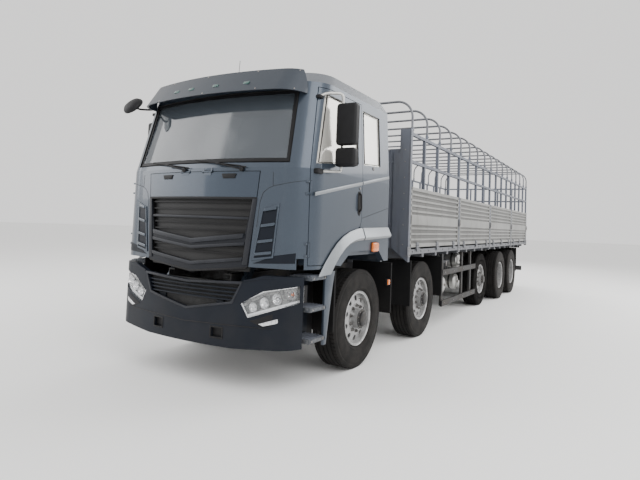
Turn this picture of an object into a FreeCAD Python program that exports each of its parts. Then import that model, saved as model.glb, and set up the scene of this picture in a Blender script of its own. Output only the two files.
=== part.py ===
"""Five-axle stake truck: a tilting sleeper cab on a ladder frame, with a drop-side cargo body under bows.

Millimetres. The front faces -Y, the truck's left is +X, and Z = 0 is the ground. The origin is the bottom
centre of the whole truck. Every size is a cell of the sheet named Sizes, and the objects are bound to it.
"""
import FreeCAD, Part
import math
import operator
import os
import Sketcher

SIZES = [
    # the whole truck
    ("front_reach", 1450, "first axle to the bumper's face"),
    ("body_start", 1130, "first axle to the front of the cargo body"),
    ("body_length", 9200, "cargo body, headboard to tailgate"),
    ("second_axle", 1950, "first axle to the second steered axle"),
    ("lift_axle", 5600, "first axle to the lift axle"),
    ("fourth_axle", 6950, "first axle to the front driven axle"),
    ("fifth_axle", 8300, "first axle to the rear driven axle"),
    ("running_gap", 0.3, "clearance round pins, hubs and thrust faces"),
    ("panel_gap", 6, "clearance round doors, lids and boards"),
    ("overrun", 20, "how far a cutting tool runs past what it cuts"),
    # wheels
    ("tyre_radius", 542, "tyre, outside"),
    ("tyre_width", 300, "one tyre"),
    ("tread_width", 250, "flat of the tread"),
    ("shoulder_drop", 34, "tread to the shoulder's edge"),
    ("rim_radius", 286, "bead seat"),
    ("flange_height", 14, "rim flange above the seat"),
    ("flange_thick", 12, "rim flange"),
    ("rim_width", 240, "one rim over its flanges"),
    ("rim_wall", 12, "rim barrel and disc"),
    ("disc_set", 70, "single wheel: disc's edge outboard of the tyre's middle"),
    ("disc_crown", 30, "single wheel: how far the disc bulges out"),
    ("hub_radius", 110, "hub"),
    ("hub_reach", 168, "hub's end outboard of the wheel's middle"),
    ("hub_cap_thick", 20, "closed end of the hub"),
    ("bolt_circle", 168, "radius of the disc's flat centre"),
    ("hand_hole_radius", 27, "holes in the disc"),
    ("hand_hole_circle", 215, "circle of the hand holes"),
    ("drum_radius", 208, "brake drum"),
    ("drum_wall", 16, "brake drum"),
    ("drum_depth", 105, "brake drum inboard of the wheel's middle"),
    ("spindle_radius", 45, "stub axle"),
    ("single_track", 1010, "truck's middle to a single tyre's middle"),
    ("twin_track", 920, "truck's middle to the middle of twin tyres"),
    ("twin_spacing", 336, "between the middles of twin tyres"),
    ("lift_track", 970, "truck's middle to the lift axle's tyre"),
    # steering and axles
    ("kingpin_track", 840, "truck's middle to the kingpin"),
    ("kingpin_radius", 22, "kingpin"),
    ("eye_radius", 44, "beam's eye round the kingpin"),
    ("eye_half", 58, "half the eye's height"),
    ("fork_thick", 34, "each lug of the knuckle"),
    ("fork_half_width", 48, "half the knuckle's width"),
    ("knuckle_set", 52, "kingpin to the knuckle's back plate"),
    ("knuckle_thick", 24, "knuckle's back plate"),
    ("beam_depth", 90, "front axle beam, front to rear"),
    ("beam_height", 100, "front axle beam"),
    ("beam_drop", 130, "how far the beam's middle lies below the wheel centre"),
    ("beam_bend", 640, "half width of the beam's low middle"),
    ("axle_tube_radius", 72, "tube of the straight axles"),
    ("differential_radius", 210, "round housing of the driven axles"),
    ("differential_depth", 300, "same, front to rear"),
    ("spring_track", 415, "truck's middle to the springs"),
    ("spring_width", 90, "leaf spring"),
    ("spring_pack", 80, "leaves at the middle"),
    ("spring_tip", 24, "leaves at the ends"),
    ("spring_half", 800, "half length of a front spring"),
    ("hanger_length", 90, "spring hangers, front to rear"),
    # frame
    ("frame_half", 430, "half width over the rails"),
    ("frame_bottom", 760, "underside of the rails"),
    ("frame_height", 300, "rails"),
    ("rail_flange", 85, "rail flange"),
    ("rail_thick", 14, "rail and its liner"),
    ("frame_front", 1300, "rails' front end ahead of the first axle"),
    ("frame_tail", 180, "rails' end ahead of the body's rear"),
    ("cross_tube", 120, "frame cross members"),
    ("engine_half", 330, "half the engine's width"),
    ("engine_bottom", 560, "underside of the engine"),
    ("engine_top", 1130, "top of the engine"),
    ("engine_front", 950, "engine's front ahead of the first axle"),
    ("engine_rear", 1250, "gearbox's end behind the first axle"),
    ("underrun_height", 120, "rear underrun bar"),
    ("underrun_bottom", 450, "underside of the rear underrun bar"),
    ("underrun_half", 1150, "half the rear bar's width"),
    ("underrun_set", 190, "rear bar ahead of the body's rear"),
    # cab outline, measured from the first axle
    ("cab_half", 1240, "half the cab's width"),
    ("cab_front", 1415, "front panel at the bottom, ahead of the first axle"),
    ("screen_foot_front", 1400, "same at the windscreen's foot"),
    ("roof_front", 1190, "same at the roof's edge"),
    ("roof_top_front", 1010, "same at the roof's top"),
    ("cab_rear", 490, "cab's back behind the first axle"),
    ("roof_rear", 470, "roof's top at the back"),
    ("nose_half", 980, "half width of the slightly curved front"),
    ("nose_sweep", 120, "how far that front curves back"),
    ("corner_sweep", 400, "front of the cab to the end of its corner"),
    ("cab_skirt", 1050, "lowest point of the front panel"),
    ("cab_bottom", 1150, "underside of the cab's walls"),
    ("cab_floor", 1300, "top of the cab's floor"),
    ("floor_thick", 50, "cab floor"),
    ("belt_height", 2080, "foot of the windscreen"),
    ("roof_edge", 2940, "roof's edge"),
    ("roof_top", 3085, "top of the roof"),
    ("roof_inset", 55, "how much narrower the cab is at the roof's edge"),
    ("roof_crown_inset", 100, "further inset at the roof's top"),
    ("wall_thick", 60, "whole door or wall"),
    ("glass_set", 12, "glass below the outer skin"),
    ("glass_thick", 8, "glass"),
    ("flap_thick", 30, "front service panel"),
    # doors and windows, measured from the first axle
    ("door_front", 1155, "door's front edge"),
    ("door_rear", 205, "door's rear edge, ahead of the first axle"),
    ("door_bottom", 1190, "door's lower edge"),
    ("door_top", 2885, "door's upper edge"),
    ("door_top_front", 975, "door's front edge at the top"),
    ("door_swing_room", 24, "floor's edge inside the door"),
    ("door_hinge_in", 38, "door hinge axis inward from the cab's side"),
    ("door_hinge_low", 1330, "middle of the lower door hinge"),
    ("door_hinge_high", 1900, "middle of the upper door hinge"),
    ("arch_foot", 830, "where the flare starts on the door's lower edge"),
    ("arch_shoulder", 235, "where the flare's slope ends"),
    ("arch_height", 1560, "upper edge of the flare"),
    ("arch_corner_rise", 60, "door's rear corner above the flare"),
    ("window_bottom", 2130, "door glass, front of its lower edge"),
    ("window_rise", 90, "how much the lower edge rises to the rear"),
    ("window_top", 2830, "door glass, upper edge"),
    ("window_front", 1100, "door glass, front of its lower edge"),
    ("window_top_front", 925, "door glass, front of its upper edge"),
    ("window_rear", 290, "door glass, rear edge"),
    ("quarter_front", 165, "side window of the sleeper, front edge"),
    ("quarter_rear", 255, "same, rear edge behind the first axle"),
    ("quarter_bottom", 2230, "same, lower edge"),
    ("screen_bottom", 2125, "windscreen, lower edge"),
    ("screen_top", 2855, "windscreen, upper edge"),
    ("screen_half", 1030, "half the windscreen's width at its foot"),
    ("screen_top_half", 985, "same at the top"),
    ("back_window_half", 420, "half the width of the window in the back"),
    ("back_window_bottom", 2150, "same, lower edge"),
    ("back_window_top", 2550, "same, upper edge"),
    # front service panel
    ("flap_top", 2040, "upper edge"),
    ("flap_half", 745, "half width at the top"),
    ("flap_foot_half", 670, "half width at the bottom"),
    ("flap_foot", 1150, "where its sides end"),
    ("flap_point", 1060, "lowest point of its pointed edge"),
    ("flap_hinge_track", 150, "truck's middle to each of its hinges"),
    ("upper_grille_top", 1780, "upper opening"),
    ("upper_grille_bottom", 1440, "same"),
    ("upper_grille_point", 1370, "same, at the middle"),
    ("upper_grille_half", 690, "same, half width at the top"),
    ("upper_grille_foot_half", 620, "same, half width at the bottom"),
    ("lower_grille_top", 1345, "lower opening"),
    ("lower_grille_top_point", 1295, "same, at the middle"),
    ("lower_grille_bottom", 1236, "same"),
    ("lower_grille_point", 1165, "same, at the middle"),
    ("lower_grille_half", 650, "same, half width"),
    ("slat_height", 14, "bars in the grilles"),
    ("slat_pitch", 72, "between bars"),
    # flares, mudguards and steps
    ("flare_inner_front", 640, "front of the wheel arch ahead of the axle"),
    ("flare_inner_rear", 375, "rear of the wheel arch behind the axle"),
    ("flare_foot", 1150, "lower end of the flare"),
    ("flare_crown", 1300, "inner edge over the wheel"),
    ("flare_proud", 12, "flare beyond the cab's side"),
    ("guard_front", 690, "front mudguard ahead of the first axle"),
    ("guard_rear", 640, "rear mudguard behind the first axle"),
    ("guard_thick", 30, "mudguards"),
    ("guard_inner", 700, "mudguards' inner edge from the truck's middle"),
    ("guard_outer", 1235, "mudguards' outer edge"),
    ("guard_bottom", 520, "mudguards' lower edge"),
    ("guard_top", 1130, "mudguards' upper edge"),
    ("step_front", 1140, "steps' front edge ahead of the first axle"),
    ("step_rear", 870, "steps' rear edge"),
    ("step_inner", 1000, "steps' inner edge"),
    ("step_outer", 1235, "steps' outer edge"),
    ("step_top", 1090, "top step"),
    ("step_pitch", 285, "between steps"),
    ("step_thick", 40, "each tread"),
    ("step_plate", 18, "plate that carries the treads"),
    ("bracket_height", 60, "brackets to the frame"),
    # bumper and lamps
    ("bumper_half", 1220, "half the bumper's width"),
    ("bumper_nose_half", 950, "half width of its slightly curved front"),
    ("bumper_nose_sweep", 110, "how far that front curves back"),
    ("bumper_corner_sweep", 420, "face to the end of the corner"),
    ("bumper_end", 1175, "bumper's end ahead of the first axle"),
    ("bumper_wall", 50, "bumper"),
    ("bumper_bottom", 400, "lower edge"),
    ("bumper_corner_bottom", 440, "lower edge at the corner"),
    ("bumper_top", 985, "upper edge at the middle"),
    ("bumper_grille_top", 1015, "upper edge at the grille's end"),
    ("bumper_corner_top", 1085, "upper edge at the corner"),
    ("bumper_grille_half", 650, "half width of the black grille"),
    ("bumper_grille_foot_half", 550, "same at its foot"),
    ("bumper_grille_foot", 820, "foot of its sides"),
    ("bumper_grille_point", 720, "its lowest point"),
    ("bumper_lip", 22, "bar above the grille"),
    ("tow_hole_track", 393, "truck's middle to a tow opening"),
    ("tow_hole_height", 527, "tow opening's middle"),
    ("tow_hole_width", 130, "tow opening"),
    ("tow_hole_tall", 90, "tow opening"),
    ("lamp_inner", 640, "headlamp's inner edge"),
    ("lamp_inner_foot", 715, "same at the foot"),
    ("lamp_bottom", 690, "headlamp's lowest point"),
    ("lamp_inner_top", 815, "top of its inner edge"),
    ("lamp_step", 860, "where the upper edge steps up"),
    ("lamp_step_top", 945, "upper edge at the step"),
    ("lamp_outer", 1165, "outer end"),
    ("lamp_outer_top", 1005, "outer end, top"),
    ("lamp_outer_bottom", 845, "outer end, foot"),
    ("lamp_set", 8, "lamps below the bumper's face"),
    ("tail_lamp_track", 900, "truck's middle to a tail lamp"),
    ("tail_lamp_half", 170, "half a tail lamp's width"),
    ("tail_lamp_height", 120, "tail lamp"),
    ("tail_lamp_depth", 60, "tail lamp"),
    # cab mounting
    ("pivot_back", 1290, "tilt pivot ahead of the first axle"),
    ("pivot_height", 860, "tilt pivot above the ground"),
    ("pivot_pin_radius", 22, "tilt pin"),
    ("pivot_boss_radius", 50, "boss round the pin"),
    ("pivot_arm_inner", 482, "arm's inner face"),
    ("pivot_arm_thick", 45, "arm"),
    ("pivot_arm_root", 1060, "arm's root in the floor, front edge"),
    ("pivot_arm_root_rear", 940, "same, rear edge"),
    ("rear_support", 330, "cab's rear support behind the first axle"),
    ("rear_support_width", 80, "same"),
    # visor and mirrors
    ("visor_half", 1060, "half the visor's width"),
    ("visor_front", 1420, "lower edge ahead of the first axle"),
    ("visor_top_front", 1260, "upper edge ahead of the first axle"),
    ("visor_nose_half", 860, "half width of its slightly curved front"),
    ("visor_nose_sweep", 100, "how far that curves back"),
    ("visor_corner_sweep", 360, "lower edge to the end of its corner"),
    ("visor_rear", 1060, "visor's ends ahead of the first axle"),
    ("visor_bottom", 2810, "lower edge"),
    ("visor_top", 3050, "upper edge"),
    ("visor_thick", 14, "visor"),
    ("visor_bracket", 30, "visor's brackets"),
    ("mirror_inner", 1250, "mirror heads' inner edge"),
    ("mirror_outer", 1470, "mirror heads' outer edge"),
    ("mirror_front", 850, "mirror heads' front ahead of the first axle"),
    ("mirror_rear", 745, "mirror heads' rear"),
    ("mirror_top", 2750, "main mirror, top"),
    ("mirror_split", 2340, "main mirror, foot"),
    ("mirror_foot", 2130, "wide-angle mirror, foot"),
    ("mirror_space", 24, "between the two heads"),
    ("mirror_tube", 28, "mirror arms"),
    ("mirror_arm_top", 2790, "upper arm"),
    ("mirror_arm_foot", 2065, "lower arm"),
    ("front_mirror_track", 1190, "truck's middle to the front mirror"),
    ("front_mirror_front", 1320, "its middle ahead of the first axle"),
    ("front_mirror_height", 2850, "its middle above the ground"),
    ("front_mirror_radius", 120, "round front mirror"),
    ("front_mirror_depth", 70, "same"),
    ("front_mirror_root", 1090, "truck's middle to the foot of its arm"),
    # inside the cab
    ("dash_depth", 300, "dashboard from the windscreen's foot"),
    ("dash_bottom", 1700, "dashboard's underside"),
    ("dash_top", 2050, "dashboard's top"),
    ("dash_half", 1090, "half the dashboard's width"),
    ("seat_track", 610, "truck's middle to a seat's middle"),
    ("seat_half", 260, "half a seat's width"),
    ("seat_front", 640, "seat's front ahead of the first axle"),
    ("seat_rear", 120, "seat's back ahead of the first axle"),
    ("seat_height", 1830, "top of the cushion"),
    ("seat_top", 2480, "top of the backrest"),
    ("backrest_thick", 130, "backrest"),
    ("bunk_front", 20, "bunk's front behind the first axle"),
    ("bunk_top", 1850, "top of the bunk"),
    ("bunk_half", 1100, "half the bunk's length"),
    ("steering_wheel_radius", 225, "steering wheel"),
    ("steering_rim", 16, "its rim"),
    ("steering_back", 800, "its middle ahead of the first axle"),
    ("steering_height", 2070, "its middle above the ground"),
    ("steering_tilt", 35, "degrees from level"),
    # cargo body
    ("body_half", 1250, "half the body's width over the boards"),
    ("side_rail_bottom", 1213, "lower edge of the side rail"),
    ("deck_top", 1305, "load floor"),
    ("deck_thick", 40, "load floor"),
    ("side_rail_thick", 50, "side rail"),
    ("sleeper_pitch", 575, "between cross bearers"),
    ("sleeper_width", 80, "cross bearers"),
    ("board_height", 800, "drop boards"),
    ("board_thick", 35, "drop boards"),
    ("post_width", 80, "posts between boards"),
    ("post_depth", 60, "posts, inward from the body's side"),
    ("hinge_out", 12.5, "board hinge axis outside the body's side"),
    ("hinge_down", 15, "board hinge axis below the deck"),
    ("hinge_radius", 10, "board hinge barrels"),
    ("hinge_pin_radius", 5, "board hinge pins"),
    ("hinge_width", 90, "board hinge barrels"),
    ("hinge_strap", 12, "board hinge straps"),
    ("hinge_strap_height", 90, "board hinge straps"),
    ("rack_top", 2842, "upper rail of the rack"),
    ("rack_middle", 2470, "middle rail of the rack"),
    ("rack_tube", 40, "rack tubes"),
    ("bow_top", 3296, "top of the bows"),
    ("bow_radius", 16, "bow tubes"),
    ("bow_bend", 230, "bows' corners"),
    ("headboard_half", 1095, "half width of the headboard's middle"),
    ("headboard_top", 2620, "its top"),
    ("headboard_ear", 2880, "top of its corner posts"),
    ("headboard_bottom", 1290, "its lower edge"),
    ("headboard_foot", 1115, "lower end of its corner posts"),
    ("headboard_thick", 60, "headboard"),
    ("headboard_rib", 18, "how far its ribs stand out"),
    ("headboard_rib_width", 70, "ribs"),
    # under the body
    ("side_guard_out", 1160, "side guard's outer face"),
    ("side_guard_thick", 35, "side guard's rails"),
    ("side_guard_tall", 90, "side guard's rails"),
    ("side_guard_top", 900, "upper rail's top"),
    ("side_guard_foot", 400, "lower rail's top"),
    ("side_guard_front", 2880, "side guard behind the first axle"),
    ("side_guard_rear", 4960, "same, rear end"),
    ("air_tank_radius", 140, "air tanks"),
    ("air_tank_length", 560, "air tanks"),
    ("air_tank_front", 3030, "first air tank behind the first axle"),
    ("air_tank_pitch", 310, "between air tanks"),
    ("air_tank_height", 610, "middle of the lower air tanks"),
    ("upper_tank_back", 4230, "upper tank behind the first axle"),
    ("upper_tank_height", 985, "its middle"),
    ("battery_front", 2950, "battery box behind the first axle"),
    ("battery_length", 620, "battery box"),
    ("battery_top", 1040, "battery box"),
    ("battery_out", 1050, "battery box's outer face"),
    ("fuel_tank_out", 1070, "fuel tank's outer face"),
    ("fuel_tank_front", 2980, "fuel tank behind the first axle"),
    ("fuel_tank_length", 1500, "fuel tank"),
    ("fuel_tank_bottom", 430, "fuel tank"),
    ("fuel_tank_top", 1050, "fuel tank"),
    ("fuel_tank_round", 80, "fuel tank's rounded edges"),
]

OPERATIONS = {"+": operator.add, "-": operator.sub, "*": operator.mul, "/": operator.truediv}


class Size:
    """A length: its value now, and the formula over the sheet that a property is bound to."""

    def __init__(self, value, text):
        self.value = value
        self.text = text

    def __add__(self, other):
        return joined(self, "+", other)

    def __radd__(self, other):
        return joined(other, "+", self)

    def __sub__(self, other):
        return joined(self, "-", other)

    def __rsub__(self, other):
        return joined(other, "-", self)

    def __mul__(self, other):
        return joined(self, "*", other)

    def __rmul__(self, other):
        return joined(other, "*", self)

    def __truediv__(self, other):
        return joined(self, "/", other)

    def __neg__(self):
        return joined(0, "-", self)


def size_of(thing):
    return thing if isinstance(thing, Size) else Size(float(thing), "(" + repr(float(thing)) + ")")


def joined(first, sign, second):
    first = size_of(first)
    second = size_of(second)
    value = OPERATIONS[sign](first.value, second.value)
    return Size(value, "(" + first.text + " " + sign + " " + second.text + ")")


doc = FreeCAD.newDocument("StakeTruck")
sheet = doc.addObject("Spreadsheet::Sheet", "Sizes")


class Dimensions:
    """Each size of the sheet by its name."""


D = Dimensions()
for row, (alias, number, meaning) in enumerate(SIZES, start=1):
    sheet.set("A" + str(row), str(number))
    sheet.setAlias("A" + str(row), alias)
    sheet.set("B" + str(row), meaning)
    setattr(D, alias, Size(float(number), "Sizes." + alias))
doc.recompute()

NODES = []
PLANES = {"X": ("YZ_Plane", False), "Y": ("XZ_Plane", True), "Z": ("XY_Plane", False)}
TURNS = {
    "X": FreeCAD.Rotation(FreeCAD.Vector(0, 1, 0), 90),
    "Y": FreeCAD.Rotation(FreeCAD.Vector(1, 0, 0), -90),
    "Z": FreeCAD.Rotation(),
}
HALF_TURN = FreeCAD.Rotation(FreeCAD.Vector(0, 0, 1), 180)


def bind(thing, prop, size):
    thing.setExpression(prop, size_of(size).text)


def place(thing, x, y, z):
    bind(thing, "Placement.Base.x", x)
    bind(thing, "Placement.Base.y", y)
    bind(thing, "Placement.Base.z", z)
    return thing


def box(name, x, y, z):
    """A block between the low and high size given for each axis."""
    block = doc.addObject("Part::Box", name)
    bind(block, "Length", x[1] - x[0])
    bind(block, "Width", y[1] - y[0])
    bind(block, "Height", z[1] - z[0])
    return place(block, x[0], y[0], z[0])


def rod(name, axis, start, radius, length):
    """A cylinder that runs along an axis from its start point."""
    round_bar = doc.addObject("Part::Cylinder", name)
    round_bar.Placement = FreeCAD.Placement(FreeCAD.Vector(), TURNS[axis])
    bind(round_bar, "Radius", radius)
    bind(round_bar, "Height", length)
    return place(round_bar, *start)


def arc_between(first, last, radius):
    """The arc under a half turn whose middle lies to the left on the way from first to last."""
    run = last - first
    half = run.Length / 2
    aside = FreeCAD.Vector(-run.y, run.x, 0).normalize() * math.sqrt(max(radius * radius - half * half, 0))
    middle = (first + last) / 2 + aside
    begin = math.atan2(first.y - middle.y, first.x - middle.x)
    end = math.atan2(last.y - middle.y, last.x - middle.x)
    return Part.ArcOfCircle(Part.Circle(middle, FreeCAD.Vector(0, 0, 1), radius), begin, end)


def draw(sketch, outline):
    """A closed outline of (x, y) corners; a third size is the radius of an arc that leads to the corner,
    and a negative radius curves inward."""
    corners = [FreeCAD.Vector(size_of(p[0]).value, size_of(p[1]).value, 0) for p in outline]
    ends = []
    for index, point in enumerate(outline):
        before = corners[index - 1]
        here = corners[index]
        if len(point) == 2:
            sketch.addGeometry(Part.LineSegment(before, here), False)
            ends.append((1, 2))
        elif point[2].value > 0:
            sketch.addGeometry(arc_between(before, here, point[2].value), False)
            ends.append((1, 2))
        else:
            sketch.addGeometry(arc_between(here, before, -point[2].value), False)
            ends.append((2, 1))
    count = len(outline)
    for index, point in enumerate(outline):
        following = (index + 1) % count
        sketch.addConstraint(
            Sketcher.Constraint("Coincident", index, ends[index][1], following, ends[following][0])
        )
        for kind, size in (("DistanceX", point[0]), ("DistanceY", point[1])):
            sketch.addConstraint(Sketcher.Constraint(kind, -1, 1, index, ends[index][1], size_of(size).value))
            bind(sketch, "Constraints[" + str(sketch.ConstraintCount - 1) + "]", size)
        if len(point) == 3:
            radius = point[2] if point[2].value > 0 else -point[2]
            sketch.addConstraint(Sketcher.Constraint("Radius", index, radius.value))
            bind(sketch, "Constraints[" + str(sketch.ConstraintCount - 1) + "]", radius)


def body_sketch(name, plane_role, outline):
    body = doc.addObject("PartDesign::Body", name)
    sketch = body.newObject("Sketcher::SketchObject", name + "_outline")
    plane = [feature for feature in body.Origin.OriginFeatures if feature.Role == plane_role][0]
    sketch.AttachmentSupport = [(plane, "")]
    sketch.MapMode = "FlatFace"
    draw(sketch, outline)
    return body, sketch


def prism(name, axis, outline, low, high):
    """An outline drawn across an axis and padded along it: (y, z) across X, (x, z) across Y, (x, y) across Z."""
    plane_role, backward = PLANES[axis]
    body, sketch = body_sketch(name, plane_role, outline)
    bind(sketch, "AttachmentOffset.Base.z", -high if backward else low)
    pad = body.newObject("PartDesign::Pad", name + "_pad")
    pad.Profile = sketch
    bind(pad, "Length", high - low)
    return body


def turned(name, outline):
    """An outline of (x, radius) corners turned about the X axis."""
    body, sketch = body_sketch(name, "XY_Plane", outline)
    revolution = body.newObject("PartDesign::Revolution", name + "_turn")
    revolution.Profile = sketch
    revolution.ReferenceAxis = (sketch, ["H_Axis"])
    revolution.Angle = 360
    return body


def loft(name, levels):
    """Straight walls between outlines at rising heights."""
    sections = []
    for index, (height, outline) in enumerate(levels):
        sketch = doc.addObject("Sketcher::SketchObject", name + "_level_" + str(index))
        draw(sketch, outline)
        bind(sketch, "Placement.Base.z", height)
        sections.append(sketch)
    skin = doc.addObject("Part::Loft", name)
    skin.Sections = sections
    skin.Solid = True
    skin.Ruled = True
    return skin


def fuse(name, shapes):
    union = doc.addObject("Part::MultiFuse", name)
    union.Shapes = shapes
    return union


def group(name, shapes):
    """Solids that don't touch, kept as they are."""
    bundle = doc.addObject("Part::Compound", name)
    bundle.Links = shapes
    return bundle


def cut(name, base, tools):
    trimmed = doc.addObject("Part::Cut", name)
    trimmed.Base = base
    trimmed.Tool = tools[0] if len(tools) == 1 else fuse(name + "_tools", tools)
    return trimmed


def common(name, shapes):
    shared = doc.addObject("Part::MultiCommon", name)
    shared.Shapes = shapes
    return shared


def mirrored(name, source):
    """The same on the truck's other side."""
    twin = doc.addObject("Part::Mirroring", name)
    twin.Source = source
    twin.Normal = FreeCAD.Vector(1, 0, 0)
    return twin


def both_sides(name, source):
    return [source, mirrored(name + "_other_side", source)]


def copy_at(name, source, x, y, z, turn=None):
    again = doc.addObject("Part::Compound", name)
    again.Links = [source]
    if turn is not None:
        again.Placement = FreeCAD.Placement(FreeCAD.Vector(), turn)
    return place(again, x, y, z)


def node(label, thing):
    thing.Label = label
    NODES.append(thing)


def forward(distance):
    """The place along Y of something ahead of the first axle."""
    return first_axle_y - distance


def behind(distance):
    """The place along Y of something behind the first axle."""
    return first_axle_y + distance


rear_reach = D.body_start + D.body_length
first_axle_y = (D.front_reach - rear_reach) / 2
body_front_y = behind(D.body_start)
body_rear_y = behind(rear_reach)
axle_height = D.tyre_radius
frame_top = D.frame_bottom + D.frame_height
bay = D.body_length / 4


def nose(half, front, nose_half, nose_sweep, corner_sweep, rear):
    """A plan outline, seen from above: a straight back, straight sides, round corners and a slightly curved
    front. front and rear are places along Y."""
    corner_x = half - nose_half
    corner_y = corner_sweep - nose_sweep
    corner_radius = (corner_x * corner_x + corner_y * corner_y) / (2 * corner_x)
    front_radius = (nose_half * nose_half + nose_sweep * nose_sweep) / (2 * nose_sweep)
    return [
        (half, rear),
        (-half, rear),
        (-half, front + corner_sweep),
        (-nose_half, front + nose_sweep, corner_radius),
        (nose_half, front + nose_sweep, front_radius),
        (half, front + corner_sweep, corner_radius),
    ]


def cab_plan(inset, lean_inset, front_distance, rear_distance):
    """The cab's outline at one height, drawn in by inset all round."""
    half = D.cab_half - lean_inset - inset
    nose_half = D.nose_half - lean_inset - inset * 0.8
    return nose(half, forward(front_distance) + inset, nose_half, D.nose_sweep,
                D.corner_sweep, behind(rear_distance) - inset)


def cab_form(name, inset, bottom, lid):
    """The cab's whole form, drawn in by inset; lid is how far its top lies below the roof."""
    crown_inset = D.roof_inset + D.roof_crown_inset
    return loft(name, [
        (bottom, cab_plan(inset, size_of(0), D.cab_front, D.cab_rear)),
        (D.belt_height, cab_plan(inset, size_of(0), D.screen_foot_front, D.cab_rear)),
        (D.roof_edge - lid, cab_plan(inset, D.roof_inset, D.roof_front, D.cab_rear)),
        (D.roof_top - lid, cab_plan(inset, crown_inset, D.roof_top_front, D.roof_rear)),
    ])


def mirror_points(right_side):
    """A symmetric outline from the points of its right side, from the top middle round to the bottom."""
    left_side = [(-x, z) for x, z in reversed(right_side) if size_of(x).value != 0]
    return right_side + left_side


# wheels

def tyre_section(middle):
    """Half the tyre's ring as (x, radius), its middle at the given x."""
    half = D.tyre_width / 2
    tread = D.tread_width / 2
    bead = D.rim_width / 2 - D.flange_thick
    shoulder = D.tyre_radius - D.shoulder_drop
    waist = D.rim_radius + (shoulder - D.rim_radius) * 0.45
    return [
        (middle - bead, D.rim_radius),
        (middle + bead, D.rim_radius),
        (middle + bead, D.rim_radius + D.flange_height + D.running_gap),
        (middle + half * 0.9, D.rim_radius + D.flange_height * 2),
        (middle + half, waist),
        (middle + half * 0.96, shoulder),
        (middle + tread, D.tyre_radius),
        (middle - tread, D.tyre_radius),
        (middle - half * 0.96, shoulder),
        (middle - half, waist),
        (middle - half * 0.9, D.rim_radius + D.flange_height * 2),
        (middle - bead, D.rim_radius + D.flange_height + D.running_gap),
    ]


def barrel_section(middle):
    """A rim's barrel with its two flanges."""
    edge = D.rim_width / 2
    seat = edge - D.flange_thick
    top = D.rim_radius + D.flange_height
    inner = D.rim_radius - D.rim_wall
    return [
        (middle - edge, inner),
        (middle + edge, inner),
        (middle + edge, top),
        (middle + seat, top),
        (middle + seat, D.rim_radius),
        (middle - seat, D.rim_radius),
        (middle - seat, top),
        (middle - edge, top),
    ]


def hub_section(inner_end):
    """The hub: a blind bore round the spindle, a flange and the brake drum."""
    bore = D.spindle_radius + D.running_gap
    return [
        (inner_end, bore),
        (D.hub_reach - D.hub_cap_thick, bore),
        (D.hub_reach - D.hub_cap_thick, size_of(0)),
        (D.hub_reach, size_of(0)),
        (D.hub_reach, D.hub_radius),
        (D.rim_wall, D.hub_radius),
        (D.rim_wall, D.drum_radius),
        (-D.drum_depth, D.drum_radius),
        (-D.drum_depth, D.drum_radius - D.drum_wall),
        (-D.rim_wall, D.drum_radius - D.drum_wall),
        (-D.rim_wall, D.hub_radius * 0.8),
        (inner_end, D.hub_radius * 0.8),
    ]


def dish_section(edge_x, centre_x):
    """A wheel disc from the barrel's inside at edge_x to its flat centre at centre_x."""
    barrel = D.rim_radius - D.rim_wall * 0.5
    return [
        (edge_x, barrel),
        (edge_x - D.rim_wall * 1.4, barrel),
        (centre_x - D.rim_wall, D.bolt_circle),
        (centre_x - D.rim_wall, D.hub_radius * 0.9),
        (centre_x, D.hub_radius * 0.9),
        (centre_x, D.bolt_circle),
    ]


def hand_holes(name, low, high, count):
    """Round holes on a circle, through a disc that lies between low and high."""
    holes = []
    for index in range(count):
        angle = 2 * math.pi * (index + 0.5) / count
        along = D.hand_hole_circle * math.cos(angle)
        above = D.hand_hole_circle * math.sin(angle)
        holes.append(rod(name + str(index), "X", (low, along, above), D.hand_hole_radius, high - low))
    return group(name, holes)


def single_rim():
    crown = D.disc_set + D.disc_crown
    disc = turned("single_disc", dish_section(D.disc_set, crown))
    open_disc = cut("single_disc_open", disc, [hand_holes("single_hole", D.rim_wall * 2, D.hub_reach, 10)])
    barrel = turned("single_barrel", barrel_section(size_of(0)))
    hub = turned("single_hub", hub_section(-D.drum_depth * 0.6))
    return fuse("single_rim", [barrel, open_disc, hub])


def twin_rim():
    half = D.twin_spacing / 2
    edge = half - D.rim_width * 0.12
    outer_disc = turned("twin_disc", dish_section(edge, D.rim_wall * 2))
    open_disc = cut("twin_disc_open", outer_disc,
                    [hand_holes("twin_hole", D.rim_wall * 2.2, D.hub_reach, 10)])
    inner_disc = mirrored("twin_disc_inner", open_disc)
    barrels = [turned("twin_barrel_outer", barrel_section(half)), turned("twin_barrel_inner", barrel_section(-half))]
    hub = turned("twin_hub", hub_section(-D.drum_depth * 0.6))
    return fuse("twin_rim", barrels + [open_disc, inner_disc, hub])


def wheels():
    """Tyre and rim of every wheel. Each is made once and set in place, turned half round on the right."""
    single_tyre = turned("single_tyre", tyre_section(size_of(0)))
    half = D.twin_spacing / 2
    twin_tyres = group("twin_tyres", [turned("twin_tyre_outer", tyre_section(half)),
                                      turned("twin_tyre_inner", tyre_section(-half))])
    single = single_rim()
    twin = twin_rim()
    axles = [
        ("first", size_of(0), D.single_track, single_tyre, single),
        ("second", D.second_axle, D.single_track, single_tyre, single),
        ("third", D.lift_axle, D.lift_track, single_tyre, single),
        ("fourth", D.fourth_axle, D.twin_track, twin_tyres, twin),
        ("fifth", D.fifth_axle, D.twin_track, twin_tyres, twin),
    ]
    for which, distance, track, tyre, rim in axles:
        for side, sign, turn in (("left", 1, None), ("right", -1, HALF_TURN)):
            for kind, source in (("tyre", tyre), ("rim", rim)):
                label = kind + "_" + which + "_" + side
                node(label, copy_at(label, source, track * sign, behind(distance), axle_height, turn))


# steering knuckles and axles

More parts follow.
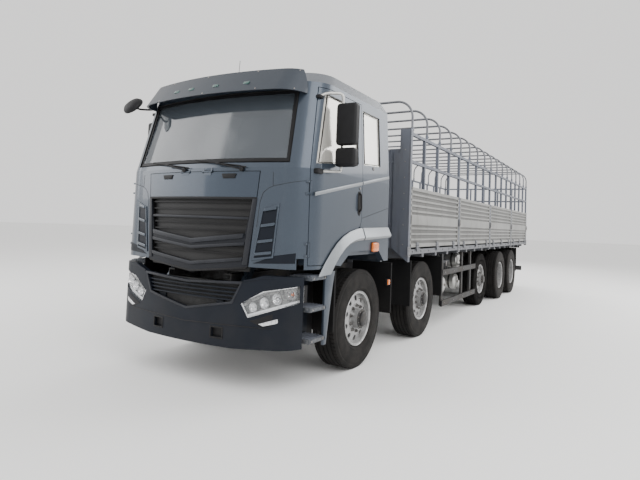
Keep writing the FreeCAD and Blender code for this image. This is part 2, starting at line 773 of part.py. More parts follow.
def knuckle():
    """Left knuckle with its kingpin at the origin: two lugs, a back plate and the spindle."""
    lug_reach = D.knuckle_set + D.knuckle_thick
    lug_low = D.eye_half + D.running_gap
    lug_high = lug_low + D.fork_thick
    width = (-D.fork_half_width, D.fork_half_width)
    pin = rod("kingpin", "Z", (size_of(0), size_of(0), -lug_high), D.kingpin_radius, lug_high * 2)
    upper = box("upper_lug", (-D.fork_half_width, lug_reach), width, (lug_low, lug_high))
    lower = box("lower_lug", (-D.fork_half_width, lug_reach), width, (-lug_high, -lug_low))
    plate = box("knuckle_plate", (D.knuckle_set, lug_reach), width, (-lug_high, lug_high))
    spindle_end = D.single_track - D.kingpin_track + D.hub_reach - D.hub_cap_thick - D.running_gap
    spindle = rod("spindle", "X", (D.knuckle_set, size_of(0), size_of(0)), D.spindle_radius,
                  spindle_end - D.knuckle_set)
    return fuse("knuckle", [pin, upper, lower, plate, spindle])


def knuckles():
    source = knuckle()
    for which, distance in (("first", size_of(0)), ("second", D.second_axle)):
        for side, sign, turn in (("left", 1, None), ("right", -1, HALF_TURN)):
            label = "knuckle_" + which + "_" + side
            node(label, copy_at(label, source, D.kingpin_track * sign, behind(distance), axle_height, turn))


def steered_beam(which, distance):
    """A dropped beam between two eyes."""
    y = behind(distance)
    high = axle_height - D.beam_drop + D.beam_height
    low = axle_height - D.beam_drop
    eye_high = axle_height + D.eye_half * 0.8
    eye_low = axle_height - D.eye_half * 0.8
    outline = mirror_points([
        (D.beam_bend * 0.8, high),
        (D.kingpin_track - D.eye_radius * 2, eye_high),
        (D.kingpin_track, eye_high),
        (D.kingpin_track, eye_low),
        (D.kingpin_track - D.eye_radius * 2, eye_low),
        (D.beam_bend, low),
    ])
    half = D.beam_depth / 2
    beam = prism("beam_" + which, "Y", outline, y - half, y + half)
    eyes = []
    bores = []
    for side, sign in (("left", 1), ("right", -1)):
        middle = (D.kingpin_track * sign, y, axle_height - D.eye_half)
        eyes.append(rod("eye_" + which + side, "Z", middle, D.eye_radius, D.eye_half * 2))
        bores.append(rod("eye_bore_" + which + side, "Z", middle, D.kingpin_radius + D.running_gap, D.eye_half * 2))
    return cut("steered_axle_" + which, fuse("beam_with_eyes_" + which, [beam] + eyes), [group("bores_" + which, bores)])


def straight_axle(which, distance, track, driven):
    """A tube with a spindle in each hub, and a round housing if it is driven."""
    y = behind(distance)
    tube_end = track - D.drum_depth * 0.6 - D.running_gap * 10
    spindle_end = track + D.hub_reach - D.hub_cap_thick - D.running_gap
    zero = size_of(0)
    tube = rod("tube_" + which, "X", (zero - tube_end, y, axle_height), D.axle_tube_radius, tube_end * 2)
    spindle = rod("spindles_" + which, "X", (zero - spindle_end, y, axle_height), D.spindle_radius, spindle_end * 2)
    shapes = [tube, spindle]
    if driven:
        shapes.append(rod("housing_" + which, "Y", (zero, y - D.differential_depth / 2, axle_height),
                          D.differential_radius, D.differential_depth))
    return fuse("straight_axle_" + which, shapes)


def axle_beams():
    parts = [
        steered_beam("first", size_of(0)),
        steered_beam("second", D.second_axle),
        straight_axle("third", D.lift_axle, D.lift_track, False),
        straight_axle("fourth", D.fourth_axle, D.twin_track, True),
        straight_axle("fifth", D.fifth_axle, D.twin_track, True),
    ]
    node("axle_beams", group("axle_beams", parts))


def leaf_pack(name, y, seat, half, rise):
    """A curved stack of leaves: its middle on the seat, its ends higher by rise."""
    outline = [
        (y - D.beam_depth, seat),
        (y + D.beam_depth, seat),
        (y + half * 0.6, seat + rise * 0.45),
        (y + half, seat + rise),
        (y + half, seat + rise + D.spring_tip),
        (y + half * 0.6, seat + rise * 0.45 + D.spring_pack * 0.7),
        (y + D.beam_depth, seat + D.spring_pack),
        (y - D.beam_depth, seat + D.spring_pack),
        (y - half * 0.6, seat + rise * 0.45 + D.spring_pack * 0.7),
        (y - half, seat + rise + D.spring_tip),
        (y - half, seat + rise),
        (y - half * 0.6, seat + rise * 0.45),
    ]
    inner = D.spring_track - D.spring_width / 2
    return prism(name, "X", outline, inner, inner + D.spring_width)


def hanger(name, y, low):
    """A bracket from a spring's end up to the rail."""
    inner = D.spring_track - D.spring_width / 2
    return box(name, (inner, inner + D.spring_width), (y - D.hanger_length / 2, y + D.hanger_length / 2),
               (low, D.frame_bottom))


def leaf_springs():
    solids = []
    steered_seat = axle_height - D.beam_drop + D.beam_height
    for which, distance in (("first", size_of(0)), ("second", D.second_axle)):
        y = behind(distance)
        rise = D.frame_bottom - steered_seat - D.hanger_length - D.spring_tip
        top = steered_seat + rise + D.spring_tip / 2
        reach = D.spring_half - D.hanger_length / 4
        solids.append(fuse("spring_" + which, [
            leaf_pack("leaves_" + which, y, steered_seat, D.spring_half, rise),
            hanger("hanger_front_" + which, y - reach, top),
            hanger("hanger_rear_" + which, y + reach, top),
        ]))
    straight_seat = axle_height + D.axle_tube_radius
    lift_y = behind(D.lift_axle)
    half = (D.fourth_axle - D.lift_axle) * 0.4
    solids.append(fuse("spring_third", [
        leaf_pack("leaves_third", lift_y, straight_seat, half, D.hanger_length / 2),
        hanger("hanger_front_third", lift_y - half * 0.93, straight_seat + D.hanger_length / 2),
        hanger("hanger_rear_third", lift_y + half * 0.93, straight_seat + D.hanger_length / 2),
    ]))
    bogie_y = behind((D.fourth_axle + D.fifth_axle) / 2)
    reach = (D.fifth_axle - D.fourth_axle) / 2 + D.axle_tube_radius
    inner = D.spring_track - D.spring_width / 2
    slab = [
        (bogie_y - reach, straight_seat),
        (bogie_y + reach, straight_seat),
        (bogie_y + reach, straight_seat + D.spring_tip),
        (bogie_y + reach * 0.3, D.frame_bottom - D.spring_tip),
        (bogie_y - reach * 0.3, D.frame_bottom - D.spring_tip),
        (bogie_y - reach, straight_seat + D.spring_tip),
    ]
    solids.append(fuse("spring_bogie", [
        prism("leaves_bogie", "X", slab, inner, inner + D.spring_width),
        hanger("trunnion", bogie_y, straight_seat - D.hanger_length),
    ]))
    every = []
    for solid in solids:
        every += both_sides(solid.Name, solid)
    node("leaf_springs", group("leaf_springs", every))


# frame

def frame_rail():
    """The left rail: a channel open towards the middle."""
    web = D.frame_half - D.rail_thick
    tip = D.frame_half - D.rail_flange
    outline = [
        (tip, D.frame_bottom),
        (D.frame_half, D.frame_bottom),
        (D.frame_half, frame_top),
        (tip, frame_top),
        (tip, frame_top - D.rail_thick),
        (web, frame_top - D.rail_thick),
        (web, D.frame_bottom + D.rail_thick),
        (tip, D.frame_bottom + D.rail_thick),
    ]
    return prism("frame_rail", "Y", outline, forward(D.frame_front), body_rear_y - D.frame_tail)


def chassis_frame():
    web = D.frame_half - D.rail_thick
    middle = D.frame_bottom + D.frame_height / 2
    half_tube = D.cross_tube / 2
    rail = frame_rail()
    solids = both_sides("frame_rail", rail)
    stations = [forward(D.frame_front - D.cross_tube), behind(D.engine_rear + D.cross_tube * 2)]
    stations += [behind(D.body_start + bay * share) for share in (0.9, 1.6, 2.2, 2.85, 3.45)]
    stations.append(body_rear_y - D.frame_tail - D.cross_tube)
    for index, y in enumerate(stations):
        solids.append(box("frame_cross" + str(index), (-web, web), (y - half_tube, y + half_tube),
                          (middle - half_tube, middle + half_tube)))
    solids += pivot_brackets() + rear_cab_support() + underrun_bar()
    node("chassis_frame", fuse("chassis_frame", solids))


def pivot_brackets():
    """Plates outside the rails with the pins that the cab tilts on."""
    y = forward(D.pivot_back)
    plate_thick = D.pivot_arm_inner - D.running_gap - D.frame_half
    plate = box("pivot_plate", (D.frame_half, D.frame_half + plate_thick),
                (y - D.pivot_boss_radius * 0.2, y + D.pivot_boss_radius * 3),
                (D.frame_bottom, D.frame_bottom + D.frame_height * 0.6))
    boss = rod("pivot_plate_boss", "X", (D.frame_half, y, D.pivot_height), D.pivot_boss_radius, plate_thick)
    pin = rod("pivot_pin", "X", (D.frame_half, y, D.pivot_height), D.pivot_pin_radius,
              plate_thick + D.pivot_arm_thick + D.running_gap * 2)
    left = fuse("pivot_bracket", [plate, boss, pin])
    return both_sides("pivot_bracket", left)


def rear_cab_support():
    """An arch across the frame that the cab's floor rests on."""
    y = behind(D.rear_support)
    span = (y, y + D.rear_support_width)
    top = D.cab_floor - D.floor_thick - D.running_gap
    beam = box("support_beam", (-D.frame_half, D.frame_half), span, (top - D.rear_support_width, top))
    leg = box("support_leg", (D.frame_half - D.rail_flange, D.frame_half), span, (frame_top - D.rail_thick, top))
    return [beam] + both_sides("support_leg", leg)


def underrun_bar():
    y = body_rear_y - D.underrun_set
    bar = box("underrun", (-D.underrun_half, D.underrun_half), (y, y + D.underrun_height * 0.8),
              (D.underrun_bottom, D.underrun_bottom + D.underrun_height))
    hanger_out = D.frame_half - D.rail_flange * 0.2
    post = box("underrun_post", (hanger_out - D.rail_flange, hanger_out), (y - D.underrun_height, y + D.rail_thick),
               (D.underrun_bottom, D.frame_bottom + D.rail_thick))
    return [bar] + both_sides("underrun_post", post)


def engine():
    block = box("engine_block", (-D.engine_half, D.engine_half),
                (forward(D.engine_front), behind(D.engine_rear)), (D.engine_bottom, D.engine_top))
    web = D.frame_half - D.rail_thick
    foot_z = (D.frame_bottom + D.rail_thick * 3, D.frame_bottom + D.frame_height * 0.5)
    feet = []
    for index, y in enumerate((forward(D.engine_front * 0.6), behind(D.engine_rear * 0.6))):
        feet.append(box("engine_foot" + str(index), (-web, web), (y, y + D.bracket_height * 2), foot_z))
    # the low middle of the first beam passes under the block
    beam_room = box("beam_room", (-D.frame_half, D.frame_half),
                    (first_axle_y - D.beam_depth * 1.4, first_axle_y + D.beam_depth * 1.4),
                    (size_of(0), axle_height + D.eye_half))
    node("engine", cut("engine", fuse("engine_with_feet", [block] + feet), [beam_room]))


# cab

def door_outline(gap):
    """The door's edge as (y, z), drawn out by gap for its opening."""
    return [
        (forward(D.door_front) - gap, D.door_bottom - gap),
        (forward(D.arch_foot) + gap * 0.3, D.door_bottom - gap),
        (forward(D.arch_shoulder) + gap * 0.9, D.arch_height - gap * 0.7),
        (forward(D.door_rear) + gap, D.arch_height + D.arch_corner_rise),
        (forward(D.door_rear) + gap, D.door_top + gap),
        (forward(D.door_top_front) - gap, D.door_top + gap),
        (forward(D.door_front) - gap, D.belt_height),
    ]


def door_window():
    return [
        (forward(D.window_front), D.window_bottom),
        (forward(D.window_rear), D.window_bottom + D.window_rise),
        (forward(D.window_rear), D.window_top),
        (forward(D.window_top_front), D.window_top),
    ]


def quarter_window():
    return [
        (forward(D.quarter_front), D.quarter_bottom),
        (behind(D.quarter_rear), D.quarter_bottom + D.window_rise * 0.3),
        (behind(D.quarter_rear), D.window_top),
        (forward(D.quarter_front), D.window_top),
    ]


def windscreen_outline():
    return [
        (-D.screen_half, D.screen_bottom),
        (D.screen_half, D.screen_bottom),
        (D.screen_top_half, D.screen_top),
        (-D.screen_top_half, D.screen_top),
    ]


def flap_outline(gap):
    """The front service panel as (x, z), with a pointed lower edge."""
    return mirror_points([
        (D.flap_half + gap * 1.5, D.flap_top + gap),
        (D.flap_foot_half + gap * 1.5, D.flap_foot - gap * 0.5),
        (size_of(0), D.flap_point - gap),
    ])


def flare_outline():
    """The flare's outer edge as (y, z), along the door's gap and on to the cab's back."""
    gap = D.panel_gap
    return [
        (forward(D.arch_foot) + gap * 0.3, D.door_bottom - gap),
        (forward(D.arch_shoulder) + gap * 0.9, D.arch_height - gap * 0.7),
        (behind(D.cab_rear), D.arch_height - gap * 2),
    ]


def far_side():
    """Where a tool that cuts one side starts and ends along X."""
    return D.dash_half * 0.9, D.cab_half + D.wall_thick


def door_prism(name, outline):
    low, high = far_side()
    return prism(name, "X", outline, low, high)


def clear_of_door():
    """The cab's room that the doors never swing into, down to the walls' lower edge."""
    return cab_form("door_room_inside", D.wall_thick + D.door_swing_room, D.cab_skirt, D.wall_thick)


def cab_shell(outer, inner, recess, pockets, lugs, panel_pockets, panel_lugs):
    """The hollow cab: walls, floor, roof and bulkhead, with its door, window and wheel openings."""
    ahead = forward(D.cab_front) - D.wall_thick
    low, high = far_side()
    gap = D.panel_gap
    shell = cut("cab_walls", outer, [inner])
    under = box("under_walls", (-high, high), (ahead, behind(D.cab_rear) + D.wall_thick),
                (D.cab_skirt - D.wall_thick, D.cab_bottom))
    well = box("under_floor", (-D.cab_half + D.wall_thick, D.cab_half - D.wall_thick),
               (forward(D.cab_front) + D.nose_sweep + D.wall_thick, behind(D.cab_rear) - D.wall_thick),
               (D.cab_skirt - D.wall_thick, D.cab_floor - D.floor_thick))
    door_opening = cut("door_opening", door_prism("door_opening_edge", door_outline(gap)), [clear_of_door()])
    quarter = door_prism("quarter_opening", quarter_window())
    arch = prism("arch_opening", "X", flare_outline() + [
        (behind(D.cab_rear) + D.wall_thick, D.arch_height - gap * 2),
        (behind(D.cab_rear) + D.wall_thick, D.cab_skirt - gap),
        (forward(D.arch_foot) + gap * 0.3, D.cab_skirt - gap),
    ], D.cab_half - D.wall_thick, high)
    side_tools = []
    for tool in [door_opening, quarter, arch] + pockets:
        side_tools += both_sides(tool.Name, tool)
    screen = prism("screen_opening", "Y", windscreen_outline(), ahead, forward(D.door_top_front))
    back_window = box("back_window_opening", (-D.back_window_half, D.back_window_half),
                      (behind(D.cab_rear) - D.wall_thick * 2, behind(D.cab_rear) + D.wall_thick),
                      (D.back_window_bottom, D.back_window_top))
    flap_front = prism("flap_recess_front", "Y", flap_outline(gap), ahead, forward(D.door_front))
    flap_recess = cut("flap_recess", flap_front, [recess])
    opened = cut("cab_opened", shell, [under, well] + side_tools + [screen, back_window, flap_recess]
                 + panel_pockets)
    fittings = tilt_arms() + panel_lugs
    for lug in lugs:
        fittings += both_sides(lug.Name, lug)
    node("cab_shell", fuse("cab_shell", [opened] + fittings))


def tilt_arms():
    """Arms from the floor forward and down to the tilt pins."""
    y = forward(D.pivot_back)
    z = D.pivot_height
    radius = D.pivot_boss_radius
    top = D.cab_floor - D.floor_thick / 2
    inner = D.pivot_arm_inner
    outline = [
        (y + radius * 0.2, z + radius * 0.9),
        (y + radius * 0.8, z - radius * 0.4),
        (forward(D.pivot_arm_root_rear), top),
        (forward(D.pivot_arm_root), top),
    ]
    web = prism("tilt_arm_web", "X", outline, inner, inner + D.pivot_arm_thick)
    boss = rod("tilt_arm_boss", "X", (inner, y, z), radius, D.pivot_arm_thick)
    bore = rod("tilt_arm_bore", "X", (inner - D.overrun, y, z), D.pivot_pin_radius + D.running_gap,
               D.pivot_arm_thick + D.overrun * 2)
    arm = cut("tilt_arm", fuse("tilt_arm_solid", [web, boss]), [bore])
    return both_sides("tilt_arm", arm)


def door_hinges():
    """The pieces of both door hinges: pockets in wall and door, the wall's lugs with their pin, the door's
    barrels with their straps, and the barrels' bores."""
    x = D.cab_half - D.door_hinge_in
    y = forward(D.door_front) - D.panel_gap / 2
    half = D.hinge_width / 2
    cheek = D.hinge_width / 5
    room = D.hinge_radius + D.panel_gap
    reach = room + D.overrun
    web = D.hinge_radius * 0.8
    pockets, lugs, barrels, bores = [], [], [], []
    for tag, z in (("low", D.door_hinge_low), ("high", D.door_hinge_high)):
        lug_half = half + D.running_gap + cheek
        pockets.append(rod("door_pocket_" + tag, "Z", (x, y, z - lug_half - D.panel_gap), room,
                           (lug_half + D.panel_gap) * 2))
        pieces = [rod("door_pin_" + tag, "Z", (x, y, z - lug_half), D.hinge_pin_radius, lug_half * 2)]
        for which, low in (("under", z - lug_half), ("over", z + half + D.running_gap)):
            pieces.append(rod("door_lug_" + which + tag, "Z", (x, y, low), D.hinge_radius, cheek))
            pieces.append(box("door_lug_web_" + which + tag, (x - D.wall_thick / 2, x), (y - reach, y),
                              (low, low + cheek)))
        lugs.append(fuse("door_lugs_" + tag, pieces))
        barrels.append(rod("door_barrel_" + tag, "Z", (x, y, z - half), D.hinge_radius, half * 2))
        barrels.append(box("door_strap_" + tag, (x - web, x), (y, y + reach), (z - half, z + half)))
        bores.append(rod("door_bore_" + tag, "Z", (x, y, z - half - D.running_gap),
                         D.hinge_pin_radius + D.running_gap, (half + D.running_gap) * 2))
    return pockets, lugs, barrels, bores


def panel_hinges():
    """The same pieces for the front panel's two hinges, which stand in its gap below the windscreen."""
    z = D.flap_top + D.panel_gap / 2
    lean = (D.cab_front - D.screen_foot_front) * ((z - D.cab_skirt) / (D.belt_height - D.cab_skirt))
    y = forward(D.cab_front - lean)
    half = D.hinge_width / 2
    cheek = D.hinge_width / 5
    room = D.hinge_radius + D.panel_gap
    reach = room + D.overrun
    depth = D.flap_thick / 2
    pockets, lugs, barrels, bores = [], [], [], []
    for side, x in (("left", D.flap_hinge_track), ("right", -D.flap_hinge_track)):
        lug_half = half + D.running_gap + cheek
        pockets.append(rod("panel_pocket_" + side, "X", (x - lug_half - D.panel_gap, y, z), room,
                           (lug_half + D.panel_gap) * 2))
        pieces = [rod("panel_pin_" + side, "X", (x - lug_half, y, z), D.hinge_pin_radius, lug_half * 2)]
        for which, low in (("low", x - lug_half), ("high", x + half + D.running_gap)):
            pieces.append(rod("panel_lug_" + which + side, "X", (low, y, z), D.hinge_radius, cheek))
            pieces.append(box("panel_lug_web_" + which + side, (low, low + cheek), (y, y + depth), (z, z + reach)))
        lugs.append(fuse("panel_lugs_" + side, pieces))
        barrels.append(rod("panel_barrel_" + side, "X", (x - half, y, z), D.hinge_radius, half * 2))
        barrels.append(box("panel_strap_" + side, (x - half, x + half), (y, y + depth), (z - reach, z)))
        bores.append(rod("panel_bore_" + side, "X", (x - half - D.running_gap, y, z),
                         D.hinge_pin_radius + D.running_gap, (half + D.running_gap) * 2))
    return pockets, lugs, barrels, bores


def cab_glass(outer_glass, inner_glass):
    ahead = forward(D.cab_front) - D.wall_thick
    skin = cut("glass_skin", outer_glass, [inner_glass])
    quarter = common("quarter_glass", [skin, door_prism("quarter_glass_edge", quarter_window())])
    screen = common("screen_glass", [skin, prism("screen_edge", "Y", windscreen_outline(), ahead,
                                                 forward(D.door_top_front))])
    back = common("back_glass", [skin, box("back_glass_edge", (-D.back_window_half, D.back_window_half),
                                           (behind(D.cab_rear) - D.wall_thick * 2, behind(D.cab_rear)),
                                           (D.back_window_bottom, D.back_window_top))])
    node("cab_glass", group("cab_glass", both_sides("quarter_glass", quarter) + [screen, back]))
    for side in ("left", "right"):
        pane = common("door_pane_" + side, [skin, door_prism("door_pane_edge_" + side, door_window())])
        node("door_glass_" + side, pane if side == "left" else mirrored("door_glass_right", pane))


def doors(outer, inside, pockets, barrels, bores):
    walls = cut("door_walls", outer, [inside])
    panel = common("door_panel", [walls, door_prism("door_edge", door_outline(size_of(0)))])
    opened = cut("door_opened", panel, [door_prism("door_window_opening", door_window())] + pockets)
    door = cut("door_left", fuse("door_with_barrels", [opened] + barrels), bores)
    node("door_left", door)
    node("door_right", mirrored("door_right", door))


def grille_slats(name, top, foot, half, band):
    """Bars across an opening of the front panel."""
    count = 1 + int((top.value - foot.value) / D.slat_pitch.value)
    bars = []
    for index in range(count):
        z = top - (top - foot) * ((index + 0.5) / count)
        bars.append(box(name + str(index), (-half, half), (forward(D.cab_front) - D.wall_thick, forward(D.door_front)),
                        (z - D.slat_height / 2, z + D.slat_height / 2)))
    return common(name + "_curved", [band, group(name + "_bars", bars)])


def front_panel(outer, flap_inner, outer_glass, inner_glass, pockets, barrels, bores):
    """The front service panel with its two grilles."""
    ahead = forward(D.cab_front) - D.wall_thick
    skin = cut("flap_skin", outer, [flap_inner])
    sheet_metal = common("flap_sheet", [skin, prism("flap_edge", "Y", flap_outline(size_of(0)), ahead,
                                                    forward(D.door_front))])
    upper = prism("upper_grille_opening", "Y", mirror_points([
        (D.upper_grille_half, D.upper_grille_top),
        (D.upper_grille_foot_half, D.upper_grille_bottom),
        (size_of(0), D.upper_grille_point),
    ]), ahead, forward(D.door_front))
    lower = prism("lower_grille_opening", "Y", [
        (-D.lower_grille_half, D.lower_grille_top),
        (size_of(0), D.lower_grille_top_point),
        (D.lower_grille_half, D.lower_grille_top),
        (D.lower_grille_half * 0.95, D.lower_grille_bottom),
        (size_of(0), D.lower_grille_point),
        (-D.lower_grille_half * 0.95, D.lower_grille_bottom),
    ], ahead, forward(D.door_front))
    opened = cut("flap_opened", sheet_metal, [upper, lower] + pockets)
    band = cut("slat_band", outer_glass, [inner_glass])
    upper_bars = grille_slats("upper_slat", D.upper_grille_top, D.upper_grille_bottom, D.upper_grille_half, band)
    lower_bars = grille_slats("lower_slat", D.lower_grille_top, D.lower_grille_bottom,
                              D.lower_grille_half + D.slat_height, band)
    whole = fuse("panel_with_barrels", [opened, upper_bars, lower_bars] + barrels)
    node("cab_front_panel", cut("cab_front_panel", whole, bores))


def arch_flares():
    outline = flare_outline() + [
        (behind(D.cab_rear), D.flare_foot + D.panel_gap * 3),
        (behind(D.flare_inner_rear), D.flare_foot + D.panel_gap * 3),
        (behind(D.flare_inner_rear) - D.flare_crown * 0.12, D.flare_crown),
        (forward(D.flare_inner_front) + D.flare_crown * 0.16, D.flare_crown),
        (forward(D.flare_inner_front), D.flare_foot + D.panel_gap * 2),
    ]
    flare = prism("arch_flare", "X", outline, D.cab_half - D.wall_thick, D.cab_half + D.flare_proud)
    node("arch_flares", group("arch_flares", both_sides("arch_flare", flare)))


def visor_plan(inset, front_distance):
    return nose(D.visor_half - inset, forward(front_distance) + inset, D.visor_nose_half - inset,
                D.visor_nose_sweep, D.visor_corner_sweep, forward(D.visor_rear - D.visor_corner_sweep))


def sun_visor(outer):
    outside = loft("visor_outside", [(D.visor_bottom, visor_plan(size_of(0), D.visor_front)),
                                     (D.visor_top, visor_plan(size_of(0), D.visor_top_front))])
    inside = loft("visor_inside", [(D.visor_bottom, visor_plan(D.visor_thick, D.visor_front)),
                                   (D.visor_top, visor_plan(D.visor_thick, D.visor_top_front))])
    hollow = cut("visor_hollow", outside, [inside])
    front_part = box("visor_front_part", (-D.cab_half, D.cab_half), (forward(D.visor_front) - D.overrun,
                     forward(D.visor_rear)), (D.visor_bottom, D.visor_top))
    blade = common("visor_blade", [hollow, front_part])
    height = (D.visor_bottom + D.visor_top) / 2
    brackets = []
    for index, share in enumerate((-0.8, -0.3, 0.3, 0.8)):
        x = D.visor_half * share
        bar = box("visor_bar" + str(index), (x - D.visor_bracket / 2, x + D.visor_bracket / 2),
                  (forward(D.visor_front), forward(D.roof_top_front)), (height, height + D.visor_bracket))
        brackets.append(common("visor_bracket" + str(index), [outside, bar]))
    node("sun_visor", cut("sun_visor", fuse("visor_with_brackets", [blade] + brackets), [outer]))


def arm_plan(x, y, root_x, root_y):
    """A straight bar seen from above, from the door to the mirror's tube."""
    half = D.mirror_tube / 2
    return [(root_x, root_y - half), (x, y - half), (x, y + half), (root_x, root_y + half)]


def mirrors(outer):
    """Two stacked heads on a tube that two arms hold off the door."""
    heads_y = (forward(D.mirror_front), forward(D.mirror_rear))
    heads_x = (D.mirror_inner, D.mirror_outer)
    upper = box("mirror_upper", heads_x, heads_y, (D.mirror_split, D.mirror_top))
    lower = box("mirror_lower", heads_x, heads_y, (D.mirror_foot, D.mirror_split - D.mirror_space))
    tube_x = D.mirror_inner + D.mirror_tube * 2
    tube_y = forward((D.mirror_front + D.mirror_rear) / 2)
    half = D.mirror_tube / 2
    tube = rod("mirror_tube", "Z", (tube_x, tube_y, D.mirror_arm_foot - half), half,
               D.mirror_arm_top - D.mirror_arm_foot + D.mirror_tube)
    inboard = D.cab_half - D.wall_thick
    top_root = forward(D.door_top_front + D.mirror_tube * 0.2)
    top_arm = prism("mirror_arm_top", "Z", arm_plan(tube_x, tube_y, inboard * 0.95, top_root),
                    D.mirror_arm_top - half, D.mirror_arm_top + half)
    foot_root = forward(D.door_front - D.mirror_tube * 2)
    foot_arm = prism("mirror_arm_foot", "Z", arm_plan(tube_x, tube_y, inboard, foot_root),
                     D.mirror_arm_foot - half, D.mirror_arm_foot + half)
    left = cut("mirror_left", fuse("mirror_solid", [upper, lower, tube, top_arm, foot_arm]), [outer])
    node("mirror_left", left)
    node("mirror_right", mirrored("mirror_right", left))


def front_mirror(outer):
    """A round mirror in front of the windscreen's right upper corner, on an arm from the roof."""
    x = -D.front_mirror_track
    y = forward(D.front_mirror_front)
    z = D.front_mirror_height
    head = rod("front_mirror_head", "Y", (x, y, z), D.front_mirror_radius, D.front_mirror_depth)
    half = D.mirror_tube / 2
    root_x = -D.front_mirror_root
    root_y = forward(D.roof_top_front)
    arm = prism("front_mirror_arm", "Z", [
        (x - half, y + half),
        (x + half, y + half),
        (root_x + half, root_y - half),
        (root_x + half, root_y + half),
        (root_x - half, root_y + half),
    ], z - half, z + half)
    node("front_mirror", cut("front_mirror", fuse("front_mirror_solid", [head, arm]), [outer]))


def cab_interior(inner):
    """Dashboard with the steering wheel, two seats and the bunk."""
    dash_front = forward(D.cab_front)
    dash_block = box("dash_block", (-D.dash_half, D.dash_half),
                     (dash_front, dash_front + D.wall_thick + D.nose_sweep + D.dash_depth),
                     (D.dash_bottom, D.dash_top))
    door_swing = door_prism("dash_door_room", door_outline(D.panel_gap))
    dash = cut("dash", common("dash_full", [inner, dash_block]), both_sides("dash_door_room", door_swing))
    wheel_y = forward(D.steering_back)
    ring = doc.addObject("Part::Torus", "steering_ring")
    bind(ring, "Radius1", D.steering_wheel_radius)
    bind(ring, "Radius2", D.steering_rim)
    spoke = box("steering_spoke", (-D.steering_wheel_radius, D.steering_wheel_radius),
                (-D.steering_rim, D.steering_rim), (-D.steering_rim, D.steering_rim / 2))
    column = rod("steering_column", "Z", (size_of(0), size_of(0), -D.steering_wheel_radius * 2), D.steering_rim * 2,
                 D.steering_wheel_radius * 2)
    tilted = group("steering_wheel", [fuse("steering_parts", [ring, spoke, column])])
    tilted.Placement = FreeCAD.Placement(FreeCAD.Vector(), FreeCAD.Rotation(FreeCAD.Vector(1, 0, 0), 0))
    bind(tilted, "Placement.Rotation.Angle", -D.steering_tilt)
    place(tilted, D.seat_track, wheel_y, D.steering_height)
    front_room = box("front_room", (-D.cab_half, D.cab_half), (forward(D.cab_front), behind(D.cab_rear)),
                     (D.cab_floor, D.roof_edge))
    dashboard = fuse("dashboard", [dash, common("steering_inside", [tilted, front_room])])
    seat_y = (forward(D.seat_front), forward(D.seat_rear))
    seat_x = (D.seat_track - D.seat_half, D.seat_track + D.seat_half)
    base = box("seat_base", seat_x, seat_y, (D.cab_floor, D.seat_height))
    back = box("seat_back", seat_x, (seat_y[1] - D.backrest_thick, seat_y[1]), (D.cab_floor, D.seat_top))
    seat = fuse("seat", [base, back])
    bunk = box("bunk", (-D.bunk_half, D.bunk_half), (behind(D.bunk_front), behind(D.cab_rear) - D.wall_thick),
               (D.cab_floor, D.bunk_top))
    node("cab_interior", group("cab_interior", [dashboard] + both_sides("seat", seat) + [bunk]))


def cab():
    zero = size_of(0)
    outer = cab_form("cab_outer", zero, D.cab_skirt, zero)
    inside = cab_form("cab_inside", D.wall_thick, D.cab_skirt, D.wall_thick)
    below_floor = box("below_floor", (-D.cab_half, D.cab_half), (forward(D.cab_front), behind(D.cab_rear)),
                      (D.cab_skirt - D.overrun, D.cab_floor))
    inner = cut("cab_inner", inside, [below_floor])
    recess = cab_form("cab_recess", D.flap_thick + D.panel_gap, D.cab_skirt, zero)
    flap_inner = cab_form("cab_flap_inner", D.flap_thick, D.cab_skirt, zero)
    outer_glass = cab_form("cab_glass_outer", D.glass_set, D.cab_skirt, D.glass_set)
    inner_glass = cab_form("cab_glass_inner", D.glass_set + D.glass_thick, D.cab_skirt, D.glass_set + D.glass_thick)
    pockets, lugs, barrels, bores = door_hinges()
    panel_pockets, panel_lugs, panel_barrels, panel_bores = panel_hinges()
    cab_shell(outer, inner, recess, pockets, lugs, panel_pockets, panel_lugs)
    doors(outer, inside, pockets, barrels, bores)
    cab_glass(outer_glass, inner_glass)
    front_panel(outer, flap_inner, outer_glass, inner_glass, panel_pockets, panel_barrels, panel_bores)
    arch_flares()
    sun_visor(outer)
    mirrors(outer)
    front_mirror(outer)
    cab_interior(inner)


# bumper, lamps, steps and mudguards

def bumper_plan(inset):
    return nose(D.bumper_half - inset, forward(D.front_reach) + inset, D.bumper_nose_half - inset * 0.8,
                D.bumper_nose_sweep, D.bumper_corner_sweep, first_axle_y)


def bumper_form(name, inset):
    return prism(name, "Z", bumper_plan(inset), D.bumper_bottom, D.bumper_corner_top)


def lamp_outline():
    return [
        (D.lamp_inner, D.lamp_inner_top),
        (D.lamp_inner_foot, D.lamp_bottom),
        (D.lamp_outer, D.lamp_outer_bottom),
        (D.lamp_outer, D.lamp_outer_top),
        (D.lamp_step, D.lamp_step_top),
    ]


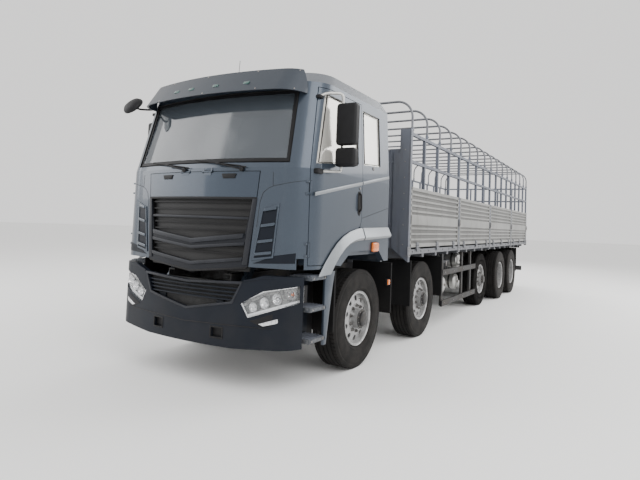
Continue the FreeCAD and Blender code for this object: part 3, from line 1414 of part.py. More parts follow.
def front_bumper():
    ahead = forward(D.front_reach) - D.overrun
    rear = forward(D.bumper_end)
    wall = cut("bumper_wall", bumper_form("bumper_outside", size_of(0)),
               [bumper_form("bumper_inside", D.bumper_wall)])
    face = prism("bumper_face", "Y", mirror_points([
        (size_of(0), D.bumper_top),
        (D.bumper_grille_half, D.bumper_grille_top),
        (D.lamp_step, D.bumper_corner_top),
        (D.bumper_half, D.bumper_corner_top),
        (D.bumper_half, D.bumper_corner_bottom),
        (D.bumper_grille_foot_half, D.bumper_bottom),
    ]), ahead, rear)
    grille = prism("bumper_grille_opening", "Y", mirror_points([
        (size_of(0), D.bumper_top - D.bumper_lip),
        (D.bumper_grille_half - D.bumper_lip, D.bumper_grille_top - D.bumper_lip),
        (D.bumper_grille_foot_half, D.bumper_grille_foot),
        (size_of(0), D.bumper_grille_point),
    ]), ahead, rear)
    tow = box("tow_opening", (D.tow_hole_track - D.tow_hole_width / 2, D.tow_hole_track + D.tow_hole_width / 2),
              (ahead, rear), (D.tow_hole_height - D.tow_hole_tall / 2, D.tow_hole_height + D.tow_hole_tall / 2))
    lamp = prism("lamp_opening", "Y", lamp_outline(), ahead, rear)
    opened = cut("bumper_opened", common("bumper_trimmed", [wall, face]),
                 [grille] + both_sides("tow_opening", tow) + both_sides("lamp_opening", lamp))
    band = cut("bumper_slat_band", bumper_form("slats_outside", D.bumper_wall * 0.3),
               [bumper_form("slats_inside", D.bumper_wall * 0.6)])
    bars = []
    count = 4
    for index in range(count):
        z = D.bumper_grille_foot + (D.bumper_top - D.bumper_lip - D.bumper_grille_foot) * ((index + 0.3) / count)
        bars.append(box("bumper_bar" + str(index), (-D.bumper_grille_half, D.bumper_grille_half), (ahead, rear),
                        (z, z + D.slat_height)))
    slats = common("bumper_slats", [band, group("bumper_bars", bars)])
    rail_front = forward(D.frame_front)
    inner_face = forward(D.front_reach - D.bumper_wall * 0.5 - D.bumper_nose_sweep * 0.25)
    mount = box("bumper_mount", (D.frame_half - D.rail_flange, D.frame_half), (inner_face, rail_front),
                (D.frame_bottom, D.bumper_grille_foot))
    low_mount = box("bumper_low_mount", (D.frame_half - D.rail_flange, D.frame_half),
                    (inner_face, rail_front), (D.tow_hole_height + D.tow_hole_tall, D.frame_bottom))
    node("front_bumper", fuse("front_bumper", [opened, slats] + both_sides("bumper_mount", mount)
                              + both_sides("bumper_low_mount", low_mount)))


def lamps():
    """Headlamps in the bumper and tail lamps under the deck."""
    ahead = forward(D.front_reach) - D.overrun
    band = cut("lamp_band", bumper_form("lamp_outside", D.lamp_set), [bumper_form("lamp_inside", D.bumper_wall)])
    headlamp = common("headlamp", [band, prism("lamp_edge", "Y", lamp_outline(), ahead, forward(D.bumper_end))])
    rear = body_rear_y - D.side_rail_thick
    tail = box("tail_lamp", (D.tail_lamp_track - D.tail_lamp_half, D.tail_lamp_track + D.tail_lamp_half),
               (rear, rear + D.tail_lamp_depth * 0.8),
               (D.side_rail_bottom - D.tail_lamp_height, D.side_rail_bottom))
    node("lamps", group("lamps", both_sides("headlamp", headlamp) + both_sides("tail_lamp", tail)))


def cab_steps():
    y = (forward(D.step_front), forward(D.step_rear))
    plate = box("step_back", (D.step_inner - D.step_plate, D.step_inner), y,
                (D.step_top - D.step_pitch * 2 - D.step_thick, D.step_top))
    pieces = [plate]
    for index in range(3):
        top = D.step_top - D.step_pitch * index
        pieces.append(box("tread" + str(index), (D.step_inner - D.step_plate, D.step_outer), y,
                          (top - D.step_thick, top)))
    middle = (y[0] + y[1]) / 2
    bracket_z = D.frame_bottom + D.frame_height / 4
    pieces.append(box("step_bracket", (D.frame_half, D.step_inner - D.step_plate / 2),
                      (middle, middle + D.bracket_height), (bracket_z, bracket_z + D.bracket_height)))
    left = fuse("steps", pieces)
    node("cab_steps", group("cab_steps", both_sides("steps", left)))


def mudguards():
    solids = []
    bracket_z = D.frame_bottom + D.frame_height * 0.6
    second_y = behind(D.second_axle)
    reach = D.guard_rear + D.guard_thick
    places = [
        ("front", forward(D.guard_front) - D.guard_thick, D.guard_top),
        ("middle", behind(D.guard_rear), D.guard_top),
        ("second_front", second_y - reach, D.guard_top),
        ("second_rear", second_y + D.guard_rear, D.guard_top),
        ("drive_rear", behind(D.fifth_axle) + D.tyre_radius + D.guard_thick, D.guard_top),
    ]
    for which, y, top in places:
        sheet_y = (y, y + D.guard_thick)
        flap = box("guard_" + which, (D.guard_inner, D.guard_outer), sheet_y, (D.guard_bottom, top))
        arm = box("guard_arm_" + which, (D.frame_half, D.guard_inner), sheet_y,
                  (bracket_z, bracket_z + D.bracket_height))
        solids += both_sides("mudguard_" + which, fuse("mudguard_" + which, [flap, arm]))
    node("mudguards", group("mudguards", solids))


# under the body

def bearer_y(number):
    """Front of a cross bearer, counted from the headboard."""
    return body_front_y + D.sleeper_width + D.sleeper_pitch * number


def side_guards():
    inner = D.side_guard_out - D.side_guard_thick
    y = (behind(D.side_guard_front), behind(D.side_guard_rear))
    rails = []
    for which, top in (("upper", D.side_guard_top), ("lower", D.side_guard_foot)):
        rails.append(box("side_rail_" + which, (inner, D.side_guard_out), y, (top - D.side_guard_tall, top)))
    for number in (3, 5, 6):
        post_y = bearer_y(number)
        rails.append(box("side_post" + str(number), (inner - D.side_guard_thick, inner),
                         (post_y, post_y + D.sleeper_width), (D.side_guard_foot - D.side_guard_tall, sleeper_bottom)))
    left = fuse("side_guard", rails)
    node("side_guards", group("side_guards", both_sides("side_guard", left)))


def tanks():
    """Air tanks across the left side with the battery box above them, and the fuel tank on the right."""
    start = D.frame_half + D.bracket_height
    solids = []
    for index in range(2):
        y = behind(D.air_tank_front + D.air_tank_pitch * index)
        solids.append(rod("air_tank" + str(index), "X", (start, y, D.air_tank_height), D.air_tank_radius,
                          D.air_tank_length))
    low_y = behind(D.upper_tank_back - D.air_tank_radius)
    solids.append(rod("air_tank_rear", "X", (start, low_y, D.air_tank_height), D.air_tank_radius,
                      D.air_tank_length))
    solids.append(rod("air_tank_upper", "X", (start, behind(D.upper_tank_back), D.upper_tank_height),
                      D.air_tank_radius, D.air_tank_length))
    carrier = box("tank_carrier", (D.frame_half, start + D.bracket_height),
                  (behind(D.air_tank_front - D.air_tank_radius), behind(D.upper_tank_back + D.air_tank_radius)),
                  (D.air_tank_height - D.bracket_height / 2, D.frame_bottom + D.bracket_height))
    solids.append(carrier)
    upper_carrier = box("upper_tank_carrier", (D.frame_half, start + D.bracket_height),
                        (behind(D.upper_tank_back) - D.bracket_height, behind(D.upper_tank_back) + D.bracket_height),
                        (D.frame_bottom, D.upper_tank_height))
    solids.append(upper_carrier)
    air = fuse("air_tanks", solids)
    fuel_y = (behind(D.fuel_tank_front), behind(D.fuel_tank_front + D.fuel_tank_length))
    fuel = box("fuel_tank_block", (-D.fuel_tank_out, -start), fuel_y, (D.fuel_tank_bottom, D.fuel_tank_top))
    rounded = doc.addObject("Part::Fillet", "fuel_tank_round")
    rounded.Base = fuel
    rounded.Edges = [(edge, D.fuel_tank_round.value, D.fuel_tank_round.value) for edge in (10, 12)]
    brackets = []
    for index, share in enumerate((0.15, 0.8)):
        y = behind(D.fuel_tank_front + D.fuel_tank_length * share)
        brackets.append(box("fuel_bracket" + str(index), (-start - D.bracket_height, -D.frame_half),
                            (y, y + D.bracket_height), (D.frame_bottom, D.frame_bottom + D.bracket_height * 2)))
    battery_y = (behind(D.battery_front), behind(D.battery_front + D.battery_length))
    battery = box("battery_case", (D.frame_half, D.battery_out), battery_y,
                  (D.frame_bottom + D.bracket_height, D.battery_top))
    node("tanks", group("tanks", [air, battery, fuse("fuel_tank", [rounded] + brackets)]))


# cargo body

sleeper_bottom = frame_top + D.sleeper_width * 1.2


def board_spans():
    """Front and rear of each board on one side, between the posts."""
    spans = []
    for index in range(4):
        start = body_front_y + bay * index
        low = start + D.post_width / 2 + D.panel_gap
        high = start + bay - D.post_width / 2 - D.panel_gap
        if index == 0:
            low = start + D.headboard_thick + D.panel_gap
        if index == 3:
            high = start + bay - D.post_width - D.panel_gap
        spans.append((low, high))
    return spans


hinge_x = D.body_half + D.hinge_out
hinge_z = D.deck_top - D.hinge_down
hinge_places = (0.12, 0.5, 0.88)


def deck():
    """Load floor, cross bearers, longitudinal bearers and the rails round the edge with hinge lugs."""
    inside = D.body_half - D.side_rail_thick
    front = body_front_y + D.headboard_thick
    floor = box("floor", (-inside, inside), (front, body_rear_y), (D.deck_top - D.deck_thick, D.deck_top))
    solids = [floor]
    side = box("side_rail", (inside, D.body_half), (front, body_rear_y), (D.side_rail_bottom, D.deck_top))
    solids += both_sides("side_rail", side)
    solids.append(box("rear_rail", (-inside, inside), (body_rear_y - D.side_rail_thick, body_rear_y),
                      (D.side_rail_bottom, D.deck_top)))
    count = 16
    for index in range(count):
        y = bearer_y(index)
        solids.append(box("bearer" + str(index), (-inside, inside), (y, y + D.sleeper_width),
                          (sleeper_bottom, D.deck_top - D.deck_thick)))
    long_bearer = box("long_bearer", (D.frame_half - D.sleeper_width, D.frame_half),
                      (body_front_y, body_rear_y - D.frame_tail), (frame_top, sleeper_bottom))
    solids += both_sides("long_bearer", long_bearer)
    lugs = []
    for board, (low, high) in enumerate(board_spans()):
        for place_index, share in enumerate(hinge_places):
            y = low + (high - low) * share
            lugs.append(side_lugs(str(board) + "_" + str(place_index), y))
    for lug in lugs:
        solids += both_sides(lug.Name, lug)
    for index, share in enumerate((-0.75, -0.25, 0.25, 0.75)):
        solids.append(rear_lugs(str(index), D.body_half * share))
    node("deck", fuse("deck", solids))


def side_lugs(tag, y):
    """A pair of lugs on the side rail with the pin between them."""
    half = D.hinge_width / 2 + D.running_gap
    cheek = D.hinge_width / 5
    parts = [rod("lug_pin" + tag, "Y", (hinge_x, y - half - cheek, hinge_z), D.hinge_pin_radius,
                 (half + cheek) * 2)]
    for name, low in (("front", y - half - cheek), ("rear", y + half)):
        parts.append(rod("lug_" + name + tag, "Y", (hinge_x, low, hinge_z), D.hinge_radius, cheek))
        parts.append(box("lug_web_" + name + tag, (D.body_half - D.hinge_out, hinge_x), (low, low + cheek),
                         (hinge_z - D.hinge_radius * 0.8, hinge_z + D.hinge_radius * 0.8)))
    return fuse("side_lugs" + tag, parts)


def rear_lugs(tag, x):
    half = D.hinge_width / 2 + D.running_gap
    cheek = D.hinge_width / 5
    y = body_rear_y + D.hinge_out
    parts = [rod("rear_pin" + tag, "X", (x - half - cheek, y, hinge_z), D.hinge_pin_radius, (half + cheek) * 2)]
    for name, low in (("low", x - half - cheek), ("high", x + half)):
        parts.append(rod("rear_lug_" + name + tag, "X", (low, y, hinge_z), D.hinge_radius, cheek))
        parts.append(box("rear_web_" + name + tag, (low, low + cheek), (body_rear_y - D.hinge_out, y),
                         (hinge_z - D.hinge_radius * 0.8, hinge_z + D.hinge_radius * 0.8)))
    return fuse("rear_lugs" + tag, parts)


def side_boards():
    board_z = (D.deck_top + D.panel_gap, D.deck_top + D.panel_gap + D.board_height)
    for index, (low, high) in enumerate(board_spans()):
        name = "board_" + str(index + 1)
        panel = box(name + "_panel", (D.body_half - D.board_thick, D.body_half), (low, high), board_z)
        pieces = [panel]
        bores = []
        for place_index, share in enumerate(hinge_places):
            y = low + (high - low) * share
            start = y - D.hinge_width / 2
            span = (start, start + D.hinge_width)
            tag = name + "_" + str(place_index)
            pieces.append(box(tag + "_strap", (D.body_half - D.hinge_strap / 2, D.body_half + D.hinge_strap),
                              span, (board_z[0], board_z[0] + D.hinge_strap_height)))
            pieces.append(box(tag + "_link", (hinge_x - D.hinge_radius * 0.8, hinge_x + D.hinge_radius * 0.8), span,
                              (hinge_z, board_z[0] + D.hinge_strap)))
            pieces.append(rod(tag + "_barrel", "Y", (hinge_x, start, hinge_z), D.hinge_radius, D.hinge_width))
            bores.append(rod(tag + "_bore", "Y", (hinge_x, start, hinge_z), D.hinge_pin_radius + D.running_gap,
                             D.hinge_width))
        left = cut("board_left_" + str(index + 1), fuse(name + "_solid", pieces), [group(name + "_bores", bores)])
        node("board_left_" + str(index + 1), left)
        node("board_right_" + str(index + 1), mirrored("board_right_" + str(index + 1), left))


def tailgate():
    half = D.body_half - D.post_depth - D.panel_gap
    board_z = (D.deck_top + D.panel_gap, D.deck_top + D.panel_gap + D.board_height)
    y = body_rear_y + D.hinge_out
    pieces = [box("tailgate_panel", (-half, half), (body_rear_y - D.board_thick, body_rear_y), board_z)]
    bores = []
    for index, share in enumerate((-0.75, -0.25, 0.25, 0.75)):
        start = D.body_half * share - D.hinge_width / 2
        span = (start, start + D.hinge_width)
        tag = "tailgate_" + str(index)
        pieces.append(box(tag + "_strap", span, (body_rear_y - D.hinge_strap / 2, body_rear_y + D.hinge_strap),
                          (board_z[0], board_z[0] + D.hinge_strap_height)))
        pieces.append(box(tag + "_link", span, (y - D.hinge_radius * 0.8, y + D.hinge_radius * 0.8),
                          (hinge_z, board_z[0] + D.hinge_strap)))
        pieces.append(rod(tag + "_barrel", "X", (start, y, hinge_z), D.hinge_radius, D.hinge_width))
        bores.append(rod(tag + "_bore", "X", (start, y, hinge_z), D.hinge_pin_radius + D.running_gap, D.hinge_width))
    node("tailgate", cut("tailgate", fuse("tailgate_solid", pieces), [group("tailgate_bores", bores)]))


def headboard():
    """Ribbed steel wall behind the cab, with a taller post at each corner."""
    y = (body_front_y, body_front_y + D.headboard_thick)
    wall = prism("headboard_wall", "Y", mirror_points([
        (D.headboard_half, D.headboard_top),
        (D.headboard_half, D.headboard_bottom),
    ]), y[0] + D.headboard_rib, y[1])
    ear = prism("headboard_ear", "Y", [
        (D.headboard_half * 0.92, D.headboard_bottom),
        (D.body_half - D.panel_gap, D.headboard_foot),
        (D.body_half, D.headboard_foot),
        (D.body_half, D.headboard_ear),
        (D.headboard_half, D.headboard_ear),
        (D.headboard_half, D.headboard_top - D.headboard_thick),
        (D.headboard_half * 0.92, D.headboard_top - D.headboard_thick),
    ], y[0], y[1])
    ribs = []
    for index, share in enumerate((0.1, 0.34, 0.58, 0.82)):
        x = D.headboard_half * share
        ribs += both_sides("headboard_rib" + str(index), box(
            "headboard_rib" + str(index), (x, x + D.headboard_rib_width), (y[0], y[0] + D.headboard_rib * 2),
            (D.headboard_bottom, D.headboard_top - D.headboard_rib)))
    body = fuse("headboard", [wall] + both_sides("headboard_ear", ear) + ribs)
    node("headboard", body)


def stake_frame():
    """Corner and bay posts with the rack's rails and pickets between them."""
    outer = D.body_half
    inner = D.body_half - D.post_depth
    board_top = D.deck_top + D.panel_gap * 2 + D.board_height
    tube = D.rack_tube
    rail_x = (inner + D.hinge_strap, inner + D.hinge_strap + tube)
    front = body_front_y + D.headboard_thick
    left = []
    for index in range(1, 5):
        y = body_front_y + bay * index
        low = y - D.post_width / 2 if index < 4 else y - D.post_width
        left.append(box("post" + str(index), (inner, outer), (low, low + D.post_width), (D.deck_top, board_top)))
        left.append(box("stake" + str(index), rail_x, (low + tube / 2, low + D.post_width - tube / 2),
                        (D.deck_top, D.rack_top)))
    for name, top in (("top", D.rack_top), ("middle", D.rack_middle)):
        left.append(box("rack_rail_" + name, rail_x, (front, body_rear_y), (top - tube, top)))
    for index in range(16):
        if index % 4 != 0:
            y = body_front_y + bay / 4 * index
            left.append(box("picket" + str(index), rail_x, (y - tube / 2, y + tube / 2), (board_top, D.rack_top)))
    half = fuse("side_rack", left)
    across = []
    for name, top in (("top", D.rack_top), ("middle", D.rack_middle)):
        across.append(box("rear_rail_" + name, (-rail_x[1], rail_x[1]), (body_rear_y - tube, body_rear_y),
                          (top - tube, top)))
    for index, share in enumerate((-0.66, -0.33, 0, 0.33, 0.66)):
        x = rail_x[1] * share
        across.append(box("rear_picket" + str(index), (x - tube / 2, x + tube / 2), (body_rear_y - tube, body_rear_y),
                          (board_top, D.rack_top)))
    node("stake_frame", fuse("stake_frame", both_sides("side_rack", half) + across))


def bow_path():
    """Half round hoop's centre line: up from one rail, over and down to the other."""
    sketch = doc.addObject("Sketcher::SketchObject", "bow_path")
    foot_x = D.body_half - D.post_depth + D.hinge_strap + D.rack_tube / 2
    top = D.bow_top - D.bow_radius
    bend_x = foot_x - D.bow_bend
    bend_z = top - D.bow_bend
    corners = [(foot_x, D.rack_top), (foot_x, bend_z), (bend_x, top), (-bend_x, top), (-foot_x, bend_z),
               (-foot_x, D.rack_top)]
    points = [FreeCAD.Vector(size_of(x).value, size_of(z).value, 0) for x, z in corners]
    for index in range(5):
        if index in (1, 3):
            sketch.addGeometry(arc_between(points[index], points[index + 1], D.bow_bend.value), False)
        else:
            sketch.addGeometry(Part.LineSegment(points[index], points[index + 1]), False)
    for index in range(5):
        if index < 4:
            sketch.addConstraint(Sketcher.Constraint("Coincident", index, 2, index + 1, 1))
        if index in (1, 3):
            sketch.addConstraint(Sketcher.Constraint("Radius", index, D.bow_bend.value))
            bind(sketch, "Constraints[" + str(sketch.ConstraintCount - 1) + "]", D.bow_bend)
    ends = [(0, 1)] + [(index, 2) for index in range(5)]
    for (edge, end), (x, z) in zip(ends, corners):
        for kind, size in (("DistanceX", x), ("DistanceY", z)):
            sketch.addConstraint(Sketcher.Constraint(kind, -1, 1, edge, end, size_of(size).value))
            bind(sketch, "Constraints[" + str(sketch.ConstraintCount - 1) + "]", size)
    sketch.Placement = FreeCAD.Placement(FreeCAD.Vector(), FreeCAD.Rotation(FreeCAD.Vector(1, 0, 0), 90))
    return sketch, foot_x


def bows():
    path, foot_x = bow_path()
    ring = doc.addObject("Part::Circle", "bow_section")
    bind(ring, "Radius", D.bow_radius)
    place(ring, foot_x, 0, D.rack_top)
    hoop = doc.addObject("Part::Sweep", "bow")
    hoop.Sections = [ring]
    hoop.Spine = (path, ["Edge1", "Edge2", "Edge3", "Edge4", "Edge5"])
    hoop.Solid = True
    hoop.Frenet = False
    hoops = []
    for index in range(16):
        y = body_front_y + D.headboard_thick + D.bow_radius * 2 + (bay / 4) * index
        hoops.append(copy_at("bow" + str(index), hoop, 0, y, 0))
    hoops.append(copy_at("bow_rear", hoop, 0, body_rear_y - D.rack_tube / 2, 0))
    node("bows", group("bows", hoops))


def cargo_body():
    deck()
    side_boards()
    tailgate()
    headboard()
    stake_frame()
    bows()


def check_objects():
    for thing in doc.Objects:
        if "Invalid" in thing.State or "Error" in thing.State:
            raise RuntimeError(thing.Name + " failed: " + str(thing.State))
    for thing in NODES:
        if thing.Shape.isNull() or not thing.Shape.isValid():
            raise RuntimeError(thing.Label + " has no valid shape")
        if not thing.Shape.Solids:
            raise RuntimeError(thing.Label + " has no solid")


def export_nodes():
    os.makedirs("parts", exist_ok=True)
    for thing in NODES:
        thing.Shape.exportStep("parts/" + thing.Label + ".step")


def main():
    wheels()
    knuckles()
    axle_beams()
    leaf_springs()
    chassis_frame()
    engine()
    cab()
    front_bumper()
    lamps()
    cab_steps()
    mudguards()
    side_guards()
    tanks()
    cargo_body()
    doc.recompute()
    check_objects()
    export_nodes()


main()
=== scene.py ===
"""Looks of a five-axle stake truck: finishes for its solid pieces, and modelled pieces for what they leave out.

Metres. The front faces -Y, the truck's left is +X and Z = 0 is the ground.
"""
import math
import bmesh
import bpy
from mathutils import Matrix, Vector


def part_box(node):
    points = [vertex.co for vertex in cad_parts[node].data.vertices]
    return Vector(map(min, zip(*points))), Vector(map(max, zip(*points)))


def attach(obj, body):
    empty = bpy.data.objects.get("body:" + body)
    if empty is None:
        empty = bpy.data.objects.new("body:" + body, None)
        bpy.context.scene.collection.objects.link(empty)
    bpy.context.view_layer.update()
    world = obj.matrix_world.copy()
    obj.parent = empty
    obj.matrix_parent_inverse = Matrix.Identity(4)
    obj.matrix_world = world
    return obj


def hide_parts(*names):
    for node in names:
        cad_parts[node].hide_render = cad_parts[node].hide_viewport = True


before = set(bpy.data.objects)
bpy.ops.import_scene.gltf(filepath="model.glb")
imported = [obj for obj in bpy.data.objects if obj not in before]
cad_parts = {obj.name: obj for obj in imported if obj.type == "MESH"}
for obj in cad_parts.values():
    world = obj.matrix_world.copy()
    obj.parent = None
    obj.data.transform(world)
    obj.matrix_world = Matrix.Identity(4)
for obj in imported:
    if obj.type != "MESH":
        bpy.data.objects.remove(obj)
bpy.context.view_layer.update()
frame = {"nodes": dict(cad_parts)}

bl_info = {
    "name": "Stake truck looks",
    "version": (1, 0, 0),
    "blender": (4, 5, 0),
    "location": "3D View > Sidebar > Stake truck",
    "description": "Models and finishes a five-axle stake truck around its fixed frame",
    "category": "Object",
}

SIDES = (("left", 1), ("right", -1))
AXLES = ("first", "second", "third", "fourth", "fifth")


# places taken from the frame

def low(node):
    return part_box(node)[0]


def high(node):
    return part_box(node)[1]


def middle(node):
    return (low(node) + high(node)) / 2


AXLE_Y = {which: middle(f"tyre_{which}_left").y for which in AXLES}
AXLE_HEIGHT = middle("tyre_first_left").z
TYRE_RADIUS = high("tyre_first_left").z - AXLE_HEIGHT
FIRST_Y = AXLE_Y["first"]
CAB_HALF = high("cab_shell").x
BUMPER_FRONT = low("front_bumper").y
BODY_HALF = high("headboard").x
BODY_FRONT = low("headboard").y
BODY_REAR = high("tailgate").y
DECK_TOP = low("board_left_1").z


class Nose:
    """The plan curve of a rounded front: how far the skin lies behind its foremost point at a place across."""

    def __init__(self, half, nose_half, nose_sweep, corner_sweep):
        self.nose_half = nose_half
        self.sweep = corner_sweep
        self.front_radius = (nose_half ** 2 + nose_sweep ** 2) / (2 * nose_sweep)
        corner_x = half - nose_half
        corner_y = corner_sweep - nose_sweep
        self.corner_radius = (corner_x ** 2 + corner_y ** 2) / (2 * corner_x)
        self.corner_middle = half - self.corner_radius

    def back(self, across):
        across = abs(across)
        if across <= self.nose_half:
            return self.front_radius - math.sqrt(self.front_radius ** 2 - across ** 2)
        reach = self.corner_radius ** 2 - (across - self.corner_middle) ** 2
        return self.sweep - math.sqrt(max(reach, 0.0))


CAB_NOSE = Nose(CAB_HALF, 0.98, 0.12, 0.40)
BUMPER_NOSE = Nose(high("front_bumper").x, 0.95, 0.11, 0.42)
SCREEN_FOOT = 2.08
ROOF_EDGE = 2.94
SKIRT = 1.05
SCREEN_LEAN = (1.40 - 1.19) / (ROOF_EDGE - SCREEN_FOOT)
PANEL_LEAN = 0.015 / (SCREEN_FOOT - SKIRT)


def cab_skin(across, height):
    """Place along Y of the cab's front skin."""
    lean = PANEL_LEAN * (height - SKIRT)
    if height > SCREEN_FOOT:
        lean = PANEL_LEAN * (SCREEN_FOOT - SKIRT) + SCREEN_LEAN * (height - SCREEN_FOOT)
    return FIRST_Y - 1.415 + lean + CAB_NOSE.back(across)


def bumper_skin(across, height):
    """Place along Y of the bumper's face."""
    return BUMPER_FRONT + BUMPER_NOSE.back(across)


# forms: mesh data about the origin that pieces take in

def form_from(mesh):
    data = bpy.data.meshes.new("form")
    mesh.to_mesh(data)
    mesh.free()
    return data


def rounded(mesh, edges, round_off, segments=2):
    bmesh.ops.bevel(mesh, geom=edges, offset=round_off, offset_type="OFFSET", segments=segments, profile=0.5,
                    affect="EDGES", material=-1, clamp_overlap=True)


def block(size, round_off=0.0, segments=2):
    """A box about its middle."""
    mesh = bmesh.new()
    bmesh.ops.create_cube(mesh, size=1.0)
    bmesh.ops.scale(mesh, vec=Vector(size), verts=mesh.verts)
    if round_off:
        rounded(mesh, mesh.edges[:], round_off, segments)
    return form_from(mesh)


def rod(radius, length, sides=20, round_off=0.0, end_radius=None):
    """A round bar from the origin up along Z."""
    mesh = bmesh.new()
    tip = radius if end_radius is None else end_radius
    bmesh.ops.create_cone(mesh, cap_ends=True, cap_tris=False, segments=sides, radius1=radius, radius2=tip,
                          depth=length)
    bmesh.ops.translate(mesh, vec=(0, 0, length / 2), verts=mesh.verts)
    if round_off:
        ends = [edge for edge in mesh.edges if abs(edge.verts[0].co.z - edge.verts[1].co.z) < length / 2]
        rounded(mesh, ends, round_off)
    return form_from(mesh)


def lathe(profile, steps=48, closed=False):
    """A shape turned round X from points (along, radius)."""
    mesh = bmesh.new()
    verts = [mesh.verts.new((along, 0, radius)) for along, radius in profile]
    edges = [mesh.edges.new(pair) for pair in zip(verts, verts[1:])]
    if closed:
        edges.append(mesh.edges.new((verts[-1], verts[0])))
    bmesh.ops.spin(mesh, geom=verts + edges, cent=(0, 0, 0), axis=(1, 0, 0), angle=math.tau, steps=steps,
                   dvec=(0, 0, 0), use_merge=True)
    bmesh.ops.remove_doubles(mesh, verts=mesh.verts, dist=1e-6)
    return form_from(mesh)


def pushed(mesh, reach):
    """Gives the faces of a mesh their thickness along a vector."""
    made = bmesh.ops.extrude_face_region(mesh, geom=mesh.faces[:])["geom"]
    moved = [part for part in made if isinstance(part, bmesh.types.BMVert)]
    bmesh.ops.translate(mesh, vec=reach, verts=moved)


def plate(outline, thickness, round_off=0.0, slices=0.0, segments=2):
    """An outline in X and Y, pushed up along Z. Slices across X let it be bent later."""
    mesh = bmesh.new()
    mesh.faces.new([mesh.verts.new((x, y, 0)) for x, y in outline])
    pushed(mesh, (0, 0, thickness))
    if round_off:
        rounded(mesh, mesh.edges[:], round_off, segments)
    if slices:
        slice_across(mesh, slices)
    return form_from(mesh)


def ring_plate(outer, inner, thickness, slices=0.0, round_off=0.0):
    """A frame between two outlines with as many points, pushed up along Z."""
    mesh = bmesh.new()
    loops = []
    for outline in (outer, inner):
        verts = [mesh.verts.new((x, y, 0)) for x, y in outline]
        loops += [mesh.edges.new(pair) for pair in zip(verts, verts[1:] + verts[:1])]
    bmesh.ops.bridge_loops(mesh, edges=loops)
    pushed(mesh, (0, 0, thickness))
    if round_off:
        sharp = [edge for edge in mesh.edges if edge.calc_face_angle(0) > math.radians(50)]
        rounded(mesh, sharp, round_off, 1)
    if slices:
        slice_across(mesh, slices)
    return form_from(mesh)


def strip_through(lines, thickness):
    """A folded strip through lines with as many points each, pushed out along X."""
    mesh = bmesh.new()
    rows = []
    for line in lines:
        verts = [mesh.verts.new(place) for place in line]
        rows.append([mesh.edges.new(pair) for pair in zip(verts, verts[1:])])
    for first, second in zip(rows, rows[1:]):
        bmesh.ops.bridge_loops(mesh, edges=first + second)
    pushed(mesh, (thickness, 0, 0))
    return form_from(mesh)


def slice_across(mesh, pitch):
    reach = max(abs(vert.co.x) for vert in mesh.verts)
    count = int(reach / pitch) + 1
    for number in range(-count, count + 1):
        bmesh.ops.bisect_plane(mesh, geom=mesh.verts[:] + mesh.edges[:] + mesh.faces[:], dist=1e-5,
                               plane_co=(number * pitch, 0, 0), plane_no=(1, 0, 0))


def pipe(points, radius, bend=0.0, sides=3):
    """A tube along straight runs with rounded corners."""
    points = [Vector(point) for point in points]
    track = [points[0]]
    for before, corner, after in zip(points, points[1:], points[2:]):
        reach = min(bend, (corner - before).length * 0.48, (after - corner).length * 0.48)
        start = corner + (before - corner).normalized() * reach
        end = corner + (after - corner).normalized() * reach
        for step in range(7):
            share = step / 6
            track.append(start.lerp(corner, share).lerp(corner.lerp(end, share), share))
    track.append(points[-1])
    curve = bpy.data.curves.new("pipe", "CURVE")
    curve.dimensions = "3D"
    curve.bevel_depth = radius
    curve.bevel_resolution = sides
    curve.use_fill_caps = True
    spline = curve.splines.new("POLY")
    spline.points.add(len(track) - 1)
    for spot, place in zip(spline.points, track):
        spot.co = (*place, 1)
    holder = bpy.data.objects.new("pipe", curve)
    data = bpy.data.meshes.new_from_object(holder)
    bpy.data.objects.remove(holder)
    bpy.data.curves.remove(curve)
    return data


def shaped(form, change):
    """Moves every point of a form by a function of its place."""
    for vert in form.vertices:
        vert.co = change(vert.co.copy())
    return form


FRONT_VIEW = Matrix(((1, 0, 0, 0), (0, 0, 1, 0), (0, 1, 0, 0), (0, 0, 0, 1)))
SIDE_VIEW = Matrix(((0, 0, 1, 0), (1, 0, 0, 0), (0, 1, 0, 0), (0, 0, 0, 1)))
MIRROR = Matrix.Diagonal((-1, 1, 1, 1))
SIDEWAYS = Matrix.Rotation(math.pi / 2, 4, "Y")


def at(*place):
    return Matrix.Translation(Vector(place))


def turned(angle, axis):
    return Matrix.Rotation(angle, 4, axis)


def between(start, end):
    """Turns a form that stands on the origin along Z so that it runs from start towards end."""
    run = Vector(end) - Vector(start)
    return at(*start) @ run.to_track_quat("Z", "Y").to_matrix().to_4x4()


def on_skin(form, skin, proud=0.0):
    """Bends a form that was drawn in front view onto a skin: its own Z is how far it lies behind the face."""
    return shaped(form, lambda co: Vector((co.x, skin(co.x, co.y) + co.z - proud, co.y)))


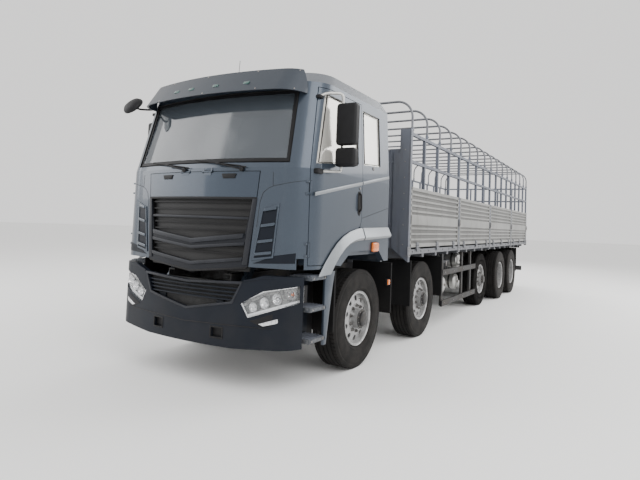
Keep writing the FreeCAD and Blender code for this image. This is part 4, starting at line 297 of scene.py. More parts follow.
class Piece:
    """One piece of the truck, put together from forms, each with a finish."""

    def __init__(self, name):
        self.name = name
        self.mesh = bmesh.new()
        self.finishes = []

    def add(self, form, finish, place=Matrix(), both=False):
        if finish not in self.finishes:
            self.finishes.append(finish)
        number = self.finishes.index(finish)
        for spot in (place, MIRROR @ place) if both else (place,):
            copy = form.copy()
            copy.transform(spot)
            copy.polygons.foreach_set("material_index", [number] * len(copy.polygons))
            self.mesh.from_mesh(copy)
            bpy.data.meshes.remove(copy)
        return self

    def settle(self, body, replaces=(), crease=38, wheel=None):
        """Makes the piece's object, finishes it and lets it ride on a body."""
        bmesh.ops.recalc_face_normals(self.mesh, faces=self.mesh.faces)
        if wheel:
            wheel_map(self.mesh, wheel)
        data = bpy.data.meshes.new(self.name)
        self.mesh.to_mesh(data)
        self.mesh.free()
        data.shade_smooth()
        data.set_sharp_from_angle(angle=math.radians(crease))
        for finish in self.finishes:
            data.materials.append(finish_of(finish))
        piece = bpy.data.objects.new(self.name, data)
        bpy.context.scene.collection.objects.link(piece)
        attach(piece, body)
        if replaces:
            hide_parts(*replaces)
        return piece


def wheel_map(mesh, centre):
    """A map round a wheel: the share of a turn, and the distance from the axle in metres."""
    layer = mesh.loops.layers.uv.new("wheel")
    for face in mesh.faces:
        spot = face.calc_center_median() - centre
        heading = math.atan2(spot.z, spot.y)
        for loop in face.loops:
            arm = loop.vert.co - centre
            turn = math.atan2(arm.z, arm.y)
            if turn - heading > math.pi:
                turn -= math.tau
            elif heading - turn > math.pi:
                turn += math.tau
            loop[layer].uv = (turn / math.tau, math.hypot(arm.y, arm.z))


# shader building

class Signal:
    """A number that changes over a surface. Arithmetic on it adds Math nodes."""

    def __init__(self, finish, socket):
        self.finish = finish
        self.socket = socket

    def joined(self, operation, first, second):
        node = self.finish.node("ShaderNodeMath", {"operation": operation}, {0: first, 1: second})
        return Signal(self.finish, node.outputs[0])

    def __add__(self, other):
        return self.joined("ADD", self, other)

    def __radd__(self, other):
        return self.joined("ADD", other, self)

    def __sub__(self, other):
        return self.joined("SUBTRACT", self, other)

    def __rsub__(self, other):
        return self.joined("SUBTRACT", other, self)

    def __mul__(self, other):
        return self.joined("MULTIPLY", self, other)

    def __rmul__(self, other):
        return self.joined("MULTIPLY", other, self)

    def wave(self):
        return self.joined("SINE", self, 0.0)

    def between(self, start, end):
        """Rises smoothly from 0 at start to 1 at end."""
        node = self.finish.node("ShaderNodeMapRange", {"interpolation_type": "SMOOTHSTEP"},
                                {"Value": self, "From Min": start, "From Max": end})
        return Signal(self.finish, node.outputs[0])


class Finish:
    """A material that is being put together."""

    def __init__(self, name):
        self.material = bpy.data.materials.new(name)
        self.material.use_nodes = True
        self.tree = self.material.node_tree
        self.shader = self.tree.nodes["Principled BSDF"]
        self.spots = self.node("ShaderNodeTexCoord").outputs["Object"]

    def node(self, kind, settings=None, sockets=None):
        made = self.tree.nodes.new(kind)
        for key, value in (settings or {}).items():
            setattr(made, key, value)
        for key, value in (sockets or {}).items():
            self.feed(made.inputs[key], value)
        return made

    def feed(self, socket, value):
        if isinstance(value, Signal):
            value = value.socket
        if isinstance(value, bpy.types.NodeSocket):
            self.tree.links.new(value, socket)
        elif socket.type == "RGBA" and len(value) == 3:
            socket.default_value = (*value, 1)
        else:
            socket.default_value = value

    def stretched(self, stretch):
        return self.node("ShaderNodeMapping", {}, {"Vector": self.spots, "Scale": stretch}).outputs[0]

    def noise(self, size, detail=3.0, stretch=(1.0, 1.0, 1.0), rough=0.5):
        """A cloudy pattern whose spots are about that many metres wide."""
        vector = self.spots if stretch == (1.0, 1.0, 1.0) else self.stretched(stretch)
        made = self.node("ShaderNodeTexNoise", {}, {"Vector": vector, "Scale": 1 / size, "Detail": detail,
                                                    "Roughness": rough})
        return Signal(self, made.outputs["Fac"])

    def cells(self, size, feature="F1", stretch=(1.0, 1.0, 1.0)):
        made = self.node("ShaderNodeTexVoronoi", {"feature": feature}, {"Vector": self.stretched(stretch),
                                                                       "Scale": 1 / size})
        return Signal(self, made.outputs["Distance"])

    def axis(self, letter):
        split = self.node("ShaderNodeSeparateXYZ", {}, {0: self.spots})
        return Signal(self, split.outputs[letter])

    def wheel_radius(self):
        uv = self.node("ShaderNodeUVMap", {"uv_map": "wheel"})
        split = self.node("ShaderNodeSeparateXYZ", {}, {0: uv.outputs[0]})
        return Signal(self, split.outputs["Y"])

    def mix(self, first, second, share):
        made = self.node("ShaderNodeMix", {"data_type": "RGBA"})
        self.feed(made.inputs["Factor"], share)
        self.feed(made.inputs[6], first)
        self.feed(made.inputs[7], second)
        return made.outputs[2]

    def bump(self, height, depth, below=None):
        sockets = {"Height": height, "Distance": depth, "Strength": 1.0}
        if below:
            sockets["Normal"] = below
        return self.node("ShaderNodeBump", {}, sockets).outputs[0]

    def surface(self, **values):
        for key, value in values.items():
            self.feed(self.shader.inputs[key.replace("_", " ")], value)
        return self.material


FINISHES = {}


def finish_of(name):
    """The material of that name, made when it is first asked for. The frame has plain ones of the bare names."""
    full = f"truck_{name}"
    if full not in bpy.data.materials:
        FINISHES[name](Finish(full), bpy.context.scene.stake_truck.colours)
    return bpy.data.materials[full]


def named(maker):
    FINISHES[maker.__name__] = maker
    return maker


DUST = (0.11, 0.097, 0.082)


def road_dust(finish, top, strength=0.5):
    """Dust thrown up from the road: thick near the ground and gone at the given height."""
    height = 1 - finish.axis("Z").between(0.2, top)
    return height * finish.noise(0.35, 5).between(0.35, 0.75) * strength


def cab_lacquer(finish, colours, painted_shade):
    """Metallic paint with a clear coat, mixed towards plain black by the given share, which paints shade onto it:
    plain black where the share is 1.
    """
    flake = finish.noise(0.0016, 0)
    paint = finish.mix(colours.cab, colours.cab_flake, flake.between(0.45, 0.7))
    # the share darkens the paint towards black as painted shade
    tone = finish.mix(paint, colours.dark_plastic, painted_shade)
    dust = road_dust(finish, 2.0, 0.10)
    orange_peel = finish.noise(0.012, 1)
    finish.surface(Base_Color=finish.mix(tone, DUST, dust), Metallic=0.5 - dust * 0.5 - painted_shade * 0.5,
                   Roughness=0.3 + finish.noise(0.25, 4) * 0.08 + dust * 0.5 + painted_shade * 0.3,
                   Coat_Weight=0.42 - dust - painted_shade * 0.42, Coat_Roughness=0.06,
                   Normal=finish.bump(orange_peel, 0.00012))


@named
def cab_paint(finish, colours):
    cab_lacquer(finish, colours, 0.0)


@named
def shaded_visor_paint(finish, colours):
    """The same paint, darkened on the sun visor as painted shade."""
    cab_lacquer(finish, colours, 0.45)


def skin_depth(finish):
    """How far a place lies behind the skin of the cab's front."""
    across = finish.axis("X")
    lean = (finish.axis("Z") - SKIRT) * PANEL_LEAN
    curve = across * across * (0.5 / CAB_NOSE.front_radius)
    return finish.axis("Y") - lean - curve - (FIRST_Y - 1.415)


@named
def shell_paint(finish, colours):
    """The cab's paint, black on the wall behind the grille: painted shade of the grille's recess, which also stands in
    for the dark radiator hidden behind this wall.
    """
    across = finish.axis("X")
    depth = skin_depth(finish)
    # black 12 to 90 mm behind the front skin within the front panel: painted shade in the grille's recess and the
    # hidden radiator's dark
    grille_recess_shade = depth.between(0.012, 0.018) * (1 - depth.between(0.07, 0.09))
    panel = (1 - finish.axis("Z").between(2.02, 2.04)) * (1 - (across * across).between(0.55, 0.57))
    cab_lacquer(finish, colours, grille_recess_shade * panel)


@named
def strip_highlight_paint(finish, colours):
    """Brighter silver paint on the strips over the front wheels and the fold along the cab's side, lighter than the
    cab's paint as a painted highlight from the sky, with stone chips along them.
    """
    flake = finish.noise(0.0016, 0)
    chips = finish.noise(0.018, 5).between(0.66, 0.72)
    # the light silver tone is a painted highlight on the strips
    tone = finish.mix(colours.flare, tuple(part * 1.35 for part in colours.flare), flake.between(0.45, 0.7))
    finish.surface(Base_Color=finish.mix(tone, (0.05, 0.05, 0.055), chips * 0.7), Metallic=0.6 - chips * 0.5,
                   Roughness=0.34 + finish.noise(0.2, 4) * 0.1 + chips * 0.3, Coat_Weight=0.4,
                   Coat_Roughness=0.1, Normal=finish.bump(finish.noise(0.012, 1), 0.00012))


@named
def bumper_paint(finish, colours):
    dust = road_dust(finish, 1.3, 0.08)
    tone = finish.mix(colours.bumper, tuple(part * 1.6 for part in colours.bumper), finish.noise(0.3, 4))
    finish.surface(Base_Color=finish.mix(tone, DUST, dust), Specular_IOR_Level=0.15,
                   Roughness=0.40 + finish.noise(0.2, 4) * 0.1 + dust * 0.5,
                   Normal=finish.bump(finish.noise(0.01, 2), 0.0001))


@named
def dark_plastic(finish, colours):
    grain = finish.noise(0.0022, 2)
    tone = finish.mix(colours.dark_plastic, (0.010, 0.010, 0.012), finish.noise(0.2, 4).between(0.4, 0.8))
    dust = road_dust(finish, 1.8, 0.05)
    finish.surface(Base_Color=finish.mix(tone, DUST, dust), Roughness=0.48 + grain * 0.15 + dust * 0.2,
                   Specular_IOR_Level=0.25, Normal=finish.bump(grain, 0.0002))


@named
def grey_plastic(finish, colours):
    grain = finish.noise(0.002, 2)
    dust = road_dust(finish, 1.8, 0.05)
    tone = finish.mix(colours.grey_plastic, (0.018, 0.020, 0.027), finish.noise(0.3, 4).between(0.4, 0.8))
    finish.surface(Base_Color=finish.mix(tone, DUST, dust), Specular_IOR_Level=0.3,
                   Roughness=0.42 + grain * 0.12 + dust * 0.3, Normal=finish.bump(grain, 0.00015))


@named
def rubber_trim(finish, colours):
    grain = finish.noise(0.003, 3)
    finish.surface(Base_Color=finish.mix((0.006, 0.006, 0.0065), (0.020, 0.019, 0.018), finish.noise(0.15, 4)),
                   Roughness=0.68 + grain * 0.15, Specular_IOR_Level=0.25, Normal=finish.bump(grain, 0.0002))


@named
def window_glass(finish, colours):
    """Glass with a film of dust: a dark tint in the windscreen, and on the side windows a pale half-metallic colour
    that paints in the reflection of the bright sky.
    """
    across = finish.axis("X")
    screen = (1 - (across * across).between(1.21, 1.28)) * (1 - finish.axis("Y").between(-5.1, -5.0))
    film = finish.noise(0.5, 5).between(0.45, 0.85)
    # pale cream on the side windows is painted sky reflection; the windscreen keeps the glass tint
    tint_and_sky_reflection = finish.mix((0.74, 0.72, 0.67), colours.glass, screen)
    finish.surface(Base_Color=finish.mix(tint_and_sky_reflection, (0.30, 0.32, 0.33), film * 0.2), Metallic=0.55 - screen * 0.55,
                   Roughness=0.16 - screen * 0.12 + film * 0.10, Alpha=0.86 - screen * 0.16 + film * 0.08,
                   Specular_IOR_Level=0.9)


@named
def frame_paint(finish, colours):
    dirt = finish.noise(0.18, 6).between(0.42, 0.7)
    rust = finish.noise(0.05, 6).between(0.66, 0.74)
    tone = finish.mix(colours.frame, DUST, dirt * 0.3)
    finish.surface(Base_Color=finish.mix(tone, (0.10, 0.035, 0.012), rust * 0.6),
                   Roughness=0.55 + dirt * 0.3, Normal=finish.bump(finish.noise(0.02, 5), 0.0006))


@named
def engine_paint(finish, colours):
    grime = finish.noise(0.12, 6).between(0.4, 0.65)
    finish.surface(Base_Color=finish.mix(colours.engine, (0.025, 0.022, 0.02), grime * 0.8), Metallic=0.4,
                   Roughness=0.5 + grime * 0.3, Normal=finish.bump(finish.noise(0.015, 5), 0.001))


@named
def grey_steel(finish, colours):
    """Blue-grey paint on the headboard, posts and rack, with runs of dirt and a little rust."""
    runs = finish.noise(0.06, 5, (1.0, 1.0, 0.08)).between(0.5, 0.75)
    wear = finish.noise(0.025, 6).between(0.68, 0.74)
    tone = finish.mix(colours.grey_steel, (0.15, 0.156, 0.17), finish.noise(0.5, 4).between(0.35, 0.75) * 0.5)
    dirty = finish.mix(tone, (0.030, 0.028, 0.026), runs * 0.4)
    finish.surface(Base_Color=finish.mix(dirty, (0.10, 0.04, 0.016), wear * 0.5), Metallic=0.35 - wear * 0.3,
                   Roughness=0.42 + runs * 0.2 + wear * 0.2, Normal=finish.bump(finish.noise(0.03, 4), 0.0004))


@named
def board_steel(finish, colours):
    """Zinc sheet: long rolled grain, water marks from the ribs, rubbed bright spots, and painted shade in the valleys
    between the ribs and on the inner face.
    """
    grain = finish.noise(0.004, 4, (1.0, 0.03, 1.0))
    marks = finish.noise(0.10, 6, (1.0, 1.0, 0.15)).between(0.5, 0.8)
    patches = finish.noise(0.45, 5).between(0.35, 0.7)
    rust = finish.noise(0.05, 7, (1.0, 0.5, 0.3)).between(0.68, 0.76)
    across = finish.axis("X")
    # painted shade: darkens the rib valleys and the boards' inner faces, but not the tailgate
    valley = 1 - (across * across).between((BODY_HALF - 0.017) ** 2, (BODY_HALF - 0.002) ** 2)
    side = 1 - finish.axis("Y").between(BODY_REAR - 0.070, BODY_REAR - 0.065)
    tone = finish.mix(colours.board, colours.board_dull, patches * 0.6)
    stained = finish.mix(tone, (0.11, 0.10, 0.088), marks * 0.25)
    shaded = finish.mix(stained, (0.055, 0.054, 0.052), valley * side * 0.65)
    finish.surface(Base_Color=finish.mix(shaded, (0.15, 0.075, 0.035), rust * 0.35), Metallic=0.5 - marks * 0.25,
                   Roughness=0.36 + grain * 0.1 + marks * 0.2,
                   Normal=finish.bump(finish.noise(0.22, 3), 0.0012, finish.bump(grain, 0.00012)))


@named
def rail_steel(finish, colours):
    runs = finish.noise(0.05, 5, (1.0, 1.0, 0.12)).between(0.48, 0.75)
    rust = finish.noise(0.03, 6).between(0.66, 0.73)
    tone = finish.mix(colours.rail, (0.06, 0.06, 0.063), runs * 0.5)
    finish.surface(Base_Color=finish.mix(tone, (0.11, 0.045, 0.02), rust * 0.5), Metallic=0.4,
                   Roughness=0.4 + runs * 0.25, Normal=finish.bump(finish.noise(0.04, 5), 0.0005))


@named
def tank_aluminium(finish, colours):
    brushed = finish.noise(0.003, 3, (1.0, 0.05, 1.0))
    stain = finish.noise(0.12, 5).between(0.5, 0.8)
    dust = road_dust(finish, 1.3, 0.4)
    tone = finish.mix(colours.aluminium, (0.30, 0.29, 0.27), stain * 0.6)
    finish.surface(Base_Color=finish.mix(tone, DUST, dust), Metallic=0.85 - dust * 0.7,
                   Roughness=0.3 + brushed * 0.12 + stain * 0.2, Normal=finish.bump(brushed, 0.0001))


@named
def wheel_silver(finish, colours):
    grime = finish.noise(0.06, 6).between(0.45, 0.75)
    rust = finish.noise(0.02, 6).between(0.68, 0.74)
    tone = finish.mix(colours.wheel, (0.10, 0.095, 0.09), grime * 0.55)
    finish.surface(Base_Color=finish.mix(tone, (0.14, 0.055, 0.02), rust * 0.5), Metallic=0.6 - grime * 0.4,
                   Roughness=0.34 + grime * 0.3, Normal=finish.bump(finish.noise(0.008, 4), 0.0002))


@named
def hub_steel(finish, colours):
    grime = finish.noise(0.02, 6).between(0.4, 0.7)
    finish.surface(Base_Color=finish.mix((0.22, 0.215, 0.21), (0.035, 0.03, 0.028), grime * 0.8), Metallic=0.7,
                   Roughness=0.4 + grime * 0.35, Normal=finish.bump(finish.noise(0.004, 3), 0.0002))


@named
def hub_cap_and_hole_shade_black(finish, colours):
    """Greasy black on the hub caps, and on the rings round the hand holes, where it paints the shade of larger holes.
    """
    grime = finish.noise(0.03, 5).between(0.4, 0.7)
    finish.surface(Base_Color=finish.mix((0.018, 0.018, 0.019), (0.045, 0.040, 0.036), grime), Metallic=0.3,
                   Roughness=0.35 + grime * 0.3, Normal=finish.bump(finish.noise(0.006, 3), 0.0002))


@named
def tyre_rubber(finish, colours):
    """Rubber with moulding rings on the side wall and dust towards the shoulder."""
    radius = finish.wheel_radius()
    wall = 1 - radius.between(TYRE_RADIUS * 0.93, TYRE_RADIUS * 0.95)
    rings = (radius * 900.0).wave() * wall
    grain = finish.noise(0.003, 4)
    dusty = finish.noise(0.12, 6).between(0.3, 0.75)
    tone = finish.mix(colours.tyre, colours.tyre_dust, dusty * (0.45 + wall * 0.45))
    finish.surface(Base_Color=tone, Roughness=0.74 + grain * 0.16, Specular_IOR_Level=0.2,
                   Normal=finish.bump(rings, 0.00025, finish.bump(grain, 0.0004)))


@named
def lens_clear(finish, colours):
    scuff = finish.noise(0.03, 5).between(0.5, 0.8)
    finish.surface(Base_Color=(0.45, 0.48, 0.50), Roughness=0.03 + scuff * 0.12, Alpha=0.10 + scuff * 0.08,
                   Specular_IOR_Level=0.9)


def tinted_lens(finish, colour, deep):
    """A moulded lens with small facets."""
    facets = finish.cells(0.008)
    finish.surface(Base_Color=finish.mix(colour, deep, facets.between(0.2, 0.8)), Roughness=0.14 + facets * 0.1,
                   Coat_Weight=0.6, Normal=finish.bump(facets, 0.0012))


@named
def lens_amber(finish, colours):
    tinted_lens(finish, (0.85, 0.22, 0.015), (0.45, 0.08, 0.004))


@named
def lens_red(finish, colours):
    tinted_lens(finish, (0.45, 0.012, 0.010), (0.18, 0.004, 0.004))


# teal spots on the visor: a painted reflection
@named
def teal_reflection_spots(finish, colours):
    tinted_lens(finish, (0.02, 0.10, 0.085), (0.008, 0.04, 0.035))


@named
def lamp_reflector(finish, colours):
    facets = finish.cells(0.012, "F1", (1.0, 1.0, 0.4))
    finish.surface(Base_Color=finish.mix((0.92, 0.92, 0.93), (0.55, 0.56, 0.58), facets), Metallic=1.0,
                   Roughness=0.10 + facets * 0.12, Normal=finish.bump(facets, 0.002))


@named
def lamp_white(finish, colours):
    ribs = (finish.axis("X") * 500.0).wave()
    finish.surface(Base_Color=finish.mix((0.85, 0.86, 0.88), (0.65, 0.67, 0.70), ribs.between(-1.0, 1.0)),
                   Roughness=0.18, Coat_Weight=0.5, Normal=finish.bump(ribs, 0.0006))


@named
def mirror_glass(finish, colours):
    haze = finish.noise(0.1, 4).between(0.5, 0.9)
    finish.surface(Base_Color=(0.85, 0.87, 0.88), Metallic=1.0, Roughness=0.02 + haze * 0.06)


@named
def seat_cloth(finish, colours):
    weave = (finish.axis("X") * 2200.0).wave() * (finish.axis("Z") * 2200.0).wave()
    tone = finish.mix(colours.seat, (0.14, 0.14, 0.15), finish.noise(0.03, 5).between(0.3, 0.8))
    finish.surface(Base_Color=tone, Roughness=0.88 + weave * 0.05, Normal=finish.bump(weave, 0.0006),
                   Sheen_Weight=0.3)


@named
def cabin_trim(finish, colours):
    grain = finish.cells(0.004)
    tone = finish.mix(colours.trim, (0.11, 0.11, 0.12), finish.noise(0.3, 4).between(0.4, 0.8))
    finish.surface(Base_Color=tone, Roughness=0.6 + grain * 0.2, Normal=finish.bump(grain, 0.0003))


@named
def step_steel(finish, colours):
    scuff = finish.noise(0.03, 6).between(0.45, 0.7)
    dust = road_dust(finish, 1.3, 0.4)
    tone = finish.mix(colours.step, (0.20, 0.21, 0.22), scuff * 0.6)
    finish.surface(Base_Color=finish.mix(tone, DUST, dust), Metallic=0.5 - dust * 0.4,
                   Roughness=0.42 + scuff * 0.15 + dust * 0.3, Normal=finish.bump(finish.noise(0.006, 4), 0.0004))


@named
def flap_rubber(finish, colours):
    dust = road_dust(finish, 1.2, 0.7)
    finish.surface(Base_Color=finish.mix((0.005, 0.005, 0.0055), (0.018, 0.0165, 0.015), dust),
                   Roughness=0.75 + dust * 0.1, Specular_IOR_Level=0.15,
                   Normal=finish.bump(finish.noise(0.05, 5), 0.001))


@named
def bare_bolt(finish, colours):
    grime = finish.noise(0.006, 4).between(0.4, 0.7)
    finish.surface(Base_Color=finish.mix((0.34, 0.33, 0.32), (0.08, 0.05, 0.035), grime), Metallic=0.8,
                   Roughness=0.35 + grime * 0.3)


@named
def radiator_core(finish, colours):
    fins = (finish.axis("X") * 1600.0).wave()
    finish.surface(Base_Color=finish.mix((0.012, 0.012, 0.013), (0.05, 0.05, 0.05), finish.noise(0.05, 4)),
                   Metallic=0.5, Roughness=0.6 + fins * 0.1, Normal=finish.bump(fins, 0.0008))


# sizes and colours a user would change

def colour(name, default, description):
    return bpy.props.FloatVectorProperty(name=name, description=description, default=default, size=3,
                                         subtype="COLOR", min=0.0, max=1.0)


def length(name, default, description):
    return bpy.props.FloatProperty(name=name, description=description, default=default, min=0.0,
                                   subtype="DISTANCE", unit="LENGTH", precision=4)


class TruckColours(bpy.types.PropertyGroup):
    """Base colours of the finishes."""
    cab: colour("Cab", (0.030, 0.042, 0.062), "Metallic paint of the cab")
    cab_flake: colour("Cab flake", (0.060, 0.080, 0.105), "Brighter flakes in the cab's paint")
    # light tone of the wheel strips and side fold: a painted highlight
    flare: colour("Wheel strips", (0.20, 0.215, 0.23), "Silver paint of the strips over the front wheels")
    bumper: colour("Bumper", (0.005, 0.0068, 0.011), "Darker paint of the bumper")
    dark_plastic: colour("Dark plastic", (0.005, 0.005, 0.006), "Grilles, mirrors and trim")
    grey_plastic: colour("Grey plastic", (0.008, 0.0095, 0.014), "Frames round the grilles")
    glass: colour("Glass", (0.062, 0.074, 0.088), "Tint of the windows")
    frame: colour("Frame", (0.010, 0.010, 0.011), "Ladder frame and axles")
    engine: colour("Engine", (0.07, 0.07, 0.073), "Engine and gearbox")
    grey_steel: colour("Grey steel", (0.115, 0.127, 0.158), "Headboard, posts and rack")
    board: colour("Boards", (0.30, 0.30, 0.29), "Zinc sheet of the drop boards")
    board_dull: colour("Boards, dull", (0.20, 0.20, 0.192), "Weathered zinc of the drop boards")
    rail: colour("Side rail", (0.14, 0.145, 0.16), "Rail under the drop boards")
    aluminium: colour("Aluminium", (0.50, 0.50, 0.485), "Tanks")
    wheel: colour("Wheels", (0.36, 0.36, 0.36), "Paint of the wheels")
    tyre: colour("Tyres", (0.008, 0.0076, 0.0074), "Rubber")
    tyre_dust: colour("Tyre dust", (0.022, 0.0195, 0.018), "Dust on the rubber")
    seat: colour("Seats", (0.060, 0.060, 0.070), "Seat cloth")
    trim: colour("Cabin trim", (0.045, 0.045, 0.050), "Dashboard")
    step: colour("Steps", (0.060, 0.068, 0.082), "Cab steps")
    floor: colour("Floor", (0.88, 0.88, 0.87), "Studio floor")


class TruckWheels(bpy.types.PropertyGroup):
    """Details of the tyres and wheels."""
    tread_depth: length("Tread depth", 0.013, "Depth of the grooves")
    groove_width: length("Groove width", 0.010, "Width of the grooves round the tyre")
    block_gap: length("Block gap", 0.005, "Half the gap between shoulder blocks")
    segments: bpy.props.IntProperty(name="Segments", description="Shoulder blocks round one tyre", default=72, min=24)
    nut_circle: length("Nut circle", 0.140, "Radius of the circle of wheel nuts")
    nut_size: length("Nut size", 0.017, "Radius of a wheel nut")
    nut_count: bpy.props.IntProperty(name="Nuts", description="Wheel nuts on one wheel", default=10, min=4)


class TruckBody(bpy.types.PropertyGroup):
    """Details of the cargo body."""
    rib_depth: length("Rib depth", 0.018, "How far the boards' ribs stand out")
    rib_height: length("Rib height", 0.042, "Height of one rib")
    latch_height: length("Latch height", 0.170, "Height of a board latch")
    plank_gap: length("Sheet gap", 0.004, "Gap between the floor sheets")
    hole_pitch: length("Tie hole pitch", 0.32, "Between the tie holes in the side rail")


class TruckFront(bpy.types.PropertyGroup):
    """Details of the cab's front."""
    trim_depth: length("Trim depth", 0.016, "Thickness of the grille's frames")
    wiper_blade: length("Wiper blade", 0.62, "Length of a wiper blade")
    antenna: length("Antenna", 0.205, "Length of the whip antenna")
    lamp_depth: length("Lamp depth", 0.046, "Depth of a headlamp behind its lens")


class StakeTruck(bpy.types.PropertyGroup):
    """Everything that the truck's operators read."""
    colours: bpy.props.PointerProperty(type=TruckColours)
    wheels: bpy.props.PointerProperty(type=TruckWheels)
    body: bpy.props.PointerProperty(type=TruckBody)
    front: bpy.props.PointerProperty(type=TruckFront)


# the stage

CAMERA_PLACE = Vector((3.677, -9.347, 1.571))
CAMERA_TURN = (29.357, -2.684, 2.126)
CAMERA_LENS = 27.64
CAMERA_SHIFT = (-0.0393, -0.0595)


class STAKETRUCK_OT_stage(bpy.types.Operator):
    """Camera, studio lights and the pale floor"""
    bl_idname = "stake_truck.stage"
    bl_label = "Stage"

    def execute(self, context):
        azimuth, elevation, roll = (math.radians(angle) for angle in CAMERA_TURN)
        back = Vector((math.sin(azimuth) * math.cos(elevation), -math.cos(azimuth) * math.cos(elevation),
                       math.sin(elevation)))
        camera = bpy.data.objects.new("camera", bpy.data.cameras.new("camera"))
        context.scene.collection.objects.link(camera)
        turn = back.to_track_quat("Z", "Y").to_matrix().to_4x4()
        camera.matrix_world = at(*CAMERA_PLACE) @ turn @ turned(roll, "Z")
        camera.data.lens = CAMERA_LENS
        camera.data.shift_x, camera.data.shift_y = CAMERA_SHIFT
        camera.data.clip_end = 300
        context.scene.camera = camera
        self.floor(context)
        for name, place, power, size in (("key", (9, -9, 8), 800, 8), ("side", (7, 4.5, 7.5), 850, 8),
                                         ("fill", (-9, -10, 6), 600, 8), ("rear", (-5, 12, 8), 800, 8)):
            light = bpy.data.lights.new(name, "AREA")
            light.energy = power
            light.size = size
            lamp = bpy.data.objects.new(name, light)
            lamp.visible_camera = False
            context.scene.collection.objects.link(lamp)
            lamp.matrix_world = at(*place) @ Vector(place).to_track_quat("Z", "Y").to_matrix().to_4x4()
        world = bpy.data.worlds.new("studio")
        world.use_nodes = True
        world.node_tree.nodes["Background"].inputs["Color"].default_value = (1.0, 0.99, 0.98, 1)
        world.node_tree.nodes["Background"].inputs["Strength"].default_value = 1.25
        context.scene.world = world
        return {"FINISHED"}

    def floor(self, context):
        mesh = bmesh.new()
        bmesh.ops.create_circle(mesh, cap_ends=True, segments=96, radius=90)
        data = bpy.data.meshes.new("floor")
        mesh.to_mesh(data)
        mesh.free()
        finish = Finish("studio_floor")
        tone = tuple(context.scene.stake_truck.colours.floor)
        soft = finish.noise(3.0, 3)
        finish.surface(Base_Color=finish.mix(tone, tuple(part * 0.96 for part in tone), soft), Roughness=0.75)
        data.materials.append(finish.material)
        floor = bpy.data.objects.new("floor", data)
        context.scene.collection.objects.link(floor)


# finishes of the solid pieces

SOLID_FINISHES = {
    "cab_paint": ["door_left", "door_right", "arch_flares"],
    "shell_paint": ["cab_shell"],
    "shaded_visor_paint": ["sun_visor"],
    "grille_panel": ["cab_front_panel"],
    "bumper_paint": ["front_bumper"],
    "window_glass": ["cab_glass", "door_glass_left", "door_glass_right"],
    "frame_paint": ["chassis_frame", "axle_beams", "side_guards"],
    "engine_paint": ["engine"],
    "grey_steel": ["headboard", "stake_frame"],
    "rail_steel": ["deck", "bows"],
    "step_steel": ["cab_steps"],
    "flap_rubber": ["mudguards"],
}


@named
def grille_panel(finish, colours):
    """The front panel: cab paint above the grille, grey frame below, and black on all that is set back from the skin:
    the bars' dark colour together with painted shade in the grille's recesses.
    """
    # black by depth behind the skin: dark bars and painted shade in the recesses
    set_back_dark_and_shade = skin_depth(finish).between(0.006, 0.009)
    painted = finish.axis("Z").between(1.785, 1.790)
    flake = finish.noise(0.0016, 0)
    paint = finish.mix(colours.cab, colours.cab_flake, flake.between(0.45, 0.7))
    face = finish.mix(colours.grey_plastic, paint, painted)
    dust = road_dust(finish, 2.0, 0.08)
    tone = finish.mix(finish.mix(face, colours.dark_plastic, set_back_dark_and_shade), DUST, dust)
    finish.surface(Base_Color=tone, Metallic=painted * 0.5, Roughness=0.52 - painted * 0.18 + dust * 0.3,
                   Coat_Weight=painted * 0.45, Coat_Roughness=0.08, Specular_IOR_Level=0.2,
                   Normal=finish.bump(finish.noise(0.01, 1), 0.0001))


class STAKETRUCK_OT_solids(bpy.types.Operator):
    """Finishes of the pieces whose solid shape is kept"""
    bl_idname = "stake_truck.solids"
    bl_label = "Solid pieces"

    def execute(self, context):
        finishes = {node: name for name, nodes in SOLID_FINISHES.items() for node in nodes}
        for node, thing in frame["nodes"].items():
            kind = node.split("_")[0]
            name = finishes.get(node) or {"rim": "wheel_silver", "knuckle": "frame_paint"}.get(kind, "dark_plastic")
            thing.data.materials.clear()
            thing.data.materials.append(finish_of(name))
        return {"FINISHED"}


# wheels

def tread_profile(sizes, half):
    """Half the tyre's section from the middle of the tread out to the bead, as (across, radius)."""
    floor = TYRE_RADIUS - sizes.tread_depth
    flange = high("rim_first_left").z - AXLE_HEIGHT
    groove = sizes.groove_width / 2
    points = []
    for centre in (half * 0.17, half * 0.52):
        points += [(centre - groove * 1.3, TYRE_RADIUS), (centre - groove * 0.7, floor),
                   (centre + groove * 0.7, floor)]
        points.append((centre + groove * 1.3, TYRE_RADIUS if centre < half * 0.3 else floor))
    wall = TYRE_RADIUS - flange
    points += [(half * 0.86, floor), (half * 0.915, floor - wall * 0.03)]
    points += [(half * across, flange + wall * up) for across, up in (
        (0.935, 0.86), (0.945, 0.83), (0.930, 0.80), (0.955, 0.76), (0.975, 0.70), (0.992, 0.58), (1.0, 0.44),
        (1.0, 0.36), (0.985, 0.25), (0.955, 0.17), (0.965, 0.15), (0.93, 0.10), (0.87, 0.05), (0.78, 0.015))]
    return points + [(half * 0.72, flange - wall * 0.05)]


def tyre_form(sizes, half):
    right = tread_profile(sizes, half)
    section = right + [(-across, radius) for across, radius in reversed(right)]
    ring = lathe(section, sizes.segments, closed=True)
    mesh = bmesh.new()
    mesh.from_mesh(ring)
    shoulder = [face for face in mesh.faces
                if half * 0.5 < abs(face.calc_center_median().x) < half * 0.86
                and math.hypot(face.calc_center_median().y, face.calc_center_median().z)
                > TYRE_RADIUS - sizes.tread_depth * 1.2]
    bmesh.ops.recalc_face_normals(mesh, faces=mesh.faces)
    bmesh.ops.inset_individual(mesh, faces=shoulder, thickness=sizes.block_gap, depth=sizes.tread_depth * 0.93)
    return form_from(mesh)


